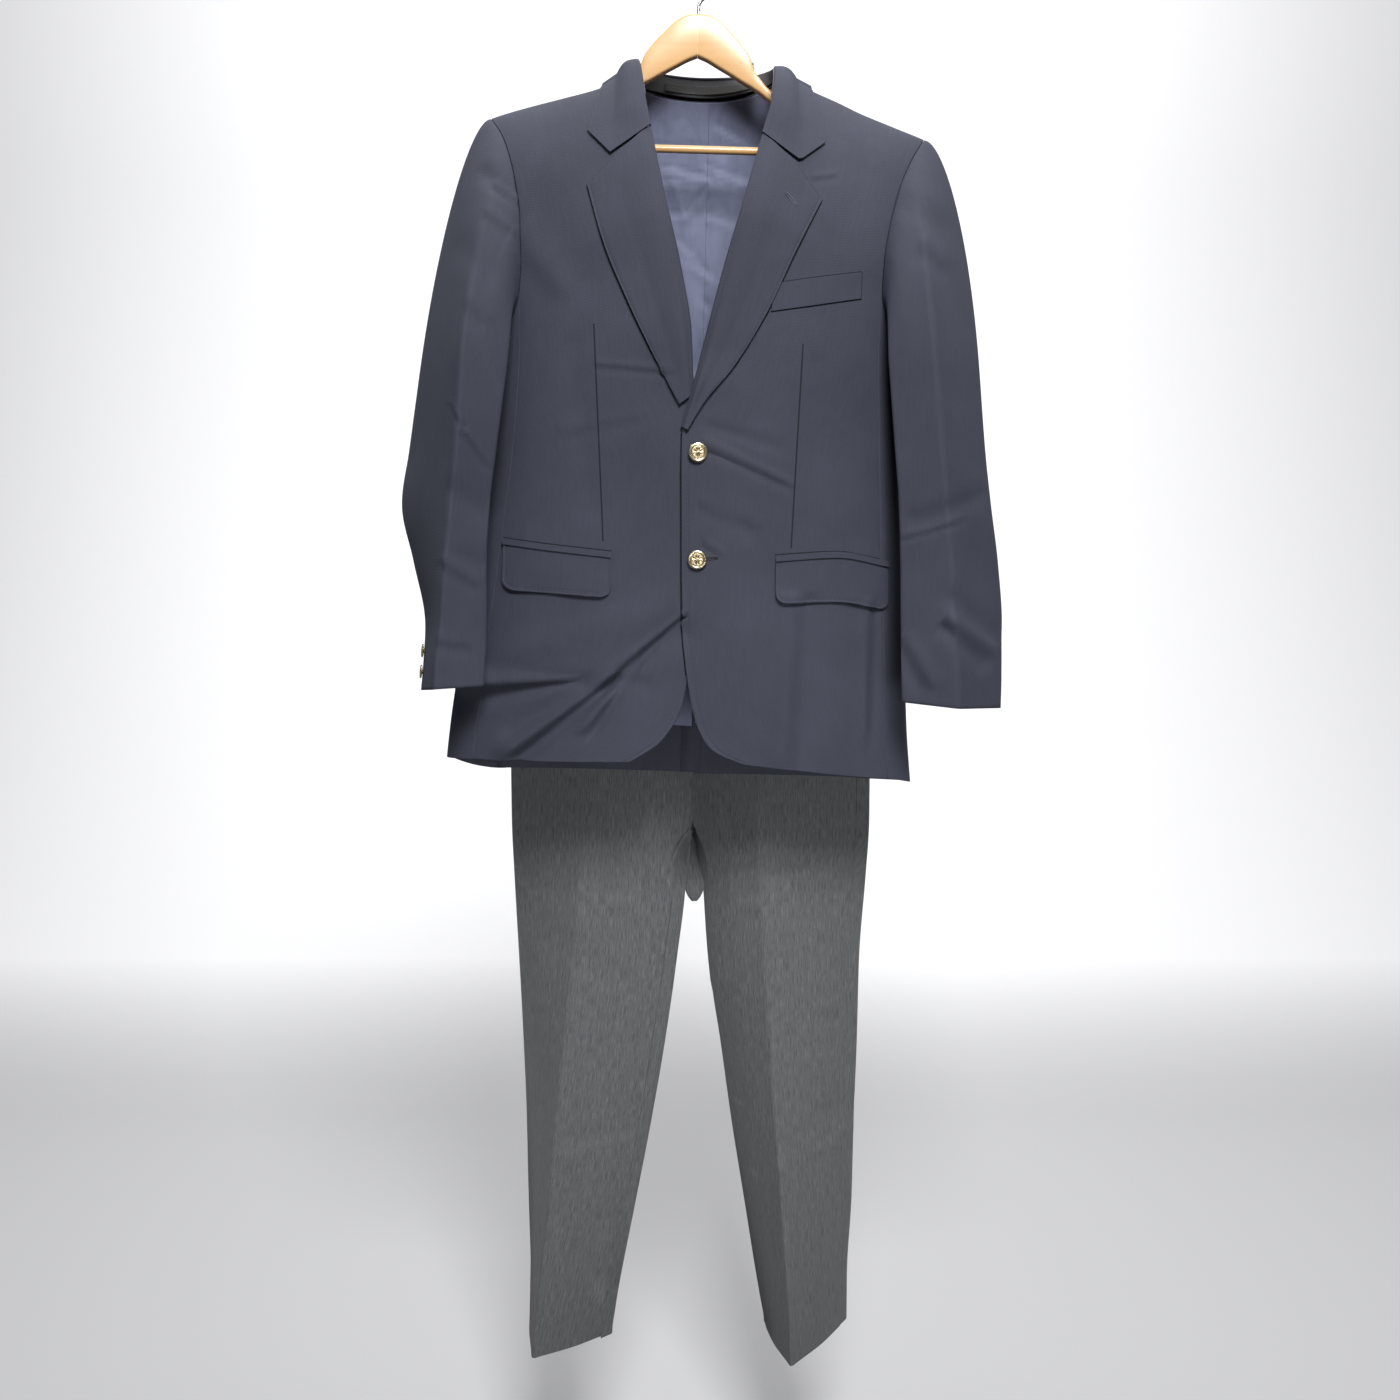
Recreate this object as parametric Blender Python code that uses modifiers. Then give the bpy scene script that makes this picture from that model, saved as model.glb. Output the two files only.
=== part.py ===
"""School uniform on a hanger: a two-button blazer with grey trousers hung behind it.

Metres, +Z up. The origin is the inside top of the hanger's hook, where it bears on a rail,
so heights are given as drops below the hook. The front faces -Y, and "left" and "right"
are those of a front view. Every cloth piece is a thin wall on one shared surface.
"""
import math

import bmesh
import bpy
import numpy as np
from mathutils import Vector
from mathutils.bvhtree import BVHTree

CLOTH = 0.0018
TROUSER_CLOTH = 0.0015
LINING_CLOTH = 0.0010
UNDERCOLLAR_CLOTH = 0.0014
LOOP_CLOTH = 0.0011
WAISTBAND_CLOTH = 0.0026
SEAM = 0.0004
SEAM_STEP = 0.0010
LINING_INSET = 0.0012

LAPEL_LIFT = 0.0045
LAPEL_ROLL = 0.0040
COLLAR_LIFT = 0.0055
COLLAR_ROLL = 0.0045
STAND_RISE = 0.0012
LOOP_HEIGHT = (0.42, 0.88)
LOOP_ROWS = 3
NECK_CENTRE = (0.008, -0.010, 0)
OVERLAP_LIFT = 0.0048
FLAP_LIFT = 0.0030
TRIM_LIFT = 0.0020
TRIM_CLOTH = 0.0013
FLAP_CORNER = 0.012
JET_HEIGHT = 0.0055

BODY_SQUARENESS = 2.4
FRONT_SLOPE = (0.170, 1.6)
BACK_SLOPE = (0.100, 2.2)
SIDE_SEAM_TOP_Q = 0.70
SIDE_SEAM_FRONT = 0.87
SIDE_SEAM_BACK = 0.80
ARMHOLE_SHARE = 0.36
SIDE_SEAM_REACH = 0.20
EDGE_BLEND = 0.25
NECK_X = {"left": -0.078, "right": 0.084}
BACK_NECK_DROP = 0.130
CENTRE_BACK = (0.010, -0.009)
VENT_TOP = 0.66
VENT_GAPE = 0.0020
BACK_LINING_DROP = 0.812

SLEEVE_RING_TOP = 0.42
ARMHOLE_GAP = 0.0020
TOP_SLEEVE_SPAN = (-0.32, 2.35)
SLEEVE_NICK = 0.010
SLEEVE_SOFTNESS = 0.22

FRONT_BUTTON_RADIUS = 0.0100
CUFF_BUTTON_RADIUS = 0.0075
BUTTON_SEAT = 0.0005
FRONT_BUTTON_X = -0.003
FRONT_BUTTON_DROPS = (0.506, 0.615)
CUFF_BUTTON_DROPS = (0.706, 0.727)
CUFF_BUTTON_TURN = {"left": 0.16, "right": -0.46}

HANGER_ROLL = math.radians(1.6)
HANGER_REACH = 0.200
HANGER_FORWARD = 0.006
HANGER_WOOD = 0.013
HANGER_BEVEL = 0.0022
BAR_RADIUS = 0.0041
BAR_DROP = 0.190
HOOK_WIRE = 0.0018
HOOK_BEND = 0.0190
HOOK_SWEEP = (-40, 200)
HOOK_SHANK = ((0, 0.0545), (0, 0.0465), (0.0022, 0.0415), (0.0085, 0.0365))

WAIST_TOP = 0.690
WAISTBAND = 0.035
FORK_DROP = 0.930
FORK_TURN = 0.03
FORK_REACH = 0.05
SEAT_START = 0.950
SEAT_REACH = 0.070
SEAT_BACK = (0.116, 0.146)
SEAT_RISE = 0.10
TROUSER_CENTRE = -0.0085
LEG_SOFTNESS = 0.10
LEG_FULLNESS = 0.003
LEG_SEAM = 0.15
SEAM_NICK = 0.004
FLY_GAP = 0.0012
CLIP_ROD = 0.0025
CLIP_ROD_Y = 0.108
CLIP_ROD_PAST = 0.020
CLIP_X = (-0.125, 0.105)
CLIP_SIZE = (0.030, 0.0180, 0.034)
CLIP_PLATE = 0.0016
DROP_WIRE = 0.0013
DROP_WIRE_X = (-0.044, 0.056)
DROP_WIRE_START = 0.1060
DROP_WIRE_PATH = ((0.012, 0.1055), (0.020, 0.0990), (0.034, 0.0935), (0.050, 0.0930),
                  (0.062, 0.0985), (0.070, 0.1120), (0.0735, 0.140), (0.078, 0.220), (0.090, 0.450))


def columns(names, rows):
    """A short table as one array per named column."""
    return dict(zip(names, np.array(rows, float).T))


BODY = columns(("drop", "left", "right", "front", "back"), [
    (0.10, 0.236, 0.244, 0.078, 0.052),
    (0.20, 0.232, 0.240, 0.085, 0.058),
    (0.30, 0.226, 0.228, 0.090, 0.060),
    (0.40, 0.221, 0.217, 0.091, 0.060),
    (0.50, 0.226, 0.216, 0.088, 0.057),
    (0.60, 0.242, 0.219, 0.086, 0.055),
    (0.70, 0.260, 0.2245, 0.086, 0.054),
    (0.80, 0.277, 0.229, 0.084, 0.053),
    (0.88, 0.287, 0.236, 0.081, 0.052)])

SHOULDER = columns(("x", "drop"), [
    (-0.240, 0.168), (-0.219, 0.158), (-0.181, 0.147), (-0.144, 0.138), (-0.104, 0.1275),
    (-0.078, 0.116), (0.000, 0.101), (0.084, 0.116), (0.118, 0.131), (0.144, 0.142),
    (0.168, 0.153), (0.204, 0.167), (0.235, 0.179), (0.250, 0.186)])

ARMHOLE_FRONT = columns(("q", "left", "left_drop", "right", "right_drop"), [
    (0.00, 0.219, 0.158, 0.235, 0.179), (0.12, 0.204, 0.182, 0.219, 0.206),
    (0.25, 0.191, 0.223, 0.206, 0.235), (0.40, 0.184, 0.268, 0.196, 0.270),
    (0.55, 0.183, 0.307, 0.189, 0.308), (0.70, 0.186, 0.345, 0.187, 0.345),
    (0.85, 0.201, 0.378, 0.198, 0.378), (1.00, 0.2212, 0.395, 0.2164, 0.396)])

ARMHOLE_BACK = columns(("q", "left", "left_drop", "right", "right_drop"), [
    (0.00, 0.219, 0.158, 0.235, 0.179), (0.12, 0.209, 0.186, 0.225, 0.208),
    (0.25, 0.201, 0.225, 0.214, 0.238), (0.40, 0.197, 0.268, 0.206, 0.272),
    (0.55, 0.196, 0.307, 0.201, 0.310), (0.70, 0.198, 0.345, 0.200, 0.347),
    (0.85, 0.208, 0.377, 0.207, 0.378), (1.00, 0.2212, 0.395, 0.2164, 0.396)])

FRONT_EDGE_LEFT = columns(("t", "x", "drop"), [
    (0.00, NECK_X["left"], 0.116), (0.06, -0.066, 0.148), (0.12, -0.0525, 0.182),
    (0.22, -0.038, 0.252), (0.32, -0.022, 0.323), (0.42, -0.011, 0.388),
    (0.50, -0.005, 0.440), (0.56, 0.010, 0.480), (0.62, 0.018, 0.520),
    (0.74, 0.018, 0.620), (0.84, 0.006, 0.690), (0.90, -0.013, 0.742),
    (0.94, -0.021, 0.774), (0.97, -0.041, 0.806), (1.00, -0.074, 0.829)])

FRONT_EDGE_RIGHT = columns(("t", "x", "drop"), [
    (0.00, NECK_X["right"], 0.116), (0.06, 0.078, 0.150), (0.12, 0.0655, 0.190),
    (0.22, 0.046, 0.259), (0.32, 0.028, 0.318), (0.42, 0.009, 0.388),
    (0.50, -0.006, 0.445), (0.56, -0.018, 0.484), (0.62, -0.019, 0.520),
    (0.74, -0.019, 0.620), (0.82, -0.0185, 0.680), (0.88, -0.014, 0.735),
    (0.93, -0.004, 0.786), (0.965, 0.012, 0.814), (1.00, 0.045, 0.831)])

HEM = columns(("u", "left", "right"), [
    (0.0, 0.831, 0.853), (0.5, 0.838, 0.866), (1.0, 0.857, 0.869), (2.0, 0.865, 0.867)])

LAPEL_LEFT = columns(("v", "roll_x", "roll_drop", "edge_x", "edge_drop"), [
    (0.00, -0.0515, 0.182, -0.113, 0.241), (0.25, -0.037, 0.252, -0.096, 0.300),
    (0.50, -0.021, 0.323, -0.074, 0.353), (0.75, -0.0105, 0.388, -0.048, 0.407),
    (1.00, -0.0085, 0.449, -0.021, 0.458)])

LAPEL_RIGHT = columns(("v", "roll_x", "roll_drop", "edge_x", "edge_drop"), [
    (0.00, 0.0645, 0.190, 0.122, 0.256), (0.22, 0.045, 0.259, 0.095, 0.309),
    (0.42, 0.027, 0.318, 0.068, 0.366), (0.64, 0.007, 0.392, 0.034, 0.421),
    (0.82, -0.007, 0.445, 0.006, 0.454), (1.00, -0.0175, 0.481, -0.0125, 0.4835)])

NOTCH = {"left": (0.62, -0.0875, 0.2145), "right": (0.56, 0.0985, 0.2225)}

COLLAR_FOLD = columns(("s", "x", "y", "drop"), [
    (0.00, -0.0515, -0.0645, 0.180), (0.12, -0.057, -0.050, 0.148),
    (0.21, -0.0640, -0.022, 0.106), (0.25, -0.0660, 0.000, 0.0992), (0.30, -0.0595, 0.020, 0.0995),
    (0.40, -0.034, 0.044, 0.1025), (0.50, 0.007, 0.052, 0.104),
    (0.60, 0.050, 0.045, 0.104), (0.70, 0.073, 0.020, 0.105), (0.745, 0.0785, 0.000, 0.106),
    (0.79, 0.0785, -0.022, 0.114), (0.88, 0.0745, -0.050, 0.150),
    (1.00, 0.0645, -0.0665, 0.188)])

COLLAR_EDGE = columns(("s", "x", "drop", "face"), [
    (0.00, -0.115, 0.181, -1), (0.12, -0.108, 0.154, -1), (0.21, -0.1015, 0.1235, -1),
    (0.26, -0.0985, 0.1215, 1), (0.33, -0.088, 0.139, 1), (0.42, -0.048, 0.151, 1),
    (0.50, 0.007, 0.154, 1), (0.58, 0.060, 0.153, 1), (0.67, 0.102, 0.146, 1),
    (0.74, 0.1135, 0.124, 1), (0.79, 0.116, 0.1265, -1), (0.88, 0.122, 0.163, -1),
    (1.00, 0.128, 0.194, -1)])

COLLAR_NOTCH = {"left": (0.60, -0.0895, 0.209), "right": (0.56, 0.100, 0.217)}

NECK_SEAM = columns(("s", "x", "drop", "face"), [
    (0.13, -0.063, 0.149, -1), (0.21, -0.0745, 0.1215, -1), (0.245, -0.0765, 0.1150, 0),
    (0.28, -0.0735, 0.1180, 1), (0.36, -0.050, 0.1235, 1), (0.50, 0.008, 0.1285, 1),
    (0.64, 0.058, 0.1235, 1), (0.73, 0.080, 0.1170, 1), (0.765, 0.0825, 0.1145, 0),
    (0.80, 0.0810, 0.1200, -1), (0.87, 0.0755, 0.152, -1)])

FLAP_LEFT = columns(("u", "x", "top", "bottom"), [
    (0.0, -0.207, 0.5995, 0.648), (0.5, -0.153, 0.606, 0.651), (1.0, -0.092, 0.6125, 0.655)])

FLAP_RIGHT = columns(("u", "x", "top", "bottom"), [
    (0.0, 0.078, 0.6165, 0.661), (0.5, 0.140, 0.613, 0.660), (1.0, 0.199, 0.624, 0.671)])

BREAST_WELT = columns(("u", "x", "top", "bottom"), [
    (0.0, 0.072, 0.339, 0.366), (0.5, 0.118, 0.332, 0.359), (1.0, 0.164, 0.325, 0.351)])

SLEEVE_LEFT = columns((
    "drop", "outer_x", "outer_y", "front_x", "front_y", "inner_x", "inner_y",
    "hollow_x", "hollow_y", "back_x", "back_y"), [
    (0.42, 0.303, -0.004, 0.240, -0.115, 0.194, -0.083, 0.240, -0.036, 0.262, 0.034),
    (0.50, 0.318, 0.003, 0.246, -0.118, 0.206, -0.086, 0.246, -0.040, 0.272, 0.026),
    (0.56, 0.327, 0.002, 0.253, -0.120, 0.214, -0.089, 0.258, -0.040, 0.300, 0.018),
    (0.62, 0.314, -0.006, 0.260, -0.121, 0.218, -0.091, 0.262, -0.042, 0.290, 0.012),
    (0.68, 0.302, -0.009, 0.266, -0.121, 0.219, -0.091, 0.266, -0.043, 0.284, 0.008),
    (0.72, 0.305, -0.011, 0.272, -0.121, 0.221, -0.091, 0.269, -0.044, 0.287, 0.006),
    (0.7465, 0.308, -0.012, 0.274, -0.121, 0.223, -0.092, 0.271, -0.046, 0.290, 0.004)])

SLEEVE_RIGHT = columns((
    "drop", "outer_x", "outer_y", "front_x", "front_y", "inner_x", "inner_y",
    "hollow_x", "hollow_y", "back_x", "back_y"), [
    (0.42, 0.297, -0.030, 0.238, -0.104, 0.190, -0.083, 0.234, -0.030, 0.262, 0.028),
    (0.50, 0.303, -0.040, 0.246, -0.107, 0.197, -0.087, 0.236, -0.034, 0.270, 0.014),
    (0.56, 0.310, -0.045, 0.252, -0.109, 0.202, -0.090, 0.240, -0.040, 0.278, 0.004),
    (0.62, 0.318, -0.050, 0.258, -0.112, 0.204, -0.093, 0.246, -0.046, 0.288, -0.004),
    (0.68, 0.323, -0.055, 0.262, -0.114, 0.205, -0.096, 0.250, -0.052, 0.294, -0.014),
    (0.73, 0.323, -0.060, 0.265, -0.116, 0.206, -0.100, 0.254, -0.060, 0.296, -0.026),
    (0.762, 0.322, -0.065, 0.266, -0.117, 0.207, -0.101, 0.256, -0.064, 0.296, -0.032)])

CUFF_SLANT = {"left": (0.0148, 0.0, 0.0, 0.0040, 0.0150),
              "right": (0.0115, 0.0050, 0.0, 0.0020, 0.0115)}
CUFF_SLANT_FROM = 0.60

SLEEVE_HEAD = columns(("corner", "armhole", "out", "forward", "rise", "reach", "lift"), [
    (0, 0.00, 1.00, 0.00, 0.10, 0.020, 0.150),
    (1, 0.25, 0.85, 0.50, 0.00, 0.022, 0.090),
    (2, 0.70, 0.30, 0.95, -0.10, 0.018, 0.030),
    (3, 1.00, 0.85, 0.15, -0.50, 0.007, 0.010),
    (4, 1.55, 0.85, -0.50, 0.00, 0.022, 0.060),
    (5, 2.00, 1.00, 0.00, 0.10, 0.020, 0.150)])

LEG_LEFT = columns((
    "drop", "outer_x", "outer_y", "front_x", "front_y", "inner_x", "inner_y",
    "back_x", "back_y"), [
    (0.725, -0.208, 0.108, -0.110, 0.101, -0.009, 0.100, -0.110, 0.115),
    (0.80, -0.229, 0.107, -0.121, 0.072, -0.009, 0.094, -0.118, 0.148),
    (0.93, -0.229, 0.105, -0.132, 0.060, -0.011, 0.090, -0.118, 0.158),
    (1.00, -0.227, 0.105, -0.139, 0.053, -0.013, 0.084, -0.112, 0.158),
    (1.10, -0.223, 0.105, -0.150, 0.043, -0.025, 0.074, -0.106, 0.152),
    (1.20, -0.219, 0.105, -0.162, 0.030, -0.040, 0.065, -0.102, 0.148),
    (1.30, -0.216, 0.105, -0.172, 0.017, -0.058, 0.056, -0.102, 0.146),
    (1.40, -0.215, 0.105, -0.181, 0.003, -0.078, 0.047, -0.106, 0.143),
    (1.50, -0.213, 0.105, -0.193, -0.012, -0.098, 0.038, -0.113, 0.141),
    (1.55, -0.212, 0.105, -0.198, -0.020, -0.106, 0.035, -0.117, 0.140)])

LEG_RIGHT = columns((
    "drop", "outer_x", "outer_y", "front_x", "front_y", "inner_x", "inner_y",
    "back_x", "back_y"), [
    (0.725, 0.190, 0.108, 0.086, 0.101, -0.008, 0.100, 0.092, 0.115),
    (0.80, 0.206, 0.104, 0.072, 0.072, -0.008, 0.094, 0.100, 0.148),
    (0.93, 0.206, 0.097, 0.068, 0.056, -0.006, 0.091, 0.104, 0.158),
    (1.00, 0.202, 0.094, 0.072, 0.046, 0.000, 0.088, 0.108, 0.158),
    (1.10, 0.195, 0.090, 0.078, 0.032, 0.007, 0.084, 0.112, 0.156),
    (1.20, 0.193, 0.085, 0.084, 0.018, 0.022, 0.080, 0.120, 0.155),
    (1.30, 0.190, 0.081, 0.091, 0.003, 0.036, 0.075, 0.128, 0.154),
    (1.40, 0.188, 0.076, 0.098, -0.011, 0.052, 0.071, 0.136, 0.153),
    (1.50, 0.183, 0.072, 0.104, -0.025, 0.068, 0.067, 0.146, 0.151),
    (1.55, 0.183, 0.070, 0.106, -0.030, 0.077, 0.065, 0.150, 0.150)])

LEG_HEM = {"left": (1.553, 1.556), "right": (1.557, 1.556)}

FRONT_FOLDS = columns(("x0", "drop0", "x1", "drop1", "width", "depth"), [
    (-0.020, 0.690, -0.200, 0.800, 0.013, -0.0055),
    (-0.060, 0.745, -0.215, 0.745, 0.010, -0.0035),
    (-0.030, 0.665, -0.200, 0.715, 0.016, 0.0030),
    (0.010, 0.480, 0.075, 0.500, 0.007, -0.0022),
    (0.020, 0.560, 0.055, 0.585, 0.008, -0.0015),
    (-0.165, 0.250, -0.120, 0.330, 0.020, -0.0030),
    (0.165, 0.225, 0.140, 0.290, 0.018, -0.0025),
    (-0.130, 0.400, -0.110, 0.560, 0.014, -0.0020),
    (0.120, 0.420, 0.105, 0.570, 0.014, -0.0020)])

BACK_FOLDS = columns(("x0", "drop0", "x1", "drop1", "width", "depth"), [
    (-0.150, 0.230, -0.080, 0.330, 0.020, -0.0030),
    (0.155, 0.250, 0.085, 0.340, 0.020, -0.0030),
    (-0.060, 0.520, -0.150, 0.570, 0.014, -0.0025),
    (0.050, 0.540, 0.160, 0.590, 0.016, -0.0025)])

LEG_FOLDS = columns(("x0", "drop0", "x1", "drop1", "width", "depth"), [
    (-0.165, 1.303, -0.070, 1.300, 0.010, -0.0030),
    (-0.160, 1.325, -0.085, 1.318, 0.010, 0.0020),
    (0.092, 1.305, 0.185, 1.280, 0.010, -0.0030),
    (0.095, 1.330, 0.175, 1.312, 0.010, 0.0020),
    (0.030, 0.990, 0.065, 0.978, 0.008, -0.0025),
    (0.080, 0.985, 0.160, 0.978, 0.009, -0.0025),
    (-0.075, 0.960, -0.050, 0.980, 0.009, -0.0025),
    (-0.200, 1.050, -0.110, 1.110, 0.016, -0.0020)])

SLEEVE_FOLDS = columns(("x0", "drop0", "x1", "drop1", "width", "depth"), [
    (-0.222, 0.222, -0.196, 0.242, 0.009, -0.0035),
    (-0.245, 0.300, -0.215, 0.330, 0.014, -0.0025),
    (-0.250, 0.545, -0.215, 0.570, 0.012, -0.0030),
    (-0.245, 0.610, -0.225, 0.620, 0.010, -0.0020),
    (0.215, 0.255, 0.250, 0.275, 0.014, -0.0030),
    (0.220, 0.575, 0.290, 0.552, 0.010, -0.0030),
    (0.260, 0.655, 0.312, 0.700, 0.011, -0.0040)])

HANGER_ARM = columns(("x", "top", "under"), [
    (0.000, 0.0550, 0.0970), (0.010, 0.0560, 0.1010), (0.022, 0.0615, 0.1075),
    (0.036, 0.0745, 0.1150), (0.050, 0.0895, 0.1230), (0.056, 0.0990, 0.1260),
    (0.060, 0.1105, 0.1285), (0.066, 0.1175, 0.1320), (0.074, 0.1265, 0.1380),
    (0.090, 0.1365, 0.1480), (0.110, 0.1465, 0.1600), (0.140, 0.1575, 0.1745),
    (0.165, 0.1670, 0.1880), (0.185, 0.1740, 0.1980), (0.196, 0.1820, 0.1970),
    (0.200, 0.1880, 0.1940)])

BUTTON_PROFILE = columns(("radius", "height"), [
    (0.00, 0.336), (0.62, 0.336), (0.70, 0.403), (0.90, 0.420), (1.00, 0.302),
    (0.86, 0.202), (0.34, 0.176), (0.34, 0.000), (0.00, 0.000)])


def smooth(table, key, at):
    """Monotone cubic through a column, over the table's first column."""
    x = table[next(iter(table))]
    y = table[key]
    at = np.clip(np.asarray(at, float), x[0], x[-1])
    step = np.diff(x)
    rate = np.diff(y) / step
    slope = np.zeros_like(y)
    same = rate[:-1] * rate[1:] > 0
    safe = np.where(same, rate[:-1] + rate[1:], 1.0)
    slope[1:-1] = np.where(same, 2 * rate[:-1] * rate[1:] / safe, 0.0)
    slope[0] = rate[0]
    slope[-1] = rate[-1]
    i = np.clip(np.searchsorted(x, at, side="right") - 1, 0, len(step) - 1)
    t = (at - x[i]) / step[i]
    h = step[i]
    return (y[i] * (1 + 2 * t) * (1 - t) ** 2 + slope[i] * h * t * (1 - t) ** 2
            + y[i + 1] * t * t * (3 - 2 * t) + slope[i + 1] * h * t * t * (t - 1))


def ease(value):
    """0 below 0, 1 above 1, with soft ends."""
    value = np.clip(value, 0.0, 1.0)
    return value * value * (3 - 2 * value)


def relief(folds, x, drop):
    """Sum of the folds: a soft trough or ridge along each segment."""
    total = np.zeros(np.broadcast(x, drop).shape)
    for x0, d0, x1, d1, width, depth in zip(*folds.values()):
        along = (x1 - x0) ** 2 + (d1 - d0) ** 2
        t = np.clip(((x - x0) * (x1 - x0) + (drop - d0) * (d1 - d0)) / along, 0, 1)
        away = np.hypot(x - x0 - t * (x1 - x0), drop - d0 - t * (d1 - d0))
        total += depth * np.exp(-(away / width) ** 2)
    return total


def half_width(x, drop):
    return np.where(np.asarray(x) < 0, smooth(BODY, "left", drop), smooth(BODY, "right", drop))


def rounding(below, slope):
    """Depth share at a distance below the shoulder line."""
    reach, power = slope
    rest = 1 - np.clip(below / reach, 0, 1)
    return (1 - rest ** power) ** (1 / power)


def body_y(x, drop, face):
    """Depth of the jacket's outer surface on its front (face -1) or back (face 1)."""
    share = np.clip(np.abs(x) / half_width(x, drop), 0, 1)
    across = (1 - share ** BODY_SQUARENESS) ** (1 / BODY_SQUARENESS)
    below = drop - smooth(SHOULDER, "drop", x)
    if face < 0:
        deep = smooth(BODY, "front", drop) * rounding(below, FRONT_SLOPE)
        return -deep * across - relief(FRONT_FOLDS, x, drop) * rounding(below, FRONT_SLOPE)
    deep = smooth(BODY, "back", drop) * rounding(below, BACK_SLOPE)
    return deep * across + relief(BACK_FOLDS, x, drop) * rounding(below, BACK_SLOPE)


def body_point(x, drop, face, lift=0.0):
    """Points of the front or back, moved out along the surface's normal."""
    x, drop, lift = np.broadcast_arrays(x, drop, lift)
    y = body_y(x, drop, face)
    normal = body_normal(x, drop, face)
    return np.stack([x, y, -drop], -1) + normal * lift[..., None]


def body_normal(x, drop, face):
    """Outward normal of the front or back from the slopes of its depth."""
    tiny = 0.0004
    over = (body_y(x + tiny, drop, face) - body_y(x - tiny, drop, face)) / (2 * tiny)
    down = (body_y(x, drop + tiny, face) - body_y(x, drop - tiny, face)) / (2 * tiny)
    normal = np.stack([-face * over, np.full_like(over, face), face * down], -1)
    return normal / np.linalg.norm(normal, axis=-1, keepdims=True)


def armhole(side, a):
    """Points, x and drop of the armhole seam: a is 0 and 2 at the shoulder tip, 1 under the arm."""
    q = np.where(a <= 1, a, 2 - a)
    name = "left" if side < 0 else "right"
    front = (smooth(ARMHOLE_FRONT, name, q), smooth(ARMHOLE_FRONT, name + "_drop", q))
    back = (smooth(ARMHOLE_BACK, name, q), smooth(ARMHOLE_BACK, name + "_drop", q))
    x = side * np.where(a <= 1, front[0], back[0])
    drop = np.where(a <= 1, front[1], back[1])
    y = np.where(a <= 1, body_y(x, drop, -1), body_y(x, drop, 1))
    return np.stack([x, y, -drop], -1), x, drop


def seam_share(side, drop, face):
    """Share of the half width at which the side seam runs down the body."""
    table = ARMHOLE_FRONT if face < 0 else ARMHOLE_BACK
    name = "left" if side < 0 else "right"
    top = smooth(table, name + "_drop", SIDE_SEAM_TOP_Q)
    start = smooth(table, name, SIDE_SEAM_TOP_Q) / half_width(side, top)
    end = SIDE_SEAM_FRONT if face < 0 else SIDE_SEAM_BACK
    return start + (end - start) * ease((drop - top) / SIDE_SEAM_REACH)


def surface_normal(points, flip):
    """Grid normals from central differences."""
    along = np.gradient(points, axis=0)
    across = np.gradient(points, axis=1)
    normal = np.cross(along, across) * (-1 if flip else 1)
    return normal / np.maximum(np.linalg.norm(normal, axis=-1, keepdims=True), 1e-12)


def new_object(name, mesh, material):
    thing = bpy.data.objects.new(name, mesh)
    thing.data.materials.append(material)
    GARMENT.objects.link(thing)
    return thing


def wall(name, outer, normal, thickness, material, closed=False):
    """A cloth wall: the outer grid, the same grid moved in by the thickness, and its rims."""
    rows, cols = outer.shape[:2]
    inner = outer - normal * thickness
    verts = np.concatenate([outer.reshape(-1, 3), inner.reshape(-1, 3)])
    count = rows * cols
    faces = []
    last = cols if closed else cols - 1
    for i in range(rows - 1):
        for j in range(last):
            k = (j + 1) % cols
            a, b, c, d = i * cols + j, i * cols + k, (i + 1) * cols + k, (i + 1) * cols + j
            for corner in ((a, b, c), (a, c, d)):
                faces.append(corner)
                faces.append(tuple(count + n for n in reversed(corner)))
    rims = [(j, (j + 1) % cols) for j in range(last)]
    rims += [((rows - 1) * cols + (j + 1) % cols, (rows - 1) * cols + j) for j in range(last)]
    if not closed:
        rims += [((i + 1) * cols, i * cols) for i in range(rows - 1)]
        rims += [(i * cols + cols - 1, (i + 1) * cols + cols - 1) for i in range(rows - 1)]
    faces += [(b, a, a + count, b + count) for a, b in rims]
    mesh = bpy.data.meshes.new(name)
    mesh.from_pydata(verts.tolist(), [], faces)
    body = bmesh.new()
    body.from_mesh(mesh)
    bmesh.ops.recalc_face_normals(body, faces=body.faces)
    body.to_mesh(mesh)
    body.free()
    mesh.shade_smooth()
    mesh.set_sharp_from_angle(angle=math.radians(35))
    return new_object(name, mesh, material)


def plain_material(name, colour, roughness, metallic=0.0):
    material = bpy.data.materials.new(name)
    material.use_nodes = True
    surface = material.node_tree.nodes["Principled BSDF"]
    surface.inputs["Base Color"].default_value = (*colour, 1.0)
    surface.inputs["Roughness"].default_value = roughness
    surface.inputs["Metallic"].default_value = metallic
    material.diffuse_color = (*colour, 1.0)
    return material


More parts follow.
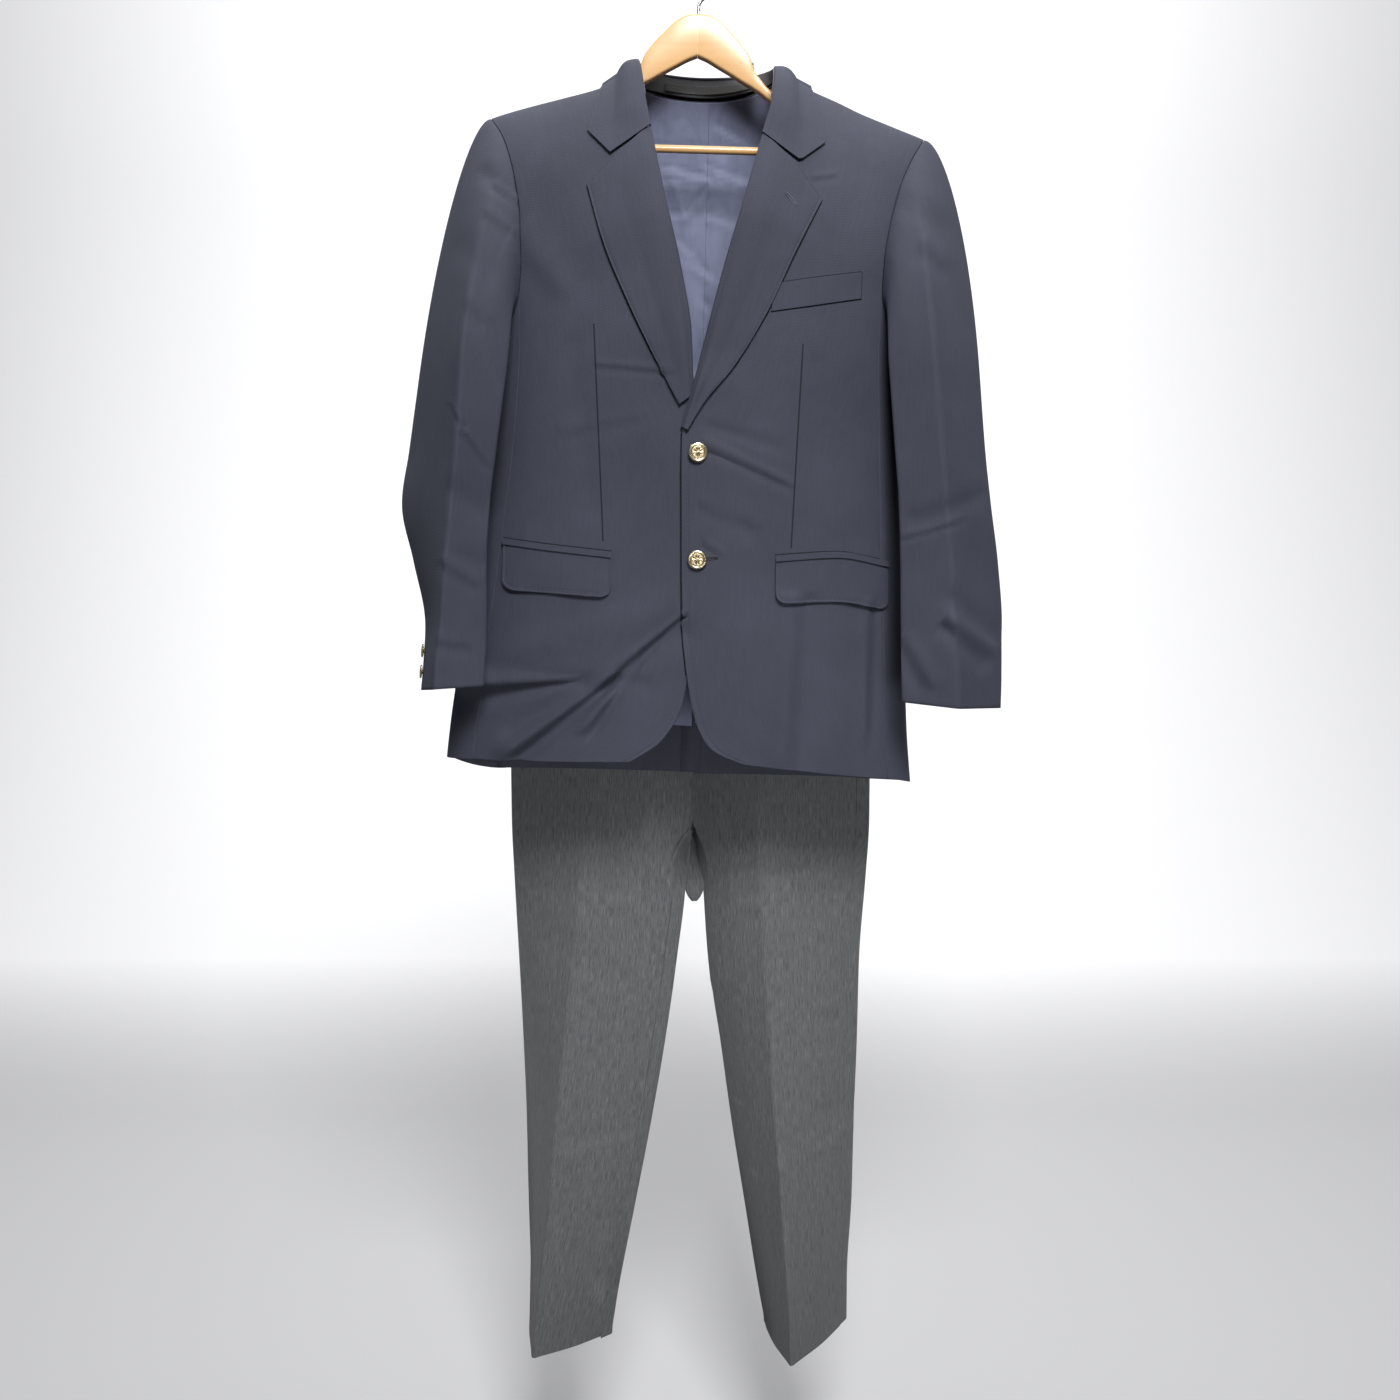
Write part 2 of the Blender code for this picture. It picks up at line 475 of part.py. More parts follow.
def front_panel(side, rows=24, cols=11):
    """Front: shoulder seam to hem, and neck, roll and front edge to armhole and side seam."""
    name = "left" if side < 0 else "right"
    edge = FRONT_EDGE_LEFT if side < 0 else FRONT_EDGE_RIGHT
    v = np.linspace(0, 1, rows)
    inner_x = smooth(edge, "x", v)
    inner_drop = smooth(edge, "drop", v)
    _, hole_x, hole_drop = armhole(side, SIDE_SEAM_TOP_Q * np.clip(v / ARMHOLE_SHARE, 0, 1))
    seam_top = hole_drop[-1]
    down = (v - ARMHOLE_SHARE) / (1 - ARMHOLE_SHARE)
    seam_drop = seam_top + (smooth(HEM, name, 0.0) - seam_top) * down
    on_seam = v > ARMHOLE_SHARE
    outer_drop = np.where(on_seam, seam_drop, hole_drop)
    seam_x = side * half_width(side, seam_drop) * seam_share(side, seam_drop, -1)
    outer_x = np.where(on_seam, seam_x, hole_x) - side * SEAM
    u = np.linspace(0, 1, cols)[None, :]
    x = inner_x[:, None] * (1 - u) + outer_x[:, None] * u
    drop = inner_drop[:, None] * (1 - u) + outer_drop[:, None] * u
    drop += (smooth(SHOULDER, "drop", x[:1]) - drop[:1]) * top_fade(v[:, None])
    lift = front_lift(x, drop) if side > 0 else 0.0
    points = body_point(x, drop, -1, lift)
    normal = body_normal(x, drop, -1)
    points[0, :, 1] = -SEAM / 2
    normal[0] = (0, 0, 1)
    PANELS.append(points)
    return wall("front_" + name, points, normal, CLOTH, WOOL)


def top_fade(v):
    """1 at a panel's top row, 0 from EDGE_BLEND of its length down."""
    return np.clip(1 - v / EDGE_BLEND, 0, 1) ** 2


def front_lift(x, drop):
    """How far the right front stands off the left one where it buttons over it."""
    near = ease((0.070 - x) / 0.055)
    return OVERLAP_LIFT * near * ease((drop - 0.400) / 0.045)


def back_panel(side, rows=22, cols=10):
    """Back from neck and shoulder seam to hem, and from centre seam to armhole and side seam."""
    name = "left" if side < 0 else "right"
    v = np.linspace(0, 1, rows) ** 1.25
    x, drop = back_grid(side, v, np.linspace(0, 1, cols))
    points = body_point(x, drop, 1)
    normal = body_normal(x, drop, 1)
    on_shoulder = side * (x[0] - NECK_X[name]) > 0
    points[0, on_shoulder, 1] = SEAM / 2
    normal[0, on_shoulder] = (0, 0, 1)
    wall("back_" + name, points, normal, CLOTH, WOOL)
    foot = np.searchsorted(drop[:, 0], BACK_LINING_DROP)
    inside = points - normal * (CLOTH + LINING_INSET)
    shown = slice(0, cols - 3)
    wall("back_lining_" + name, inside[:foot, shown], normal[:foot, shown], LINING_CLOTH, LINING)


def back_grid(side, v, u):
    """x and drop of a back: rows follow the neck and shoulder at the top, the hem at the foot."""
    name = "left" if side < 0 else "right"
    share = ARMHOLE_SHARE
    _, hole_x, hole_drop = armhole(side, 2 - SIDE_SEAM_TOP_Q * np.clip(v / share, 0, 1))
    seam_top = hole_drop[-1]
    down = (v - share) / (1 - share)
    seam_drop = seam_top + (smooth(HEM, name, 1.0) - seam_top) * down
    on_seam = v > share
    outer_drop = np.where(on_seam, seam_drop, hole_drop)
    seam_x = side * half_width(side, seam_drop) * seam_share(side, seam_drop, 1)
    outer_x = np.where(on_seam, seam_x, hole_x) - side * SEAM
    inner_drop = BACK_NECK_DROP + (smooth(HEM, name, 2.0) - BACK_NECK_DROP) * v
    centre = CENTRE_BACK[0] + (CENTRE_BACK[1] - CENTRE_BACK[0]) * v
    gape = VENT_GAPE * ease((inner_drop - VENT_TOP) / 0.06)
    inner_x = centre + side * (SEAM / 2 + gape)
    u = u[None, :]
    x = inner_x[:, None] * (1 - u) + outer_x[:, None] * u
    drop = inner_drop[:, None] * (1 - u) + outer_drop[:, None] * u
    neck = NECK_X[name]
    arc = np.clip(np.abs(x[:1] - centre[0]) / abs(neck - centre[0]), 0, 1)
    top = smooth(SHOULDER, "drop", x[:1])
    shoulder = smooth(SHOULDER, "drop", neck)
    neckline = BACK_NECK_DROP + (shoulder - BACK_NECK_DROP) * arc ** 2.2
    top = np.where(arc < 1, neckline, top)
    drop += (top - drop[:1]) * top_fade(v[:, None])
    return x, drop


def side_panel(side, rows=16, cols=7):
    """Underarm panel between the front and back side seams."""
    name = "left" if side < 0 else "right"
    u = np.linspace(0, 1, cols)
    a = SIDE_SEAM_TOP_Q + (2 - 2 * SIDE_SEAM_TOP_Q) * u
    _, top_x, top_drop = armhole(side, a)
    v = np.linspace(0, 1, rows)[:, None]
    drop = top_drop + ARMHOLE_GAP + (smooth(HEM, name, u) - top_drop) * v
    width = half_width(side, drop)
    front = body_angle(seam_share(side, drop, -1) + SEAM / width)
    back = math.pi - body_angle(seam_share(side, drop, 1) + 3 * SEAM / width)
    angle = front + (back - front) * u
    top_angle = body_angle(np.clip(np.abs(top_x) / half_width(side, top_drop), 0, 1))
    top_angle = np.where(a <= 1, top_angle, math.pi - top_angle)
    edge_free = (u > 0) & (u < 1)
    angle = np.where(edge_free, angle + (top_angle - angle[:1]) * top_fade(v), angle)
    points = ring_point(side, angle, drop)
    tiny = 0.0005
    turn = ring_point(side, angle + tiny, drop) - ring_point(side, angle - tiny, drop)
    down = ring_point(side, angle, drop + tiny) - ring_point(side, angle, drop - tiny)
    normal = np.cross(turn, down) * -side
    normal /= np.linalg.norm(normal, axis=-1, keepdims=True)
    PANELS.append(points)
    return wall("side_" + name, points, normal, CLOTH, WOOL)


def body_angle(share):
    """Angle round the body's section, 0 at centre front, at a share of the half width."""
    return np.arcsin(np.clip(share, 0, 1) ** (BODY_SQUARENESS / 2))


def ring_point(side, angle, drop):
    """Point on the body's section at an angle from centre front."""
    power = 2 / BODY_SQUARENESS
    x = side * half_width(side, drop) * np.abs(np.sin(angle)) ** power
    reach = np.where(angle < math.pi / 2, -smooth(BODY, "front", drop), smooth(BODY, "back", drop))
    y = reach * np.abs(np.cos(angle)) ** power
    y -= np.where(angle < math.pi / 2, relief(FRONT_FOLDS, x, drop), 0.0)
    y += np.where(angle < math.pi / 2, 0.0, relief(BACK_FOLDS, x, drop))
    return np.stack([x, y, -np.broadcast_to(drop, x.shape)], -1)


def cornered(start, corner, end, at, u):
    """Path start, corner, end: the share of the way at which it turns is at."""
    first = start + (corner - start) * np.clip(u / at, 0, 1)
    return np.where(u <= at, first, corner + (end - corner) * np.clip((u - at) / (1 - at), 0, 1))


def lapel(side, rows=15):
    """Facing turned back along the roll line, with a soft roll and a stepped notch edge."""
    name = "left" if side < 0 else "right"
    table = LAPEL_LEFT if side < 0 else LAPEL_RIGHT
    v = np.linspace(0, 1, rows)[:, None]
    turn, notch_x, notch_drop = NOTCH[name]
    u = np.array([[0, 0.1, 0.22, 0.4, turn, 0.85, 1.0]])
    roll_x, roll_drop = smooth(table, "roll_x", v), smooth(table, "roll_drop", v)
    edge_x, edge_drop = smooth(table, "edge_x", v), smooth(table, "edge_drop", v)
    fade = np.clip(1 - v / 0.30, 0, 1) ** 2
    top_x = cornered(roll_x[0], notch_x, edge_x[0], turn, u)
    top_drop = cornered(roll_drop[0], notch_drop, edge_drop[0], turn, u)
    x = roll_x + (edge_x - roll_x) * u
    drop = roll_drop + (edge_drop - roll_drop) * u
    x = x + (top_x - x[:1]) * fade
    drop = drop + (top_drop - drop[:1]) * fade
    roll = np.sin(math.pi * np.clip(u / 0.55, 0, 1)) * ease((1 - v) / 0.3) * ease(v / 0.1)
    lift = CLOTH + SEAM + (LAPEL_LIFT - CLOTH - SEAM) * ease(u / 0.15) + LAPEL_ROLL * roll
    if side > 0:
        lift = lift + front_lift(x, drop)
    points = body_point(x, drop, -1, lift)
    return wall("lapel_" + name, points, body_normal(x, drop, -1), CLOTH, WOOL)


def collar_curves(s):
    """Fold line and outer edge of the collar at shares s of the way round the neck."""
    fold = np.stack([smooth(COLLAR_FOLD, "x", s), smooth(COLLAR_FOLD, "y", s),
                     -smooth(COLLAR_FOLD, "drop", s)], -1)
    x, drop = smooth(COLLAR_EDGE, "x", s), smooth(COLLAR_EDGE, "drop", s)
    face = smooth(COLLAR_EDGE, "face", s)
    front = body_y(x, drop, -1) - COLLAR_LIFT
    back = body_y(x, drop, 1) + COLLAR_LIFT
    y = front + (back - front) * (face + 1) / 2
    return fold, np.stack([x, y, -drop], -1)


def collar_leaf(rows=31):
    """Turned-down collar from the left notch round the neck to the right one."""
    s = np.linspace(0, 1, rows)
    fold, edge = collar_curves(s)
    u = np.linspace(0, 1, 6)[None, :, None]
    points = fold[:, None] + (edge - fold)[:, None] * u
    for end, name in ((0, "left"), (-1, "right")):
        at, notch_x, notch_drop = COLLAR_NOTCH[name]
        notch = body_point(notch_x, notch_drop, -1, COLLAR_LIFT)
        path = cornered(fold[end], notch, edge[end], at, u[0])
        far = s if end == 0 else 1 - s
        fade = np.clip(1 - far / 0.14, 0, 1)[:, None, None] ** 1.5
        points = points + (path - points[end])[None] * fade
    bulge = COLLAR_ROLL * np.sin(math.pi * np.clip(u / 0.6, 0, 1))
    points = points + surface_normal(points, False) * bulge
    return wall("collar_leaf", points, surface_normal(points, False), CLOTH, WOOL)


def stand_points(s, u):
    """Stand that rises from the neck seam to the fold, inside the leaf."""
    fold, _ = collar_curves(s)
    x, drop = smooth(NECK_SEAM, "x", s), smooth(NECK_SEAM, "drop", s)
    face = smooth(NECK_SEAM, "face", s)
    front, back = body_y(x, drop, -1), body_y(x, drop, 1)
    foot = np.stack([x, front + (back - front) * (face + 1) / 2, STAND_RISE - drop], -1)
    inward = (np.array(NECK_CENTRE) - fold) * (1, 1, 0)
    inward /= np.linalg.norm(inward, axis=-1, keepdims=True)
    head = fold + inward * (CLOTH + SEAM) - np.array([0, 0, CLOTH])
    return head[:, None] + (foot - head)[:, None] * np.asarray(u)[None, :, None]


def collar_stand(rows=23, cols=3):
    """Collar stand and, on its inside at the back, the strip of the hanger loop."""
    s = np.linspace(NECK_SEAM["s"][0], NECK_SEAM["s"][-1], rows)
    points = stand_points(s, np.linspace(0, 1, cols))
    normal = surface_normal(points, False)
    wall("collar_stand", points, normal, UNDERCOLLAR_CLOTH, UNDERCOLLAR)
    middle = slice(rows // 2 - LOOP_ROWS, rows // 2 + LOOP_ROWS + 1)
    strip = stand_points(s[middle], LOOP_HEIGHT)
    inset = surface_normal(strip, False)
    wall("hanger_loop", strip - inset * (UNDERCOLLAR_CLOTH + SEAM), inset, LOOP_CLOTH, UNDERCOLLAR)


def draped(x, drop, lift):
    """Points on the built front and side panels, moved out along the body's normal."""
    verts, faces = [], []
    for grid in PANELS:
        first = len(verts)
        rows, cols = grid.shape[:2]
        verts += grid.reshape(-1, 3).tolist()
        for i in range(rows - 1):
            for j in range(cols - 1):
                a = first + i * cols + j
                faces.append((a, a + 1, a + cols + 1, a + cols))
    tree = BVHTree.FromPolygons(verts, faces)
    depth = np.reshape([seat_depth(tree, px, pd) for px, pd in zip(x.flat, drop.flat)], x.shape)
    return np.stack([x, depth, -drop], -1) + body_normal(x, drop, -1) * lift


def seat_depth(tree, x, drop):
    """Depth of the front's surface at a point, a step aside where the point is over a seam's gap."""
    for aside in (0, -SEAM_STEP, SEAM_STEP):
        hit = tree.ray_cast(Vector((x + aside, -1, -drop)), Vector((0, 1, 0)))[0]
        if hit is not None and hit.y < 0:
            return hit.y
    raise ValueError("no front panel under a pocket piece")


def patch(name, table, lift, thickness, material, rows, round_ends=False):
    """A pocket piece on the front: between its named top and bottom lines, moved out."""
    u = np.array([0, 0.03, 0.08, 0.16, 0.26, 0.37, 0.5, 0.63, 0.74, 0.84, 0.92, 0.97, 1.0])
    x = smooth(table, "x", u)
    head, foot = smooth(table, "top", u), smooth(table, "bottom", u)
    if round_ends:
        away = np.minimum(np.abs(x - x[0]), np.abs(x - x[-1]))
        foot = foot - FLAP_CORNER * (1 - np.sqrt(1 - np.clip(1 - away / FLAP_CORNER, 0, 1) ** 2))
    v = np.linspace(0, 1, rows)[:, None]
    drop = head + (foot - head) * v
    x = np.broadcast_to(x, drop.shape)
    points = draped(x, drop, lift)
    return wall(name, points, body_normal(x, drop, -1), thickness, material)


def jet(name, flap):
    """Piping over a flap's top edge."""
    band = dict(flap)
    band["bottom"] = flap["top"] - SEAM
    band["top"] = flap["top"] - SEAM - JET_HEIGHT
    return patch(name, band, TRIM_LIFT, TRIM_CLOTH, WOOL, 2)


def rounded(corners, t, soft):
    """Closed polygon of corners, each side rounded into the next by a moving mean."""
    count = len(corners)
    total = 0.0
    offsets = np.linspace(-1, 1, 9)
    for offset in offsets:
        at = np.mod(t + offset * soft, count)
        i = np.floor(at).astype(int) % count
        part = (at - np.floor(at))[:, None, None]
        total = total + corners[i] * (1 - part) + corners[(i + 1) % count] * part
    return total / len(offsets)


def sleeve_ring(side, t, drop):
    """Level section of a sleeve below the armhole at corner coordinate t."""
    table = SLEEVE_LEFT if side < 0 else SLEEVE_RIGHT
    keys = ("outer", "front", "inner", "hollow", "back")
    slant = CUFF_SLANT["left" if side < 0 else "right"]
    near_cuff = ease((drop - CUFF_SLANT_FROM) / (table["drop"][-1] - CUFF_SLANT_FROM))
    corners = np.stack([np.stack([side * smooth(table, key + "_x", drop),
                                  smooth(table, key + "_y", drop),
                                  -drop - low * near_cuff], -1) for key, low in zip(keys, slant)])
    return rounded(corners, t, SLEEVE_SOFTNESS)


def sleeve_grid(side, t, cap_rows=7, ring_rows=9):
    """Sleeve points: a cap of cubic arcs from the armhole, then level rings to the cuff."""
    wrapped = np.mod(t, 5)
    head = {key: smooth(SLEEVE_HEAD, key, wrapped) for key in SLEEVE_HEAD}
    seam, _, _ = armhole(side, head["armhole"])
    way = np.stack([side * head["out"], -head["forward"], head["rise"]], -1)
    way /= np.linalg.norm(way, axis=-1, keepdims=True)
    start = seam + way * ARMHOLE_GAP
    table = SLEEVE_LEFT if side < 0 else SLEEVE_RIGHT
    drops = np.linspace(SLEEVE_RING_TOP, table["drop"][-1], ring_rows)
    rings = np.swapaxes(sleeve_ring(side, t, drops), 0, 1)
    ring = rings[0]
    slope = (ring - rings[1]) / (drops[1] - drops[0])
    reach, lift = head["reach"][:, None], head["lift"][:, None]
    v = np.linspace(0, 1, cap_rows, endpoint=False)[:, None, None]
    cap = (start * (1 - v) ** 3 + (start + way * reach) * 3 * v * (1 - v) ** 2
           + (ring + slope * lift) * 3 * v * v * (1 - v) + ring * v ** 3)
    return np.concatenate([cap, rings])


def shaped(grid, side, t, folds):
    """A tube's points with its folds, and its normals, the same on both sides of a seam."""
    tiny = 0.02
    points, before, after = grid(side, t), grid(side, t - tiny), grid(side, t + tiny)
    down = np.gradient(points, axis=0)
    normal = np.cross(down, after - before) * -side
    normal /= np.linalg.norm(normal, axis=-1, keepdims=True)
    amount = relief(folds, points[..., 0], -points[..., 2]) * np.clip(-normal[..., 1], 0, 1)
    return points + normal * amount[..., None], normal


def sleeve(side):
    """Top sleeve and under sleeve, parted at the front and elbow seams."""
    name = "left" if side < 0 else "right"
    start, end = TOP_SLEEVE_SPAN
    for piece, first, last, cols in (("top_sleeve_", start, end, 14),
                                     ("under_sleeve_", end, start + 5, 7)):
        t = np.linspace(first + SLEEVE_NICK, last - SLEEVE_NICK, cols)
        points, normal = shaped(sleeve_grid, side, t, SLEEVE_FOLDS)
        wall(piece + name, points, normal, CLOTH, WOOL)


def turned(name, profile, place, facing, material, steps):
    """A turned piece: its profile of radius and height, screwed about the axis, then faced."""
    mesh = bpy.data.meshes.new(name)
    verts = [(radius, 0, height) for radius, height in profile]
    mesh.from_pydata(verts, [(i, i + 1) for i in range(len(verts) - 1)], [])
    thing = new_object(name, mesh, material)
    screw = thing.modifiers.new("turn", "SCREW")
    screw.steps = steps
    screw.render_steps = steps
    screw.use_merge_vertices = True
    screw.merge_threshold = 0.00005
    screw.use_smooth_shade = False
    thing.location = place
    thing.rotation_mode = "QUATERNION"
    thing.rotation_quaternion = facing.to_track_quat("Z", "Y")
    return thing


def button(name, radius, seat, facing, steps):
    """A shank button: sunk face, raised rim and shank, all shares of its radius."""
    profile = zip(BUTTON_PROFILE["radius"] * radius, BUTTON_PROFILE["height"] * radius)
    turned(name, profile, seat, Vector(facing), BRASS, steps)


def buttons():
    """Two front buttons and two at each cuff, their shanks on the cloth."""
    for name, drop in zip(("button_upper", "button_lower"), FRONT_BUTTON_DROPS):
        x = np.array([FRONT_BUTTON_X])
        d = np.array([drop])
        seat = body_point(x, d, -1, front_lift(x, d) + BUTTON_SEAT)[0]
        button(name, FRONT_BUTTON_RADIUS, seat, body_normal(x, d, -1)[0], 20)
    for side, name in ((-1, "left"), (1, "right")):
        t = CUFF_BUTTON_TURN[name]
        for label, drop in zip(("upper", "lower"), CUFF_BUTTON_DROPS):
            t3 = np.array([t - 0.05, t, t + 0.05])
            d3 = np.array([drop - 0.004, drop, drop + 0.004])
            grid = np.swapaxes(sleeve_ring(side, t3, d3), 0, 1)
            facing = surface_normal(grid, side > 0)[1, 1]
            seat = grid[1, 1] + facing * BUTTON_SEAT
            button("cuff_button_" + name + "_" + label, CUFF_BUTTON_RADIUS, seat, facing, 12)


def leg_corners(side, drop):
    """Outer, front crease, inner and back crease of a trouser half at a drop."""
    table = LEG_LEFT if side < 0 else LEG_RIGHT
    drop = np.asarray(drop, float)
    out = {}
    for key in ("outer", "front", "inner", "back"):
        x, y = smooth(table, key + "_x", drop), smooth(table, key + "_y", drop)
        out[key] = np.stack([x, y, -drop], -1)
    joined = ease((drop - SEAT_START) / SEAT_REACH)[:, None]
    gap = side * SEAM / 2
    above = np.stack([np.full_like(drop, TROUSER_CENTRE + gap), out["inner"][:, 1], -drop], -1)
    behind = above.copy()
    low, full = SEAT_BACK
    behind[:, 1] = low + (full - low) * ease((drop - WAIST_TOP - WAISTBAND) / SEAT_RISE)
    fork = ease((drop - FORK_DROP) / FORK_TURN)[:, None]
    front = above * (1 - fork) + out["inner"] * fork
    out["inner_back"] = behind * (1 - joined) + out["inner"] * joined
    out["inner"] = front
    return out


def leg_ring(side, face, t, drop):
    """Section of a trouser half; above the fork its inner end is the centre front or back."""
    corner = leg_corners(side, drop)
    outer, front, back = corner["outer"], corner["front"], corner["back"]
    start, reach = (FORK_DROP, FORK_REACH) if face < 0 else (SEAT_START, SEAT_REACH)
    under = ease((drop - start) / reach)[None, :, None]
    if face < 0:
        inner = corner["inner"]
        loop, line = (outer, front, inner, back), (outer, front, inner, 2 * inner - front, back)
    else:
        inner = corner["inner_back"]
        t = t - 2
        loop, line = (inner, back, outer, front), (inner, back, outer, front, 2 * inner - back)
    ring = rounded(np.stack(loop), t, LEG_SOFTNESS) * under
    ring = ring + rounded(np.stack(line), t, LEG_SOFTNESS) * (1 - under)
    return np.swapaxes(ring, 0, 1)


def fork_strip(side, t, drop):
    """Rows of the back's leading part: straight from the front's inner edge to the fold."""
    edge = 2 - LEG_SEAM * ease((drop - FORK_DROP) / FORK_REACH)
    start = np.stack([leg_ring(side, -1, edge[i:i + 1], drop[i:i + 1])[0, 0] for i in range(len(drop))])
    fold = leg_ring(side, 1, np.array([2.0]), drop)[:, 0]
    share = (t - edge[:, None]) / np.maximum(2 - edge[:, None], 1e-6)
    return start[:, None] + (fold - start)[:, None] * share[..., None]


def leg_panel(side, face, rows=21, cols=10):
    """Trouser front or back, from waistband seam to hem, creased down its middle."""
    name = "left" if side < 0 else "right"
    foot = LEG_HEM[name][0 if face < 0 else 1]
    start = WAIST_TOP + WAISTBAND + SEAM
    drop = start + (foot - start) * np.linspace(0, 1, rows)
    under = ease((drop - FORK_DROP) / FORK_REACH)
    inner_seam = 2 - LEG_SEAM * under[:, None]
    if face < 0:
        first, last = LEG_SEAM + SEAM_NICK, inner_seam - SEAM_NICK
    else:
        first, last = inner_seam + SEAM_NICK, 4 + LEG_SEAM - SEAM_NICK
    share = np.linspace(0, 1, cols)[None, :]
    t = first * (1 - share) + last * share

    def grid(which, at):
        made = np.stack([leg_ring(which, face, at[i], drop)[i] for i in range(rows)])
        if face > 0:
            leading = (at < 2) & (under[:, None] > 0.02)
            made = np.where(leading[..., None], fork_strip(which, at, drop), made)
        return made

    points, normal = shaped(grid, side, t, LEG_FOLDS)
    points = points + normal * (LEG_FULLNESS * np.sin(math.pi * t) ** 2)[..., None]
    points[0, :, 2] = -start
    label = "trouser_front_" if face < 0 else "trouser_back_"
    return wall(label + name, points, normal, TROUSER_CLOTH, GREY_WOOL)


def waist_path(run_steps=7, end_steps=7):
    """Plan of the waist, flat while it hangs: straight runs and round ends, fly to fly."""
    left, right = LEG_LEFT["outer_x"][0], LEG_RIGHT["outer_x"][0]
    front, back = LEG_LEFT["front_y"][0], LEG_LEFT["back_y"][0]
    middle, radius = (front + back) / 2, (back - front) / 2
    turn = np.linspace(-math.pi / 2, math.pi / 2, end_steps)
    bend = radius * np.cos(turn), radius * np.sin(turn)
    fly_left, fly_right = TROUSER_CENTRE - FLY_GAP / 2, TROUSER_CENTRE + FLY_GAP / 2
    outward = np.linspace(fly_right, right - radius, run_steps)[:-1]
    across = np.linspace(right - radius, left + radius, 2 * run_steps)[1:-1]
    inward = np.linspace(left + radius, fly_left, run_steps)[1:]
    x = np.concatenate([outward, right - radius + bend[0], across, left + radius - bend[0], inward])
    y = np.concatenate([np.full_like(outward, front), middle + bend[1], np.full_like(across, back),
                        middle - bend[1], np.full_like(inward, front)])
    return x, y


def waistband():
    """Waistband in one length, its ends meeting at the fly."""
    x, y = waist_path()
    edges = [np.stack([x, y, np.full_like(x, -drop)], -1)
             for drop in (WAIST_TOP, WAIST_TOP + WAISTBAND)]
    points = np.stack(edges)
    normal = surface_normal(points, False)
    return wall("waistband", points, normal, WAISTBAND_CLOTH, GREY_WOOL)


def tube(name, path, radius, material, resolution=1):
    """Round wire or bar along a path with closed ends."""
    curve = bpy.data.curves.new(name, "CURVE")
    curve.dimensions = "3D"
    curve.bevel_depth = radius
    curve.bevel_resolution = resolution
    curve.use_fill_caps = True
    line = curve.splines.new("POLY")
    line.points.add(len(path) - 1)
    for point, place in zip(line.points, path):
        point.co = (*place, 1.0)
    return new_object(name, curve, material)


def rolled(points):
    """Hanger points turned about the hook by the way it hangs."""
    points = np.asarray(points, float)
    cos, sin = math.cos(HANGER_ROLL), math.sin(HANGER_ROLL)
    x = points[..., 0] * cos + points[..., 2] * sin
    z = points[..., 2] * cos - points[..., 0] * sin
    return np.stack([x, points[..., 1], z], -1)


def hanger_arm(side, rows=22):
    """One wooden arm: rounded sections along its length, curved forward to the shoulder."""
    share = np.linspace(0, 1, rows)
    x = HANGER_REACH * share
    top, under = smooth(HANGER_ARM, "top", x), smooth(HANGER_ARM, "under", x)
    middle, tall = (top + under) / 2, (under - top) / 2
    thick, bevel = HANGER_WOOD / 2, HANGER_BEVEL
    forward = -HANGER_FORWARD * (x / HANGER_REACH) ** 2
    shape = [(-1, -1), (1, -1), (1, 1), (-1, 1)]
    ring = []
    for a, b in shape:
        for da, db in ((0, 1), (1, 0)) if a * b > 0 else ((1, 0), (0, 1)):
            y = forward + a * (thick - bevel * da)
            z = -(middle + b * (tall - bevel * db))
            ring.append(np.stack([side * np.maximum(x, SEAM / 2), y, z], -1))
    points = rolled(np.stack(ring, 1))
    return loft("hanger_arm_" + ("left" if side < 0 else "right"), points, MAPLE)


def loft(name, rings, material):
    """Solid through closed rings with flat ends."""
    rows, cols = rings.shape[:2]
    faces = [tuple(range(cols)), tuple((rows - 1) * cols + j for j in range(cols))]
    for i in range(rows - 1):
        for j in range(cols):
            k = (j + 1) % cols
            faces.append((i * cols + j, i * cols + k, (i + 1) * cols + k, (i + 1) * cols + j))
    mesh = bpy.data.meshes.new(name)
    mesh.from_pydata(rings.reshape(-1, 3).tolist(), [], faces)
    body = bmesh.new()
    body.from_mesh(mesh)
    bmesh.ops.recalc_face_normals(body, faces=body.faces)
    body.to_mesh(mesh)
    body.free()
    mesh.shade_smooth()
    mesh.set_sharp_from_angle(angle=math.radians(30))
    return new_object(name, mesh, material)


def hanger():
    """Wooden arms, trouser bar and the wire hook, as they hang."""
    hanger_arm(-1)
    hanger_arm(1)
    falling = slice(0, np.argmax(HANGER_ARM["under"]) + 1)
    bar_top = BAR_DROP - BAR_RADIUS - SEAM
    half = np.interp(bar_top, HANGER_ARM["under"][falling], HANGER_ARM["x"][falling])
    bar_y = -HANGER_FORWARD * (half / HANGER_REACH) ** 2
    bar = rolled([(-half, bar_y, -BAR_DROP), (half, bar_y, -BAR_DROP)])
    tube("hanger_bar", bar, BAR_RADIUS, MAPLE, 2)
    radius = HOOK_BEND + HOOK_WIRE
    turn = np.radians(np.linspace(*HOOK_SWEEP, 21))
    crook = np.stack([radius * np.cos(turn), 0 * turn, radius * np.sin(turn) - HOOK_BEND], -1)
    shank = np.array([(x, 0, -drop) for x, drop in HOOK_SHANK])
    tube("hanger_hook", rolled(np.concatenate([shank, crook])), HOOK_WIRE, STEEL)


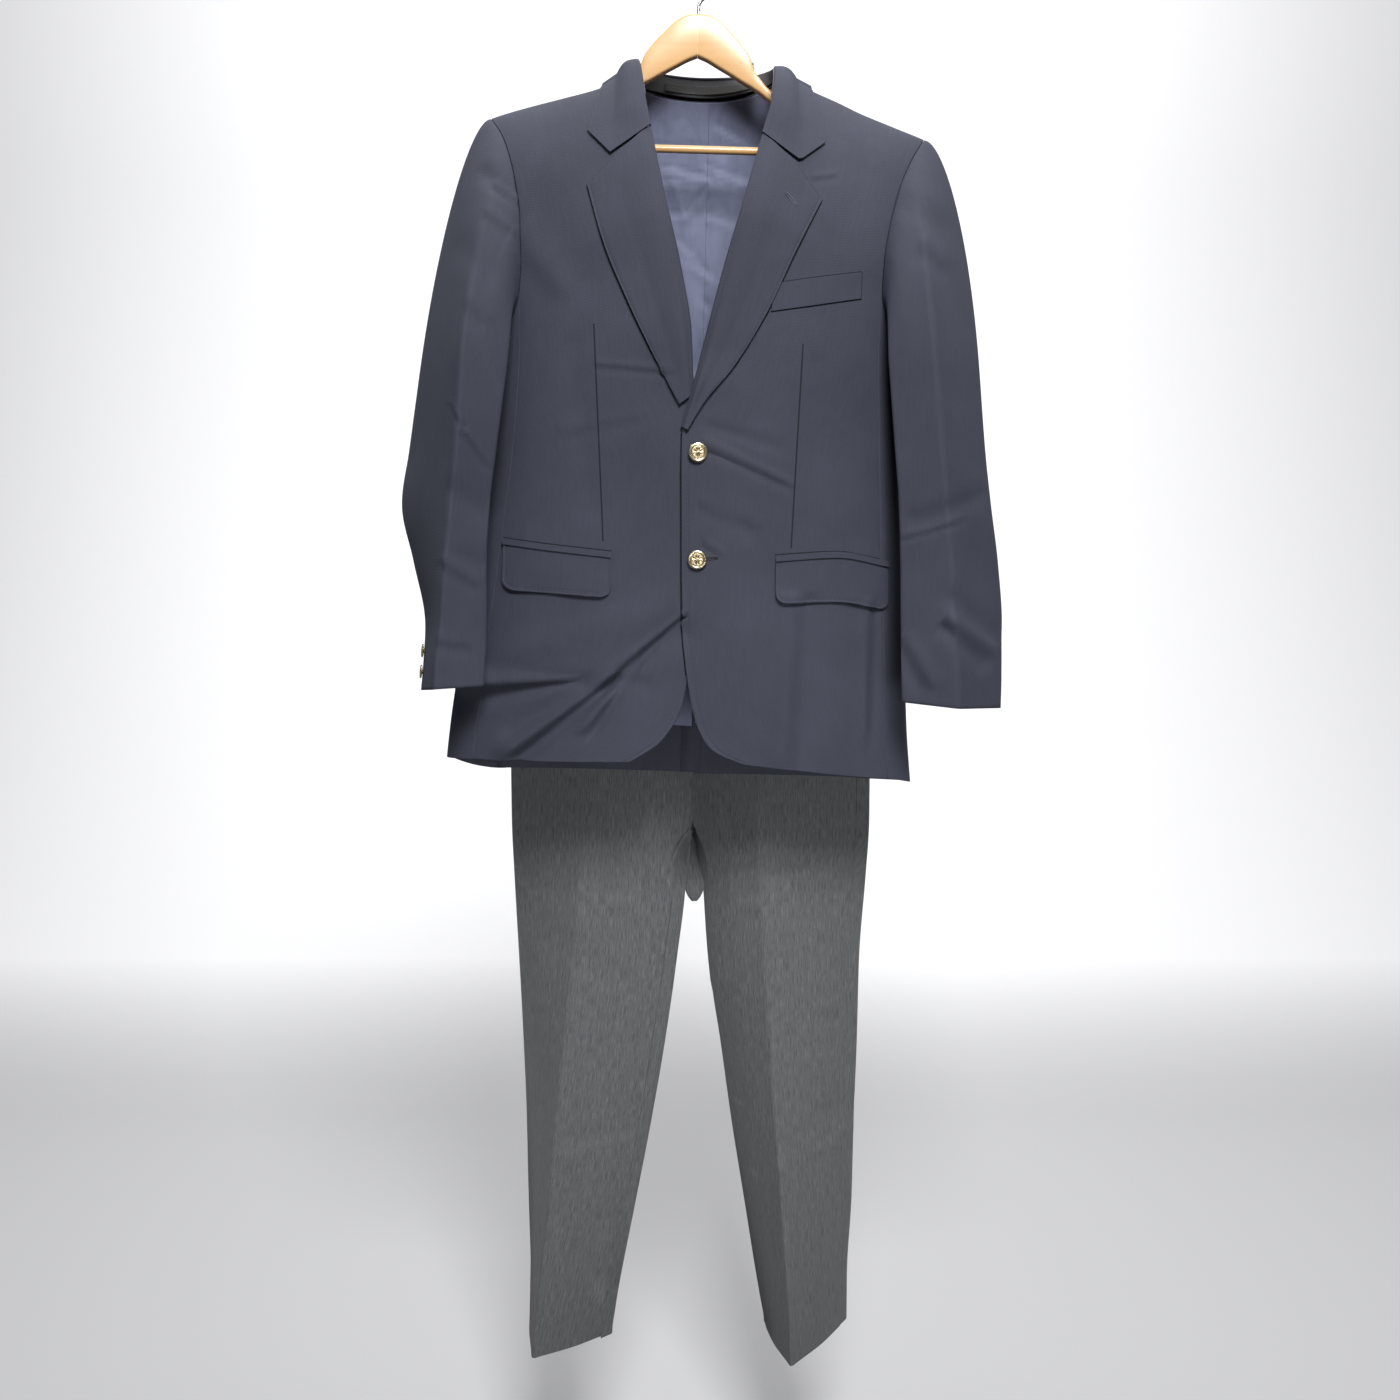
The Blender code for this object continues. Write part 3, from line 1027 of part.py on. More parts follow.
def clip_hanger():
    """Plain steel rod, two clips on the waistband and two wires up to the wooden arms."""
    rod_drop = WAIST_TOP - 2 * SEAM - CLIP_PLATE - CLIP_ROD
    ends = (CLIP_X[0] - CLIP_ROD_PAST, CLIP_X[1] + CLIP_ROD_PAST)
    tube("clip_rod", [(x, CLIP_ROD_Y, -rod_drop) for x in ends], CLIP_ROD, STEEL)
    for name, x in zip(("left", "right"), CLIP_X):
        clip("trouser_clip_" + name, x, rod_drop + CLIP_ROD + SEAM)
    for name, x in zip(("left", "right"), DROP_WIRE_X):
        wood_back = HANGER_WOOD / 2 - HANGER_FORWARD * (x / HANGER_REACH) ** 2
        route = [(wood_back + SEAM, DROP_WIRE_START), *DROP_WIRE_PATH,
                 (CLIP_ROD_Y, rod_drop - CLIP_ROD - SEAM)]
        tube("drop_wire_" + name, [(x, y, -drop) for y, drop in route], DROP_WIRE, STEEL)


def clip(name, x, top):
    """A spring clip: a top plate with a jaw down each side of the band."""
    wide, deep, tall = CLIP_SIZE
    y = CLIP_ROD_Y
    front, back = y - deep / 2, y + deep / 2
    foot, under = -top - tall, -top - CLIP_PLATE
    outline = [(front, -top), (back, -top), (back, foot), (back - CLIP_PLATE, foot),
               (back - CLIP_PLATE, under), (front + CLIP_PLATE, under),
               (front + CLIP_PLATE, foot), (front, foot)]
    rings = np.array([[(x + dx, py, pz) for py, pz in outline] for dx in (-wide / 2, wide / 2)])
    return loft(name, rings, STEEL)


for old in list(bpy.data.objects):
    bpy.data.objects.remove(old, do_unlink=True)

GARMENT = bpy.data.collections.new("School uniform on a hanger")
bpy.context.scene.collection.children.link(GARMENT)

PANELS = []
WOOL = plain_material("Navy worsted", (0.052, 0.056, 0.078), 0.85)
UNDERCOLLAR = plain_material("Charcoal undercollar", (0.036, 0.038, 0.045), 0.9)
LINING = plain_material("Slate blue lining", (0.110, 0.125, 0.185), 0.4)
GREY_WOOL = plain_material("Grey melange", (0.130, 0.135, 0.138), 0.9)
MAPLE = plain_material("Pale maple", (0.83, 0.58, 0.33), 0.45)
BRASS = plain_material("Antique brass", (0.55, 0.42, 0.20), 0.35, 1.0)
STEEL = plain_material("Plated steel", (0.60, 0.60, 0.60), 0.3, 1.0)

for where in (-1, 1):
    front_panel(where)
    back_panel(where)
    side_panel(where)
    lapel(where)
    sleeve(where)
    leg_panel(where, -1)
    leg_panel(where, 1)
collar_leaf()
collar_stand()
patch("flap_left", FLAP_LEFT, FLAP_LIFT, CLOTH, WOOL, 4, True)
patch("flap_right", FLAP_RIGHT, FLAP_LIFT, CLOTH, WOOL, 4, True)
jet("jet_left", FLAP_LEFT)
jet("jet_right", FLAP_RIGHT)
patch("breast_welt", BREAST_WELT, TRIM_LIFT, TRIM_CLOTH, WOOL, 3)
buttons()
waistband()
hanger()
clip_hanger()
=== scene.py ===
"""Looks of a school uniform on its hanger: cloth, lining, sewing, buttons, wood and wire.

Metres, +Z up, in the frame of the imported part: the origin is the inside top of the hook, the
front faces -Y, and left and right are those of a front view. A drop is a distance below the
origin. Each cloth piece is a surface of two parameters with a thin wall behind it.
"""
import math

import bpy
import numpy as np
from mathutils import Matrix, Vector


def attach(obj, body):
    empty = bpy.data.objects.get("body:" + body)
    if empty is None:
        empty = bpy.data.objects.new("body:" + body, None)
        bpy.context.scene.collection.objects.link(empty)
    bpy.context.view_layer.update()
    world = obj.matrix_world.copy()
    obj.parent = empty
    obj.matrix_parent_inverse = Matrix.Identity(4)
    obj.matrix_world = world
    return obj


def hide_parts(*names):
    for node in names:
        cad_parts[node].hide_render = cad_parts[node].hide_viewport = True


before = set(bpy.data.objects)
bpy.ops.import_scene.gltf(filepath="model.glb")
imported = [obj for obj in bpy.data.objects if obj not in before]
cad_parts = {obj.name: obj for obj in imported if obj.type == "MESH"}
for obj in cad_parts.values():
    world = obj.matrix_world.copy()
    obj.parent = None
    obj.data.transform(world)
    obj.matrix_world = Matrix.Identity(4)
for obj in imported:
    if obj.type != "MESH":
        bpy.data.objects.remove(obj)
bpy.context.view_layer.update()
GARMENT = bpy.data.collections.new("School uniform dressed")
bpy.context.scene.collection.children.link(GARMENT)


# The setting: a matte pale sweep of paper, painted darker towards the floor as shade, well behind
# and under the uniform; a soft key panel in front on the right, a narrow one low down, one that
# lights the wall; and the camera.
CAMERA_PLACE = (0, -1.54, -0.5575)
CAMERA_TILT = math.radians(82)
SWEEP_HEX = "#F4F4F5"
# Painted shade: the sweep's colour darkens to this grey at the floor and fades out of it up to the next
# height.
SWEEP_SHADE_HEX = "#C4C4C6"
SWEEP_SHADE_TOP = -1.7
SWEEP_WIDTH = 14.0
SWEEP_FLOOR = -1.80
SWEEP_WALL = 3.6
SWEEP_BEND = 2.4


def linear(code):
    """Linear RGBA of an sRGB hex colour: each channel to the power law of the sRGB curve."""
    value = np.array([int(code[i:i + 2], 16) for i in (1, 3, 5)]) / 255
    value = np.where(value <= 0.04045, value / 12.92, ((value + 0.055) / 1.055) ** 2.4)
    return (*value.tolist(), 1.0)


def add(tree, kind, inputs=None, **settings):
    """Adds a shader node: settings are its own fields, inputs its sockets' values or links."""
    made = tree.nodes.new("ShaderNode" + kind)
    for key, value in settings.items():
        setattr(made, key, value)
    for key, value in (inputs or {}).items():
        if isinstance(value, bpy.types.NodeSocket):
            tree.links.new(value, made.inputs[key])
        else:
            made.inputs[key].default_value = value
    return made


def mixed(tree, share, first, second, mode="MIX"):
    """Colour mix of two colours or links by a share."""
    made = tree.nodes.new("ShaderNodeMix")
    made.data_type = "RGBA"
    made.blend_type = mode
    for socket, value in ((made.inputs[0], share), (made.inputs[6], first), (made.inputs[7], second)):
        if isinstance(value, bpy.types.NodeSocket):
            tree.links.new(value, socket)
        else:
            socket.default_value = value
    return made.outputs[2]


def finish(name, colour, roughness, metallic=0.0, **sockets):
    """A material of one Principled shader; returns it with its node tree and that shader."""
    material = bpy.data.materials.new(name)
    material.use_nodes = True
    tree = material.node_tree
    shader = tree.nodes["Principled BSDF"]
    shader.inputs["Base Color"].default_value = linear(colour)
    shader.inputs["Roughness"].default_value = roughness
    shader.inputs["Metallic"].default_value = metallic
    for key, value in sockets.items():
        shader.inputs[key.replace("_", " ")].default_value = value
    return material, tree, shader


def panel_light(name, place, target, size, power, spread=math.pi):
    """A square soft panel at place, turned to face target; spread is the angle of its beam."""
    lamp = bpy.data.lights.new(name, "AREA")
    lamp.size = size
    lamp.energy = power
    lamp.spread = spread
    thing = bpy.data.objects.new(name, lamp)
    thing.location = place
    thing.rotation_euler = (Vector(target) - Vector(place)).to_track_quat("-Z", "Y").to_euler()
    bpy.context.scene.collection.objects.link(thing)


def mesh_object(name, verts, faces, material, smooth=True):
    """A mesh object at the origin from arrays of points and of faces."""
    mesh = bpy.data.meshes.new(name)
    mesh.from_pydata(np.asarray(verts).tolist(), [], [tuple(face) for face in np.asarray(faces).tolist()])
    mesh.materials.append(material)
    if smooth:
        mesh.shade_smooth()
    thing = bpy.data.objects.new(name, mesh)
    GARMENT.objects.link(thing)
    return thing


def grid_faces(rows, cols, closed=False):
    """Quads of a grid of points numbered row by row; closed joins the last column to the first."""
    i, j = np.meshgrid(np.arange(rows - 1), np.arange(cols if closed else cols - 1), indexing="ij")
    k = (j + 1) % cols
    return np.stack([i * cols + j, i * cols + k, (i + 1) * cols + k, (i + 1) * cols + j], -1).reshape(-1, 4)


def paper_sweep():
    """Profile of floor, quarter circle and wall in Y and Z, carried along X, in matte paper with painted
    shade that darkens it towards the floor.
    """
    turn = np.linspace(0, math.pi / 2, 24)
    y = np.concatenate([[-5.0], SWEEP_WALL - SWEEP_BEND + SWEEP_BEND * np.sin(turn), [SWEEP_WALL]])
    z = np.concatenate([[SWEEP_FLOOR], SWEEP_FLOOR + SWEEP_BEND * (1 - np.cos(turn)), [3.5]])
    x = np.array([-SWEEP_WIDTH / 2, SWEEP_WIDTH / 2])
    verts = np.stack([np.broadcast_to(x, (len(y), 2)), np.stack([y, y], 1), np.stack([z, z], 1)], -1)
    paper, tree, shader = finish("Matte paper sweep", SWEEP_HEX, 0.95)
    # Painted shade: the paper's colour runs from the grey at the floor up to its pale colour at the height
    # where the shade ends, for light that falls off downwards.
    place = add(tree, "NewGeometry").outputs["Position"]
    height = add(tree, "SeparateXYZ", {"Vector": place}).outputs["Z"]
    span = {"Value": height, "From Min": SWEEP_FLOOR, "From Max": SWEEP_SHADE_TOP}
    share = add(tree, "MapRange", span).outputs[0]
    tree.links.new(mixed(tree, share, linear(SWEEP_SHADE_HEX), linear(SWEEP_HEX)), shader.inputs["Base Color"])
    sweep = mesh_object("paper_sweep", verts.reshape(-1, 3), grid_faces(len(y), 2), paper)
    sweep.visible_diffuse = False
    sweep.visible_glossy = False


paper_sweep()
panel_light("key_panel", (0.28, -2.0, 1.15), (0, 0, -0.6), 0.8, 92)
panel_light("low_panel", (0.5, -2.1, -1.4), (0, 0.1, -1.15), 0.8, 1.7, math.radians(38))
panel_light("wall_panel", (0, 0.9, 1.6), (0, 3.5, -0.4), 3.2, 128)

world = bpy.data.worlds.new("Pale studio")
world.use_nodes = True
world.node_tree.nodes["Background"].inputs["Color"].default_value = linear("#F2F3F6")
world.node_tree.nodes["Background"].inputs["Strength"].default_value = 0.16
bpy.context.scene.world = world
bpy.context.scene.view_settings.view_transform = "Standard"

lens = bpy.data.cameras.new("view")
lens.lens = 36
lens.sensor_width = 36
camera = bpy.data.objects.new("camera", lens)
camera.location = CAMERA_PLACE
camera.rotation_euler = (CAMERA_TILT, 0, 0)
bpy.context.scene.collection.objects.link(camera)
bpy.context.scene.camera = camera


# The jacket's form: one flattened tube that hangs from the shoulders, wider and squarer than
# an ellipse. Every panel is a part of it. A panel is worsted, a smooth fine wool of hard-twisted
# yarn, backed and pressed, so it keeps large soft folds and has no fine crumple.
CLOTH = 0.0018
SEAM = 0.0001
BODY_SQUARENESS = 2.4
FRONT_SLOPE = (0.170, 1.6)
BACK_SLOPE = (0.100, 2.2)
SIDE_SEAM_TOP_Q = 0.70
SIDE_SEAM_FRONT = 0.87
SIDE_SEAM_BACK = 0.80
SIDE_SEAM_REACH = 0.20
ARMHOLE_SHARE = 0.36
EDGE_BLEND = 0.25
NECK_X = {"left": -0.078, "right": 0.084}


def columns(names, rows):
    """A short table as one array per named column."""
    return dict(zip(names, np.array(rows, float).T))


BODY = columns(("drop", "left", "right", "front", "back"), [
    (0.10, 0.236, 0.244, 0.078, 0.052),
    (0.20, 0.232, 0.240, 0.085, 0.058),
    (0.30, 0.226, 0.228, 0.090, 0.060),
    (0.40, 0.221, 0.217, 0.091, 0.060),
    (0.50, 0.226, 0.216, 0.088, 0.057),
    (0.60, 0.242, 0.219, 0.086, 0.055),
    (0.70, 0.260, 0.2245, 0.086, 0.054),
    (0.80, 0.277, 0.229, 0.084, 0.053),
    (0.88, 0.287, 0.236, 0.081, 0.052)])

SHOULDER = columns(("x", "drop"), [
    (-0.240, 0.168), (-0.219, 0.158), (-0.181, 0.147), (-0.144, 0.138), (-0.104, 0.1275),
    (-0.078, 0.116), (0.000, 0.101), (0.084, 0.116), (0.118, 0.131), (0.144, 0.142),
    (0.168, 0.153), (0.204, 0.167), (0.235, 0.179), (0.250, 0.186)])

ARMHOLE_FRONT = columns(("q", "left", "left_drop", "right", "right_drop"), [
    (0.00, 0.219, 0.158, 0.235, 0.179), (0.12, 0.204, 0.182, 0.219, 0.206),
    (0.25, 0.191, 0.223, 0.206, 0.235), (0.40, 0.184, 0.268, 0.196, 0.270),
    (0.55, 0.183, 0.307, 0.189, 0.308), (0.70, 0.186, 0.345, 0.187, 0.345),
    (0.85, 0.201, 0.378, 0.198, 0.378), (1.00, 0.2212, 0.395, 0.2164, 0.396)])

ARMHOLE_BACK = columns(("q", "left", "left_drop", "right", "right_drop"), [
    (0.00, 0.219, 0.158, 0.235, 0.179), (0.12, 0.209, 0.186, 0.225, 0.208),
    (0.25, 0.201, 0.225, 0.214, 0.238), (0.40, 0.197, 0.268, 0.206, 0.272),
    (0.55, 0.196, 0.307, 0.201, 0.310), (0.70, 0.198, 0.345, 0.200, 0.347),
    (0.85, 0.208, 0.377, 0.207, 0.378), (1.00, 0.2212, 0.395, 0.2164, 0.396)])

HEM = columns(("u", "left", "right"), [
    (0.0, 0.831, 0.853), (0.5, 0.838, 0.866), (1.0, 0.857, 0.869), (2.0, 0.865, 0.867)])

FRONT_FOLDS = columns(("x0", "drop0", "x1", "drop1", "width", "depth"), [
    (-0.020, 0.690, -0.200, 0.800, 0.013, -0.0055),
    (-0.060, 0.745, -0.215, 0.745, 0.010, -0.0035),
    (-0.030, 0.665, -0.200, 0.715, 0.016, 0.0030),
    (0.010, 0.480, 0.075, 0.500, 0.007, -0.0022),
    (0.020, 0.560, 0.055, 0.585, 0.008, -0.0015),
    (-0.165, 0.250, -0.120, 0.330, 0.020, -0.0030),
    (0.165, 0.225, 0.140, 0.290, 0.018, -0.0025),
    (-0.130, 0.400, -0.110, 0.560, 0.014, -0.0020),
    (0.120, 0.420, 0.105, 0.570, 0.014, -0.0020)])

FRONT_CREASES = columns(("x0", "drop0", "x1", "drop1", "near", "far", "low", "high"), [
    (-0.017, 0.673, -0.107, 0.751, 0.0020, 0.0065, 0.0018, 0.0060),
    (-0.063, 0.720, -0.122, 0.800, 0.0020, 0.0060, 0.0020, 0.0044),
    (-0.088, 0.737, -0.208, 0.830, 0.0035, 0.0090, 0.0032, 0.0086),
    (-0.134, 0.742, -0.264, 0.759, 0.0016, 0.0120, 0.0020, 0.0117),
    (0.004, 0.499, 0.095, 0.541, 0.0040, 0.0035, 0.0016, 0.0013),
    (0.003, 0.598, 0.023, 0.612, 0.0030, 0.0030, 0.0012, 0.0008),
    (-0.106, 0.419, -0.028, 0.426, 0.0030, 0.0030, 0.0008, 0.0009),
    (-0.143, 0.487, -0.061, 0.471, 0.0060, 0.0050, 0.0005, 0.0004),
    (0.000, 0.559, 0.062, 0.587, 0.0060, 0.0080, 0.0008, 0.0008),
    (0.104, 0.657, 0.097, 0.839, 0.0090, 0.0120, 0.0025, 0.0040),
    (0.181, 0.661, 0.180, 0.813, 0.0050, 0.0050, 0.0020, 0.0024),
    (-0.195, 0.288, -0.141, 0.354, 0.0120, 0.0120, 0.0012, 0.0012),
    (0.138, 0.229, 0.112, 0.234, 0.0030, 0.0030, 0.0009, 0.0009)])

BACK_FOLDS = columns(("x0", "drop0", "x1", "drop1", "width", "depth"), [
    (-0.150, 0.230, -0.080, 0.330, 0.020, -0.0030),
    (0.155, 0.250, 0.085, 0.340, 0.020, -0.0030),
    (-0.060, 0.520, -0.150, 0.570, 0.014, -0.0025),
    (0.050, 0.540, 0.160, 0.590, 0.016, -0.0025)])


def smooth(table, key, at):
    """Monotone cubic through a column, over the table's first column."""
    x = table[next(iter(table))]
    y = table[key]
    at = np.clip(np.asarray(at, float), x[0], x[-1])
    step = np.diff(x)
    rate = np.diff(y) / step
    slope = np.zeros_like(y)
    same = rate[:-1] * rate[1:] > 0
    safe = np.where(same, rate[:-1] + rate[1:], 1.0)
    slope[1:-1] = np.where(same, 2 * rate[:-1] * rate[1:] / safe, 0.0)
    slope[0] = rate[0]
    slope[-1] = rate[-1]
    i = np.clip(np.searchsorted(x, at, side="right") - 1, 0, len(step) - 1)
    t = (at - x[i]) / step[i]
    h = step[i]
    return (y[i] * (1 + 2 * t) * (1 - t) ** 2 + slope[i] * h * t * (1 - t) ** 2
            + y[i + 1] * t * t * (3 - 2 * t) + slope[i + 1] * h * t * t * (t - 1))


def ease(value):
    """0 below 0, 1 above 1, with soft ends."""
    value = np.clip(value, 0.0, 1.0)
    return value * value * (3 - 2 * value)


def relief(folds, x, drop):
    """Sum of the folds: a soft trough or ridge along each segment."""
    total = np.zeros(np.broadcast(x, drop).shape)
    for x0, d0, x1, d1, width, depth in zip(*folds.values()):
        along = (x1 - x0) ** 2 + (d1 - d0) ** 2
        t = np.clip(((x - x0) * (x1 - x0) + (drop - d0) * (d1 - d0)) / along, 0, 1)
        away = np.hypot(x - x0 - t * (x1 - x0), drop - d0 - t * (d1 - d0))
        total += depth * np.exp(-(away / width) ** 2)
    return total


def creases(table, x, drop):
    """Sum of sharp creases: a ridge above each line and a trough below it, growing along it."""
    total = np.zeros(np.broadcast(x, drop).shape)
    for x0, d0, x1, d1, near, far, low, high in zip(*table.values()):
        length = math.hypot(x1 - x0, d1 - d0)
        along = ((x - x0) * (x1 - x0) + (drop - d0) * (d1 - d0)) / length ** 2
        down = 1 if x1 > x0 else -1
        across = ((drop - d0) * (x1 - x0) - (x - x0) * (d1 - d0)) / length * down
        share = np.clip(along, 0, 1)
        wide = near + (far - near) * share
        r = across / wide
        ends = ease(1 + along / 0.06) * ease((1.10 - along) / 0.22)
        total -= (low + (high - low) * share) * r * np.exp(0.5 - r * r / 2) * ends
    return total


def half_width(x, drop):
    return np.where(np.asarray(x) < 0, smooth(BODY, "left", drop), smooth(BODY, "right", drop))


def rounding(below, slope):
    """Depth share at a distance below the shoulder line."""
    reach, power = slope
    rest = 1 - np.clip(below / reach, 0, 1)
    return (1 - rest ** power) ** (1 / power)


def body_y(x, drop, face):
    """Depth of the jacket's outer surface on its front (face -1) or back (face 1)."""
    share = np.clip(np.abs(x) / half_width(x, drop), 0, 1)
    across = (1 - share ** BODY_SQUARENESS) ** (1 / BODY_SQUARENESS)
    below = drop - smooth(SHOULDER, "drop", x)
    if face < 0:
        deep = smooth(BODY, "front", drop) * rounding(below, FRONT_SLOPE)
        folds = relief(FRONT_FOLDS, x, drop) * 0.6 + creases(FRONT_CREASES, x, drop)
        return -deep * across - folds * rounding(below, FRONT_SLOPE)
    deep = smooth(BODY, "back", drop) * rounding(below, BACK_SLOPE)
    return deep * across + relief(BACK_FOLDS, x, drop) * rounding(below, BACK_SLOPE)


def body_normal(x, drop, face):
    """Outward normal of the front or back from the slopes of its depth."""
    tiny = 0.0004
    over = (body_y(x + tiny, drop, face) - body_y(x - tiny, drop, face)) / (2 * tiny)
    down = (body_y(x, drop + tiny, face) - body_y(x, drop - tiny, face)) / (2 * tiny)
    normal = np.stack([-face * over, np.full_like(over, face), face * down], -1)
    return normal / np.linalg.norm(normal, axis=-1, keepdims=True)


def body_point(x, drop, face, lift=0.0):
    """Points of the front or back, moved out along the surface's normal."""
    x, drop, lift = np.broadcast_arrays(x, drop, lift)
    y = body_y(x, drop, face)
    normal = body_normal(x, drop, face)
    return np.stack([x, y, -drop], -1) + normal * lift[..., None]


def armhole(side, a):
    """Points, x and drop of the armhole seam: a is 0 and 2 at the shoulder tip, 1 under the arm."""
    q = np.where(a <= 1, a, 2 - a)
    name = "left" if side < 0 else "right"
    front = (smooth(ARMHOLE_FRONT, name, q), smooth(ARMHOLE_FRONT, name + "_drop", q))
    back = (smooth(ARMHOLE_BACK, name, q), smooth(ARMHOLE_BACK, name + "_drop", q))
    x = side * np.where(a <= 1, front[0], back[0])
    drop = np.where(a <= 1, front[1], back[1])
    y = np.where(a <= 1, body_y(x, drop, -1), body_y(x, drop, 1))
    return np.stack([x, y, -drop], -1), x, drop


def seam_share(side, drop, face):
    """Share of the half width at which the side seam runs down the body."""
    table = ARMHOLE_FRONT if face < 0 else ARMHOLE_BACK
    name = "left" if side < 0 else "right"
    top = smooth(table, name + "_drop", SIDE_SEAM_TOP_Q)
    start = smooth(table, name, SIDE_SEAM_TOP_Q) / half_width(side, top)
    end = SIDE_SEAM_FRONT if face < 0 else SIDE_SEAM_BACK
    return start + (end - start) * ease((drop - top) / SIDE_SEAM_REACH)


def surface_normal(points, flip):
    """Grid normals from central differences."""
    along = np.gradient(points, axis=0)
    across = np.gradient(points, axis=1)
    normal = np.cross(along, across) * (-1 if flip else 1)
    return normal / np.maximum(np.linalg.norm(normal, axis=-1, keepdims=True), 1e-12)


def body_angle(share):
    """Angle round the body's section, 0 at centre front, at a share of the half width."""
    return np.arcsin(np.clip(share, 0, 1) ** (BODY_SQUARENESS / 2))


def ring_point(side, angle, drop):
    """Point on the body's section at an angle from centre front."""
    power = 2 / BODY_SQUARENESS
    x = side * half_width(side, drop) * np.abs(np.sin(angle)) ** power
    reach = np.where(angle < math.pi / 2, -smooth(BODY, "front", drop), smooth(BODY, "back", drop))
    y = reach * np.abs(np.cos(angle)) ** power
    folds = relief(FRONT_FOLDS, x, drop) * 0.6 + creases(FRONT_CREASES, x, drop)
    y -= np.where(angle < math.pi / 2, folds, 0.0)
    y += np.where(angle < math.pi / 2, 0.0, relief(BACK_FOLDS, x, drop))
    return np.stack([x, y, -np.broadcast_to(drop, x.shape)], -1)


def top_fade(v):
    """1 at a panel's top row, 0 from EDGE_BLEND of its length down."""
    return np.clip(1 - v / EDGE_BLEND, 0, 1) ** 2


CUT_NEAR = (0.0, 0.0006, 0.0014, 0.0020, 0.0026, 0.0036)

# Rows and columns of each cloth mesh: the length that they divide and their widest step.
MESH = {
    "back_down": (0.75, 0.0052), "back_across": (0.20, 0.0044),
    "side_down": (0.47, 0.0055), "side_across": (0.06, 0.0040),
    "front_down": (0.76, 0.0029), "front_across": (0.20, 0.0026),
    "lapel_down": (0.30, 0.0042), "lapel_across": (0.062, 0.0034),
    "collar_along": (0.60, 0.0048), "collar_across": (0.055, 0.0036),
    "stand_across": (0.03, 0.0040), "loop_across": (0.012, 0.0020),
    "leg_down": (0.83, 0.0048), "leg_across": (0.20, 0.0030)}


def graded(length, step, near=CUT_NEAR):
    """Shares 0 to 1 of a length: fine rows at the distances near from both ends, then even steps."""
    near = np.array(near) / length
    count = max(2, int(round((1 - 2 * near[-1]) * length / step)))
    middle = np.linspace(near[-1], 1 - near[-1], count + 1)[1:-1]
    return np.concatenate([near, middle, (1 - near)[::-1]])


def arc(points, axis):
    """Length run along one axis of a grid of points."""
    steps = np.linalg.norm(np.diff(points, axis=axis), axis=-1)
    run = np.cumsum(steps, axis=axis)
    return np.insert(run, 0, 0.0, axis=axis)


def rim_loop(rows, cols):
    """Indices of a grid's border, once round: first row, last column, last row back, first column."""
    numbers = np.arange(rows * cols).reshape(rows, cols)
    return np.concatenate([numbers[0], numbers[1:, -1], numbers[-1, -2::-1], numbers[-2:0:-1, 0]])


def pulled_in(points, amount):
    """The same grid with its four borders moved inwards by a small amount."""
    moved = points.copy()
    for axis in (0, 1):
        near, far = np.take(points, 0, axis), np.take(points, 1, axis)
        last, before = np.take(points, -1, axis), np.take(points, -2, axis)
        for place, step in ((0, far - near), (-1, before - last)):
            size = np.maximum(np.linalg.norm(step, axis=-1, keepdims=True), 1e-9)
            shift = step / size * np.minimum(amount, 0.45 * size)
            if axis == 0:
                moved[place] += shift
            else:
                moved[:, place] += shift
    return moved


def shell(name, points, normal, thickness, material):
    """Cloth wall: face = P(u, v), back = P - thickness * N, joined by a half-round rim."""
    rows, cols = points.shape[:2]
    count = rows * cols
    back = points - normal * thickness
    rim = rim_loop(rows, cols)
    middle = ((points + back) / 2).reshape(-1, 3)[rim]
    pull = 0.12 * thickness
    verts = np.concatenate([pulled_in(points, pull).reshape(-1, 3),
                            pulled_in(back, pull).reshape(-1, 3), middle])
    face = grid_faces(rows, cols)
    after = np.roll(rim, -1)
    mid = 2 * count + np.arange(len(rim))
    mid_after = np.roll(mid, -1)
    faces = np.concatenate([face, count + face[:, ::-1],
                            np.stack([after, rim, mid, mid_after], -1),
                            np.stack([mid_after, mid, count + rim, count + after], -1)])
    down = points[-1, cols // 2] - points[0, cols // 2]
    first = np.cross(down, points[rows // 2, -1] - points[rows // 2, 0])
    if np.dot(first, normal[rows // 2, cols // 2]) > 0:
        faces = faces[:, ::-1]
    thing = mesh_object(name, verts, faces, material)
    flat = np.stack([arc(points, 1), -arc(points, 0)], -1).reshape(-1, 2)
    uv = np.concatenate([flat, flat, flat[rim]])
    layer = thing.data.uv_layers.new(name="cloth")
    corner = np.empty(len(thing.data.loops), int)
    thing.data.loops.foreach_get("vertex_index", corner)
    layer.data.foreach_set("uv", uv[corner].ravel())
    return thing


def allowance(name, edge, normal, across, thickness, material, reach=0.005):
    """Seam allowance: a strip along a seam's edge, behind both pieces, that reaches past it."""
    across = across / np.linalg.norm(across, axis=-1, keepdims=True)
    inside = edge - normal * (thickness + 0.0004)
    strip = np.stack([inside - across * reach, inside, inside + across * reach], 1)
    piece = shell(name, strip, np.repeat(normal[:, None], 3, 1), 0.0005, material)
    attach(piece, "root")


def cut_piece(piece, node, points):
    """Puts a cloth piece on the part's body in place of its CAD node, which it hides; the flat cut along its
    threads is measured but not kept.
    """
    width, length = arc(points, 1)[:, -1].max(), arc(points, 0)[-1].max()
    u = np.diff(points, axis=1)[:-1]
    v = np.diff(points, axis=0)[:, :-1]
    area = np.linalg.norm(np.cross(u, v), axis=-1).sum()
    area = min(area, width * length)
    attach(piece, "root")
    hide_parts(node)
    return piece


def trough(distance, at, width, depth):
    """Depth of a pressed line that runs at a distance from an edge."""
    return depth * np.exp(-((distance - at) / width) ** 2)


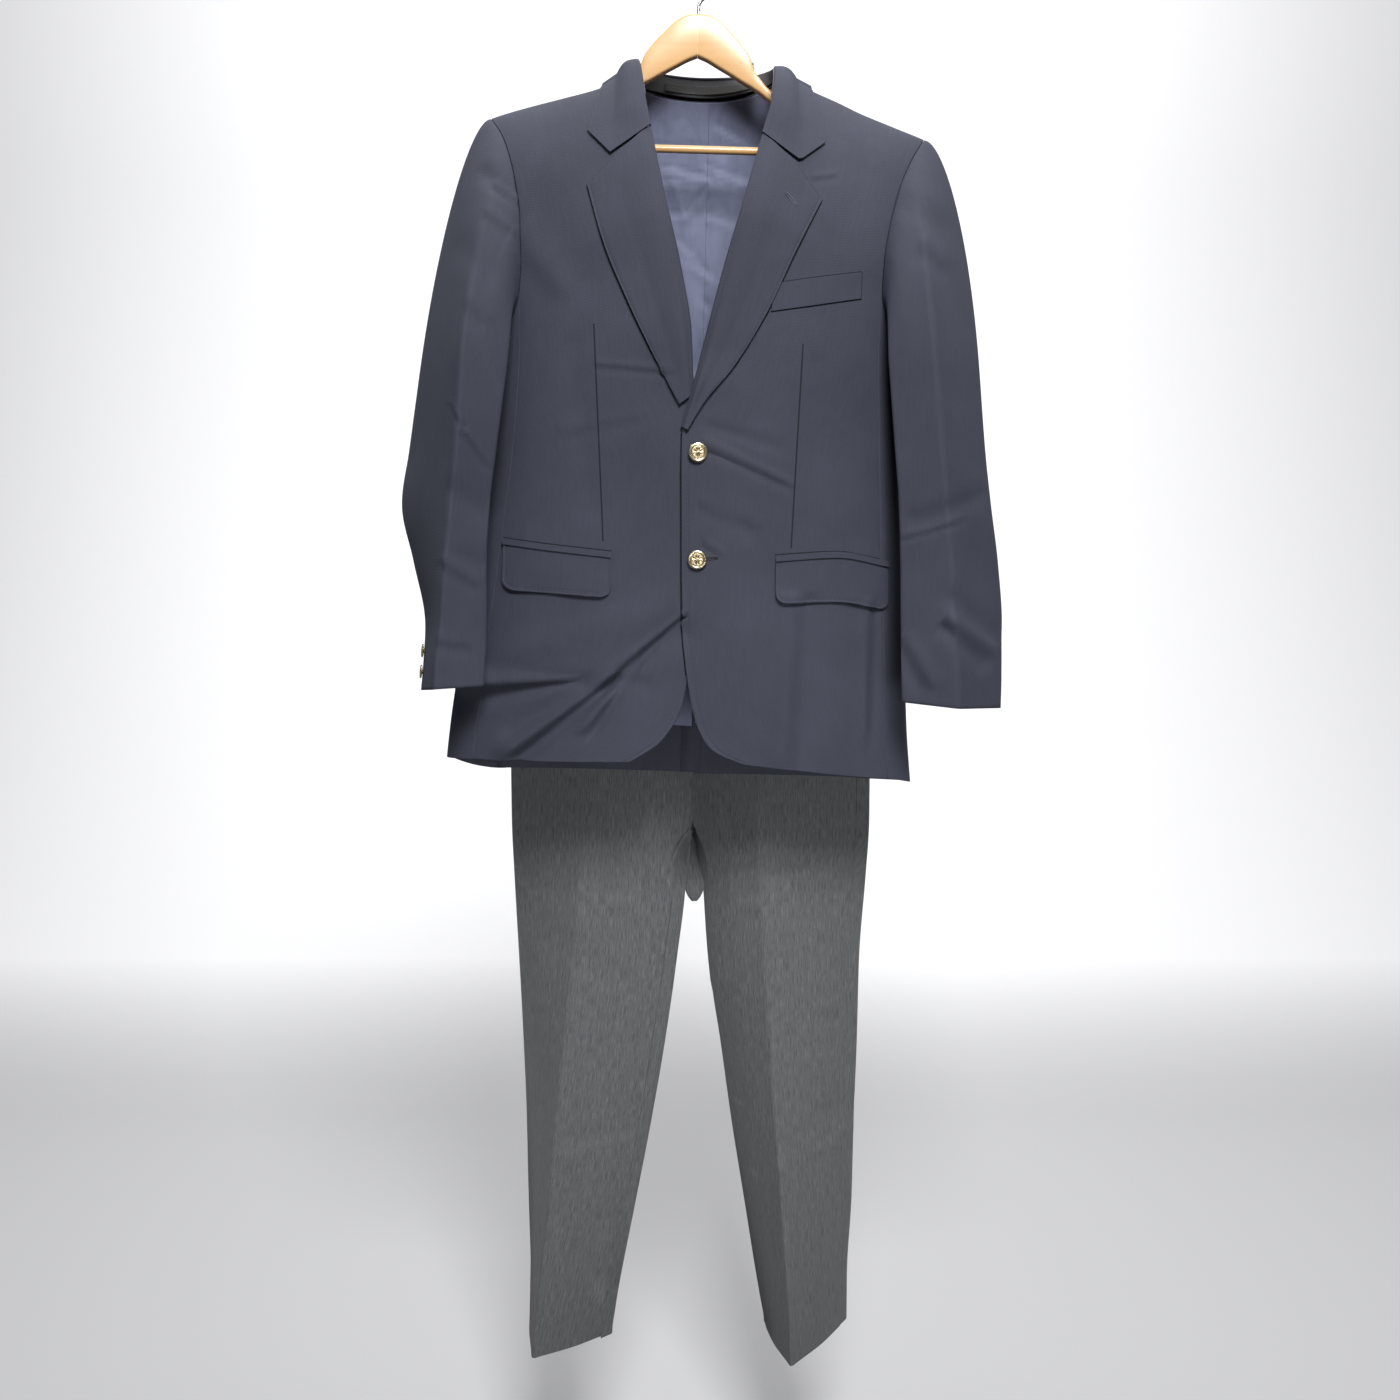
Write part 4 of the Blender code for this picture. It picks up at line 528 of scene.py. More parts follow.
def worsted(name, light, dark, lines=()):
    """Fine worsted twill: ribs too fine to see, drawn 2.6 mm apart, soft cloudy dye and pressing.

    lines are (x, drop, x, drop, width) of painted shade: near-black lines for the shade in the grooves of
    seams stitched into the panel and for the contact shadow under edges that lie over it.
    """
    material, tree, shader = finish(name, light, 0.78, Sheen_Weight=0.08, Sheen_Roughness=0.45)
    shader.inputs["Sheen Tint"].default_value = linear("#9AA0B8")
    shader.inputs["Specular IOR Level"].default_value = 0.22
    weave = add(tree, "UVMap", uv_map="cloth").outputs["UV"]
    place = add(tree, "TexCoord").outputs["Object"]
    cloud = add(tree, "TexNoise", {"Vector": place, "Scale": 9.0, "Detail": 4.0, "Roughness": 0.6})
    slub_place = add(tree, "Mapping", {"Vector": weave, "Scale": (420, 36, 1)}).outputs["Vector"]
    slub = add(tree, "TexNoise", {"Vector": slub_place, "Scale": 1.0, "Detail": 2.0})
    grain = add(tree, "TexNoise", {"Vector": weave, "Scale": 1100.0, "Detail": 2.0})
    tone = add(tree, "Math", {0: cloud.outputs["Fac"], 1: 0.55}, operation="MULTIPLY")
    tone = add(tree, "Math", {0: slub.outputs["Fac"], 1: 0.25, 2: tone.outputs[0]}, operation="MULTIPLY_ADD")
    tone = add(tree, "Math", {0: grain.outputs["Fac"], 1: 0.20, 2: tone.outputs[0]}, operation="MULTIPLY_ADD")
    tone = add(tree, "MapRange", {"Value": tone.outputs[0], "From Min": 0.30, "From Max": 0.70})
    colour = mixed(tree, tone.outputs[0], linear(dark), linear(light))
    twist = add(tree, "Mapping", {"Vector": weave, "Rotation": (0, 0, math.radians(58))})
    ribs = add(tree, "TexWave", {"Vector": twist.outputs["Vector"], "Scale": 120.0, "Distortion": 0.6,
                                 "Detail": 1.0}, bands_direction="X")
    height = add(tree, "Math", {0: ribs.outputs["Fac"], 1: 0.5, 2: grain.outputs["Fac"]},
                 operation="MULTIPLY_ADD").outputs[0]
    bump = add(tree, "Bump", {"Height": height, "Strength": 0.22, "Distance": 0.0004})
    # Painted shade: each line darkens the cloth to near black, for the shade in a seam's groove or the
    # contact shadow under an edge that lies over the panel.
    for x0, drop0, x1, drop1, width in lines:
        mark = line_mark(tree, place, (x0, 0, -drop0), (x1, 0, -drop1), width)
        colour = mixed(tree, mark, colour, linear("#15161B"))
    tree.links.new(colour, shader.inputs["Base Color"])
    tree.links.new(bump.outputs["Normal"], shader.inputs["Normal"])
    return material


def line_mark(tree, place, start, end, width):
    """Share that is 1 on the segment from start to end, seen along Y, and 0 beyond its width."""
    span = Vector(end) - Vector(start)
    flat = add(tree, "VectorMath", {0: place, 1: (1, 0, 1)}, operation="MULTIPLY").outputs[0]
    away = add(tree, "VectorMath", {0: flat, 1: start}, operation="SUBTRACT").outputs[0]
    run = add(tree, "VectorMath", {0: away, 1: tuple(span)}, operation="DOT_PRODUCT").outputs["Value"]
    share = add(tree, "Math", {0: run, 1: span.length_squared}, operation="DIVIDE", use_clamp=True).outputs[0]
    foot = add(tree, "VectorMath", {0: tuple(span), "Scale": share}, operation="SCALE").outputs[0]
    gap = add(tree, "VectorMath", {0: away, 1: foot}, operation="DISTANCE").outputs["Value"]
    return add(tree, "MapRange", {"Value": gap, "From Min": width / 2, "From Max": width,
                                  "To Min": 0.85, "To Max": 0.0}).outputs[0]


NAVY = worsted("Navy worsted wool, woven and pressed", "#40424F", "#33353F")


# The two backs, one width of worsted each, sewn down the centre as far as the vent, with a
# slate satin lining inside that is cut a little full and shows through the neck.
CENTRE_BACK = (0.010, -0.009)
BACK_NECK_DROP = 0.130
VENT_TOP = 0.66
VENT_GAPE = 0.0020
BACK_CROWDING = 1.1
VENT_LAP = 0.012
BACK_LINING_DROP = 0.812
LINING_INSET = 0.0012
LINING_FOLDS = columns(("x0", "drop0", "x1", "drop1", "width", "depth"), [
    (-0.070, 0.172, 0.070, 0.176, 0.0022, -0.0016),
    (-0.030, 0.200, -0.012, 0.262, 0.006, 0.0030),
    (-0.012, 0.262, 0.004, 0.225, 0.005, -0.0025),
    (0.020, 0.190, 0.012, 0.330, 0.007, 0.0022),
    (-0.045, 0.205, -0.030, 0.320, 0.009, -0.0028),
    (0.045, 0.200, 0.030, 0.300, 0.008, -0.0022),
    (-0.020, 0.300, 0.010, 0.400, 0.008, 0.0024),
    (0.032, 0.330, -0.004, 0.410, 0.007, -0.0022),
    (-0.110, 0.300, -0.050, 0.420, 0.014, -0.0030),
    (0.120, 0.320, 0.060, 0.440, 0.014, -0.0030),
    (-0.100, 0.560, -0.040, 0.640, 0.012, 0.0025),
    (0.100, 0.600, 0.040, 0.700, 0.012, 0.0025)])

LINING_CREASES = columns(("x0", "drop0", "x1", "drop1", "near", "far", "low", "high"), [
    (-0.041, 0.197, 0.013, 0.208, 0.0022, 0.0026, 0.0020, 0.0024),
    (0.007, 0.196, 0.054, 0.212, 0.0022, 0.0026, 0.0016, 0.0020),
    (-0.031, 0.206, -0.013, 0.243, 0.0025, 0.0025, 0.0020, 0.0020),
    (0.011, 0.216, -0.013, 0.243, 0.0025, 0.0025, 0.0018, 0.0018),
    (-0.035, 0.245, 0.017, 0.245, 0.0020, 0.0020, 0.0014, 0.0010),
    (0.017, 0.154, 0.061, 0.179, 0.0025, 0.0030, 0.0016, 0.0012),
    (0.007, 0.247, 0.041, 0.258, 0.0025, 0.0025, 0.0014, 0.0010),
    (-0.026, 0.273, 0.000, 0.296, 0.0030, 0.0030, 0.0014, 0.0012),
    (-0.011, 0.296, 0.024, 0.320, 0.0035, 0.0030, 0.0016, 0.0012),
    (-0.022, 0.147, -0.035, 0.179, 0.0030, 0.0030, 0.0012, 0.0010),
    (0.000, 0.336, 0.018, 0.360, 0.0030, 0.0030, 0.0014, 0.0010)])


def back_grid(side, v, u):
    """x and drop of a back: rows follow the neck and shoulder at the top, the hem at the foot."""
    name = "left" if side < 0 else "right"
    share = ARMHOLE_SHARE
    _, hole_x, hole_drop = armhole(side, 2 - SIDE_SEAM_TOP_Q * np.clip(v / share, 0, 1))
    seam_top = hole_drop[-1]
    down = (v - share) / (1 - share)
    seam_drop = seam_top + (smooth(HEM, name, 1.0) - seam_top) * down
    on_seam = v > share
    outer_drop = np.where(on_seam, seam_drop, hole_drop)
    seam_x = side * half_width(side, seam_drop) * seam_share(side, seam_drop, 1)
    outer_x = np.where(on_seam, seam_x, hole_x) - side * SEAM
    inner_drop = BACK_NECK_DROP + (smooth(HEM, name, 2.0) - BACK_NECK_DROP) * v
    centre = CENTRE_BACK[0] + (CENTRE_BACK[1] - CENTRE_BACK[0]) * v
    gape = VENT_GAPE * ease((inner_drop - VENT_TOP) / 0.06)
    inner_x = centre + side * (SEAM / 2 + gape)
    u = u[None, :]
    x = inner_x[:, None] * (1 - u) + outer_x[:, None] * u
    drop = inner_drop[:, None] * (1 - u) + outer_drop[:, None] * u
    neck = NECK_X[name]
    arc = np.clip(np.abs(x[:1] - centre[0]) / abs(neck - centre[0]), 0, 1)
    top = smooth(SHOULDER, "drop", x[:1])
    shoulder = smooth(SHOULDER, "drop", neck)
    neckline = BACK_NECK_DROP + (shoulder - BACK_NECK_DROP) * arc ** 2.2
    top = np.where(arc < 1, neckline, top)
    drop += (top - drop[:1]) * top_fade(v[:, None])
    return x, drop


def satin(name, light, dark):
    """Slate satin lining: long floats give a soft, streaked gloss; small crushed creases, with painted
    highlight on their crests and painted shade in their hollows.
    """
    material, tree, shader = finish(name, light, 0.70, Sheen_Weight=0.12, Anisotropic=0.35)
    place = add(tree, "TexCoord").outputs["Object"]
    long = add(tree, "Mapping", {"Vector": place, "Scale": (60, 60, 16)}).outputs["Vector"]
    crush_and_shade = add(tree, "TexNoise", {"Vector": long, "Scale": 1.0, "Detail": 5.0, "Distortion": 0.8})
    fine = add(tree, "TexNoise", {"Vector": place, "Scale": 700.0, "Detail": 1.0})
    height = add(tree, "Math", {0: fine.outputs["Fac"], 1: 0.05, 2: crush_and_shade.outputs["Fac"]},
                 operation="MULTIPLY_ADD").outputs[0]
    bump = add(tree, "Bump", {"Height": height, "Strength": 0.5, "Distance": 0.0022})
    # Painted highlight and shade: the crumple noise that raises the bump also makes the colour lighter on its
    # crests and darker in its hollows.
    colour = mixed(tree, crush_and_shade.outputs["Fac"], linear(dark), linear(light))
    tree.links.new(colour, shader.inputs["Base Color"])
    tree.links.new(bump.outputs["Normal"], shader.inputs["Normal"])
    return material


# The lighter colour is the painted highlight on the crumple's crests, the darker one the painted shade in its
# hollows.
SATIN = satin("Slate satin lining, woven", "#757A93", "#555A72")


def back(side):
    """One back and its lining: the body's form at the back panel's x and drop."""
    name = "left" if side < 0 else "right"
    v = graded(*MESH["back_down"]) ** BACK_CROWDING
    x, drop = back_grid(side, v, graded(*MESH["back_across"]))
    points = body_point(x, drop, 1)
    normal = body_normal(x, drop, 1)
    on_shoulder = side * (x[0] - NECK_X[name]) > 0
    points[0, on_shoulder, 1] = SEAM / 2
    normal[0, on_shoulder] = (0, 0, 1)
    node = "back_" + name
    cut_piece(shell("cloth_" + node, points, normal, CLOTH, NAVY), node, points)
    allowance("allowance_side_seam_" + name, points[:, -1], normal[:, -1], points[:, -1] - points[:, -4],
              CLOTH, NAVY)
    if side < 0:
        allowance("allowance_centre_back", points[:, 0], normal[:, 0], points[:, 0] - points[:, 4],
                  CLOTH, NAVY, VENT_LAP)
    foot = np.searchsorted(drop[:, 0], BACK_LINING_DROP)
    side_stop = np.searchsorted(np.abs(x[len(x) // 2] - x[len(x) // 2, 0]), 0.155)
    inside = points - normal * (CLOTH + LINING_INSET)
    inside, facing = inside[:foot, :side_stop], normal[:foot, :side_stop]
    crease = relief(LINING_FOLDS, inside[..., 0], -inside[..., 2])
    crease = crease - creases(LINING_CREASES, inside[..., 0], -inside[..., 2])
    inside = inside - facing * (0.0025 + crease)[..., None] * 0.9
    node = "back_lining_" + name
    piece = shell("cloth_" + node, inside, facing, 0.0006, SATIN)
    cut_piece(piece, node, inside)


back(-1)
back(1)


# The two side panels, cut on their own so that the body can narrow at the waist.
ARMHOLE_GAP = 0.0004


def side_piece(side):
    """Body section swept from the front to the back side seam, from armhole to hem."""
    name = "left" if side < 0 else "right"
    u = graded(*MESH["side_across"])
    a = SIDE_SEAM_TOP_Q + (2 - 2 * SIDE_SEAM_TOP_Q) * u
    _, top_x, top_drop = armhole(side, a)
    v = graded(*MESH["side_down"])[:, None]
    drop = top_drop + ARMHOLE_GAP + (smooth(HEM, name, u) - top_drop) * v
    width = half_width(side, drop)
    front = body_angle(seam_share(side, drop, -1) + SEAM / width)
    back = math.pi - body_angle(seam_share(side, drop, 1) + 3 * SEAM / width)
    angle = front + (back - front) * u
    top_angle = body_angle(np.clip(np.abs(top_x) / half_width(side, top_drop), 0, 1))
    top_angle = np.where(a <= 1, top_angle, math.pi - top_angle)
    edge_free = (u > 0) & (u < 1)
    angle = np.where(edge_free, angle + (top_angle - angle[:1]) * top_fade(v), angle)
    points = ring_point(side, angle, drop)
    tiny = 0.0005
    turn = ring_point(side, angle + tiny, drop) - ring_point(side, angle - tiny, drop)
    down = ring_point(side, angle, drop + tiny) - ring_point(side, angle, drop - tiny)
    normal = np.cross(turn, down) * -side
    normal /= np.linalg.norm(normal, axis=-1, keepdims=True)
    node = "side_" + name
    cut_piece(shell("cloth_" + node, points, normal, CLOTH, NAVY), node, points)


side_piece(-1)
side_piece(1)


# The two fronts: each shaped by one long dart, which is drawn only as a line of painted shade,
# edge-stitched down the opening and round the cut-away corner. The right one laps over the left and
# buttons to it.
OVERLAP_LIFT = 0.0048
FRONT_EDGE_LEFT = columns(("t", "x", "drop"), [
    (0.00, NECK_X["left"], 0.116), (0.06, -0.066, 0.148), (0.12, -0.0525, 0.182),
    (0.22, -0.038, 0.252), (0.32, -0.022, 0.323), (0.42, -0.011, 0.388),
    (0.50, -0.005, 0.440), (0.56, 0.010, 0.480), (0.62, 0.018, 0.520),
    (0.74, 0.018, 0.620), (0.84, 0.006, 0.690), (0.90, -0.013, 0.742),
    (0.94, -0.021, 0.774), (0.97, -0.041, 0.806), (1.00, -0.074, 0.829)])

FRONT_EDGE_RIGHT = columns(("t", "x", "drop"), [
    (0.00, NECK_X["right"], 0.116), (0.06, 0.078, 0.150), (0.12, 0.0655, 0.190),
    (0.22, 0.046, 0.259), (0.32, 0.028, 0.318), (0.42, 0.009, 0.388),
    (0.50, -0.006, 0.445), (0.56, -0.018, 0.484), (0.62, -0.019, 0.520),
    (0.74, -0.019, 0.620), (0.82, -0.0185, 0.680), (0.88, -0.014, 0.735),
    (0.93, -0.004, 0.786), (0.965, 0.012, 0.814), (1.00, 0.045, 0.831)])
# Darts: drawn only as lines of painted shade (x, drop, x, drop, width).
DARTS = {"left": ((-0.1075, 0.378, -0.1005, 0.596, 0.0011),),
         "right": ((0.1045, 0.398, 0.0945, 0.603, 0.0011),)}

FLAP_LEFT = columns(("u", "x", "top", "bottom"), [
    (0.0, -0.207, 0.5995, 0.648), (0.5, -0.153, 0.606, 0.651), (1.0, -0.092, 0.6125, 0.655)])

FLAP_RIGHT = columns(("u", "x", "top", "bottom"), [
    (0.0, 0.078, 0.6165, 0.661), (0.5, 0.140, 0.613, 0.660), (1.0, 0.199, 0.624, 0.671)])

BREAST_WELT = columns(("u", "x", "top", "bottom"), [
    (0.0, 0.072, 0.339, 0.366), (0.5, 0.118, 0.332, 0.359), (1.0, 0.164, 0.325, 0.351)])
JET_HEIGHT = 0.0055


def seam_shade_lines(table, key, shift, width=0.0008, count=6):
    """Short straight lines along a pocket table's edge, for the painted shade in the groove of its seam."""
    u = np.linspace(0, 1, count)
    x, drop = smooth(table, "x", u), smooth(table, key, u) + shift
    return tuple((x[i], drop[i], x[i + 1], drop[i + 1], width) for i in range(count - 1))


# Painted shade along the grooves of each front's dart and pocket seams.
PAINTED_SHADE_LINES = {"left": DARTS["left"] + seam_shade_lines(FLAP_LEFT, "top", -JET_HEIGHT - 0.0005),
           "right": DARTS["right"] + seam_shade_lines(FLAP_RIGHT, "top", -JET_HEIGHT - 0.0005)
           + seam_shade_lines(BREAST_WELT, "top", -0.0005) + seam_shade_lines(BREAST_WELT, "bottom", 0.0004)
           + ((0.1647, 0.3250, 0.1647, 0.3510, 0.0008),)}
# Painted shadow: paths on the front just outside each lapel's top and outer edges, for the contact shadow
# under the turned lapel.
LAPEL_EDGE_SHADOWS = {
    "left": ((-0.0875, -0.1140, -0.0965, -0.0748, -0.0488), (0.2135, 0.2405, 0.3010, 0.3540, 0.4080)),
    "right": ((0.0990, 0.1230, 0.0958, 0.0688, 0.0348), (0.2215, 0.2555, 0.3100, 0.3670, 0.4220))}
# Painted shadow on the left front beside the right front's edge, for the contact shadow under the edge that
# laps over it.
PAINTED_SHADE_LINES["left"] += ((-0.0190, 0.488, -0.0200, 0.530, 0.0013), (-0.0200, 0.530, -0.0200, 0.640, 0.0013),
                    (-0.0200, 0.640, -0.0192, 0.690, 0.0013), (-0.0192, 0.690, -0.0148, 0.735, 0.0013))
for name, (across, drops) in LAPEL_EDGE_SHADOWS.items():
    PAINTED_SHADE_LINES[name] += tuple(zip(across, drops, across[1:], drops[1:], (0.0010,) * 4))
EDGE_STITCH_IN = 0.0060
EDGE_STITCH_TOP = 0.455
EDGE_STITCH_DEPTH = 0.00045
FRONT_NEAR = (0.0, 0.0006, 0.0014, 0.0030, 0.0048, 0.0060, 0.0072, 0.0090)


def front_lift(x, drop):
    """How far the right front stands off the left one where it buttons over it."""
    near = ease((0.070 - x) / 0.055)
    return OVERLAP_LIFT * near * ease((drop - 0.400) / 0.045)


def front_piece(side):
    """The body's form between the front edge (u 0) and the armhole and side seam (u 1)."""
    name = "left" if side < 0 else "right"
    edge = FRONT_EDGE_LEFT if side < 0 else FRONT_EDGE_RIGHT
    v = graded(*MESH["front_down"], FRONT_NEAR)
    inner_x = smooth(edge, "x", v)
    inner_drop = smooth(edge, "drop", v)
    _, hole_x, hole_drop = armhole(side, SIDE_SEAM_TOP_Q * np.clip(v / ARMHOLE_SHARE, 0, 1))
    down = (v - ARMHOLE_SHARE) / (1 - ARMHOLE_SHARE)
    seam_top = armhole(side, np.array([SIDE_SEAM_TOP_Q]))[2][0]
    seam_drop = seam_top + (smooth(HEM, name, 0.0) - seam_top) * down
    on_seam = v > ARMHOLE_SHARE
    outer_drop = np.where(on_seam, seam_drop, hole_drop)
    seam_x = side * half_width(side, seam_drop) * seam_share(side, seam_drop, -1)
    outer_x = np.where(on_seam, seam_x, hole_x) - side * SEAM
    u = graded(*MESH["front_across"], FRONT_NEAR)[None, :]
    x = inner_x[:, None] * (1 - u) + outer_x[:, None] * u
    drop = inner_drop[:, None] * (1 - u) + outer_drop[:, None] * u
    drop += (smooth(SHOULDER, "drop", x[:1]) - drop[:1]) * top_fade(v[:, None])
    from_edge = np.hypot(x - x[:, :1], drop - drop[:, :1])
    from_hem = MESH["front_down"][0] * (1 - v[:, None])
    below = ease((drop - 0.42) / 0.03)
    press = np.maximum(trough(from_edge, EDGE_STITCH_IN, 0.0011, EDGE_STITCH_DEPTH) * below,
                       trough(from_hem, EDGE_STITCH_IN, 0.0011, EDGE_STITCH_DEPTH) * ease((0.10 - u) / 0.08))
    lift = (front_lift(x, drop) if side > 0 else 0.0) - press
    points = body_point(x, drop, -1, lift)
    normal = body_normal(x, drop, -1)
    points[0, :, 1] = -SEAM / 2
    normal[0] = (0, 0, 1)
    node = "front_" + name
    # Its worsted carries the painted shade of the dart and pocket seams and the painted contact shadow under
    # the lapel and front edges.
    wool = worsted("Navy worsted front with its dart, " + name, "#40424F", "#33353F", PAINTED_SHADE_LINES[name])
    piece = shell("cloth_" + node, points, normal, CLOTH, wool)
    cut_piece(piece, node, points)
    outward = (points[:, -1] - points[:, -4])[1:]
    allowance("allowance_armhole_" + name, points[1:, -1], normal[1:, -1], outward,
              CLOTH, NAVY)
    at = np.argmin(np.abs(u[0] * MESH["front_across"][0] - EDGE_STITCH_IN))
    low = drop[:, at] > EDGE_STITCH_TOP
    return points[low, at], normal[low, at]


def stitch_row(name, path, normal, material, pitch=0.0046, long=0.0028, wide=0.00028):
    """Stitches sunk along a path: each a slim bead of five rings of six points."""
    run = arc(path[None], 1)[0]
    centre = np.arange(pitch, run[-1] - pitch, pitch)
    turn = np.linspace(0, 2 * math.pi, 6, endpoint=False)
    ring = np.array([-1.0, -0.8, 0.0, 0.8, 1.0])
    girth = np.array([0.15, 0.75, 1.0, 0.75, 0.15])
    at = centre[:, None] + ring * long / 2
    place = np.stack([np.interp(at, run, path[:, k]) for k in range(3)], -1)
    up = np.stack([np.interp(at, run, normal[:, k]) for k in range(3)], -1)
    along = np.gradient(place, axis=1)
    along /= np.linalg.norm(along, axis=-1, keepdims=True)
    across = np.cross(up, along)
    offset = (across[:, :, None] * np.cos(turn)[:, None] + up[:, :, None] * np.sin(turn)[:, None])
    verts = place[:, :, None] + offset * (wide * girth)[None, :, None, None]
    one = grid_faces(5, 6, True)
    faces = (one[None] + (np.arange(len(centre)) * 30)[:, None, None]).reshape(-1, 4)
    return mesh_object(name, verts.reshape(-1, 3), faces, material)


THREAD, _, _ = finish("Navy sewing thread, spun polyester", "#343642", 0.6)


def sew(name, path, normal, **settings):
    """A row of stitches that goes with the jacket."""
    row = stitch_row(name, path, normal, THREAD, **settings)
    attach(row, "root")


for side, name in ((-1, "left"), (1, "right")):
    sew("stitches_front_" + name, *front_piece(side))


# Pockets: a breast welt, and two flaps that hang from a pair of narrow jets. Each is a doubled
# strip of the same worsted, edge-stitched, and lies on the front it is sewn to.
FLAP_CORNER = 0.012
FLAP_LIFT = 0.0027
JET_LAP = 0.0010
JET_LIFT = 0.0044
TRIM_LIFT = 0.0016
TRIM_CLOTH = 0.0013
WELT_NEAR = (0.0, 0.0005, 0.0010, 0.0018)
STRIP_TALL = 0.02


def patch_piece(node, table, lift, thickness, slack=0.0, round_ends=False):
    """A strip between a pocket table's top and bottom lines, moved out from the front."""
    across, tall = table["x"][-1] - table["x"][0], (table["bottom"] - table["top"]).mean()
    u = graded(across, 0.0030)
    near = WELT_NEAR if tall < STRIP_TALL else CUT_NEAR
    v = graded(tall, 0.0022, near)[:, None]
    x = smooth(table, "x", u)
    head, foot = smooth(table, "top", u), smooth(table, "bottom", u)
    away = np.minimum(np.abs(x - x[0]), np.abs(x - x[-1]))
    if round_ends:
        foot = foot - FLAP_CORNER * (1 - np.sqrt(1 - np.clip(1 - away / FLAP_CORNER, 0, 1) ** 2))
    drop = head + (foot - head) * v
    x = np.broadcast_to(x, drop.shape)
    from_edge = np.minimum(away[None], (1 - v) * (foot - head))
    press = trough(from_edge, 0.0030, 0.0009, 0.0004) if round_ends else 0.0
    stand = lift + slack * v ** 1.5 * (0.6 + 0.4 * np.sin(9.0 * u + 1.0)) - press
    if table["x"][0] > 0:
        stand = stand + front_lift(x, drop)
    points = body_point(x, drop, -1, stand)
    normal = body_normal(x, drop, -1)
    piece = shell("cloth_" + node, points, normal, thickness, NAVY)
    cut_piece(piece, node, points)
    return piece, points, normal


def jet_piece(node, flap):
    """Piping over a flap's top edge, too narrow to be a sheet of its own."""
    band = dict(flap)
    band["bottom"] = flap["top"] + JET_LAP
    band["top"] = flap["top"] - JET_HEIGHT
    return patch_piece(node, band, JET_LIFT, TRIM_CLOTH)[0]


for name, table in (("left", FLAP_LEFT), ("right", FLAP_RIGHT)):
    jet = jet_piece("jet_" + name, table)
    _, flap, facing = patch_piece("flap_" + name, table, FLAP_LIFT, CLOTH, 0.0022, True)
    sew("stitches_flap_" + name, flap[-6], facing[-6])
patch_piece("breast_welt", BREAST_WELT, TRIM_LIFT, TRIM_CLOTH)


# The lapels: the front's facing turned back over the roll line, rolled softly at the fold and
# pressed flat at its stitched edge, with a notch where it meets the collar.
LAPEL_LIFT = 0.0045
LAPEL_ROLL = 0.0016
ROLL_RADIUS = 0.0026

LAPEL_LEFT = columns(("v", "roll_x", "roll_drop", "edge_x", "edge_drop"), [
    (0.00, -0.0515, 0.182, -0.113, 0.241), (0.25, -0.037, 0.252, -0.096, 0.300),
    (0.50, -0.021, 0.323, -0.074, 0.353), (0.75, -0.0105, 0.388, -0.048, 0.407),
    (1.00, -0.0085, 0.449, -0.021, 0.458)])

LAPEL_RIGHT = columns(("v", "roll_x", "roll_drop", "edge_x", "edge_drop"), [
    (0.00, 0.0645, 0.190, 0.122, 0.256), (0.22, 0.045, 0.259, 0.095, 0.309),
    (0.42, 0.027, 0.318, 0.068, 0.366), (0.64, 0.007, 0.392, 0.034, 0.421),
    (0.82, -0.007, 0.445, 0.006, 0.454), (1.00, -0.0175, 0.481, -0.0125, 0.4835)])

NOTCH = {"left": (0.62, -0.0875, 0.2145), "right": (0.56, 0.0985, 0.2225)}


def cornered(start, corner, end, at, u):
    """Path start, corner, end: the share of the way at which it turns is at."""
    first = start + (corner - start) * np.clip(u / at, 0, 1)
    return np.where(u <= at, first, corner + (end - corner) * np.clip((u - at) / (1 - at), 0, 1))


def rolled_edge(points, normal, radius, count=7):
    """Extra first columns: the sheet turned round a half circle under its first column."""
    away = points[:, 0] - points[:, 1]
    away /= np.linalg.norm(away, axis=-1, keepdims=True)
    up = normal[:, 0]
    turn = np.linspace(-math.pi / 2, math.pi / 2, count)[:-1]
    facing = up[:, None] * np.sin(turn)[:, None] + away[:, None] * np.cos(turn)[:, None]
    centre = points[:, 0] - up * radius
    curl = centre[:, None] + facing * radius
    return np.concatenate([curl, points], 1), np.concatenate([facing, normal], 1)


def lapel_piece(side):
    """Between the roll line (u 0) and the outer edge (u 1), lifted off the front."""
    name = "left" if side < 0 else "right"
    table = LAPEL_LEFT if side < 0 else LAPEL_RIGHT
    v = graded(*MESH["lapel_down"])[:, None]
    turn, notch_x, notch_drop = NOTCH[name]
    u = np.unique(np.append(graded(*MESH["lapel_across"]), turn))[None]
    roll_x, roll_drop = smooth(table, "roll_x", v), smooth(table, "roll_drop", v)
    edge_x, edge_drop = smooth(table, "edge_x", v), smooth(table, "edge_drop", v)
    fade = np.clip(1 - v / 0.30, 0, 1) ** 2
    top_x = cornered(roll_x[0], notch_x, edge_x[0], turn, u)
    top_drop = cornered(roll_drop[0], notch_drop, edge_drop[0], turn, u)
    x = roll_x + (edge_x - roll_x) * u
    drop = roll_drop + (edge_drop - roll_drop) * u
    x = x + (top_x - x[:1]) * fade
    drop = drop + (top_drop - drop[:1]) * fade
    roll = np.sin(math.pi * np.clip(u / 0.55, 0, 1)) * ease((1 - v) / 0.3) * ease(v / 0.1)
    edge_gap = np.minimum((1 - u) * 0.062, v * 0.30 + 0.05 * (u < turn - 0.02))
    flat = CLOTH + 0.0004
    lift = flat + (LAPEL_LIFT - flat) * ease(u / 0.15) + LAPEL_ROLL * roll
    lift = lift - trough(edge_gap, 0.0020, 0.0006, 0.0006)
    if side > 0:
        lift = lift + front_lift(x, drop)
    points = body_point(x, drop, -1, lift)
    normal = body_normal(x, drop, -1)
    full, facing = rolled_edge(points, normal, ROLL_RADIUS)
    node = "lapel_" + name
    piece = shell("cloth_" + node, full, facing, 0.0016, NAVY)
    cut_piece(piece, node, full)
    sew("stitches_lapel_" + name, points[2:-2, -4], normal[2:-2, -4])


lapel_piece(-1)
lapel_piece(1)


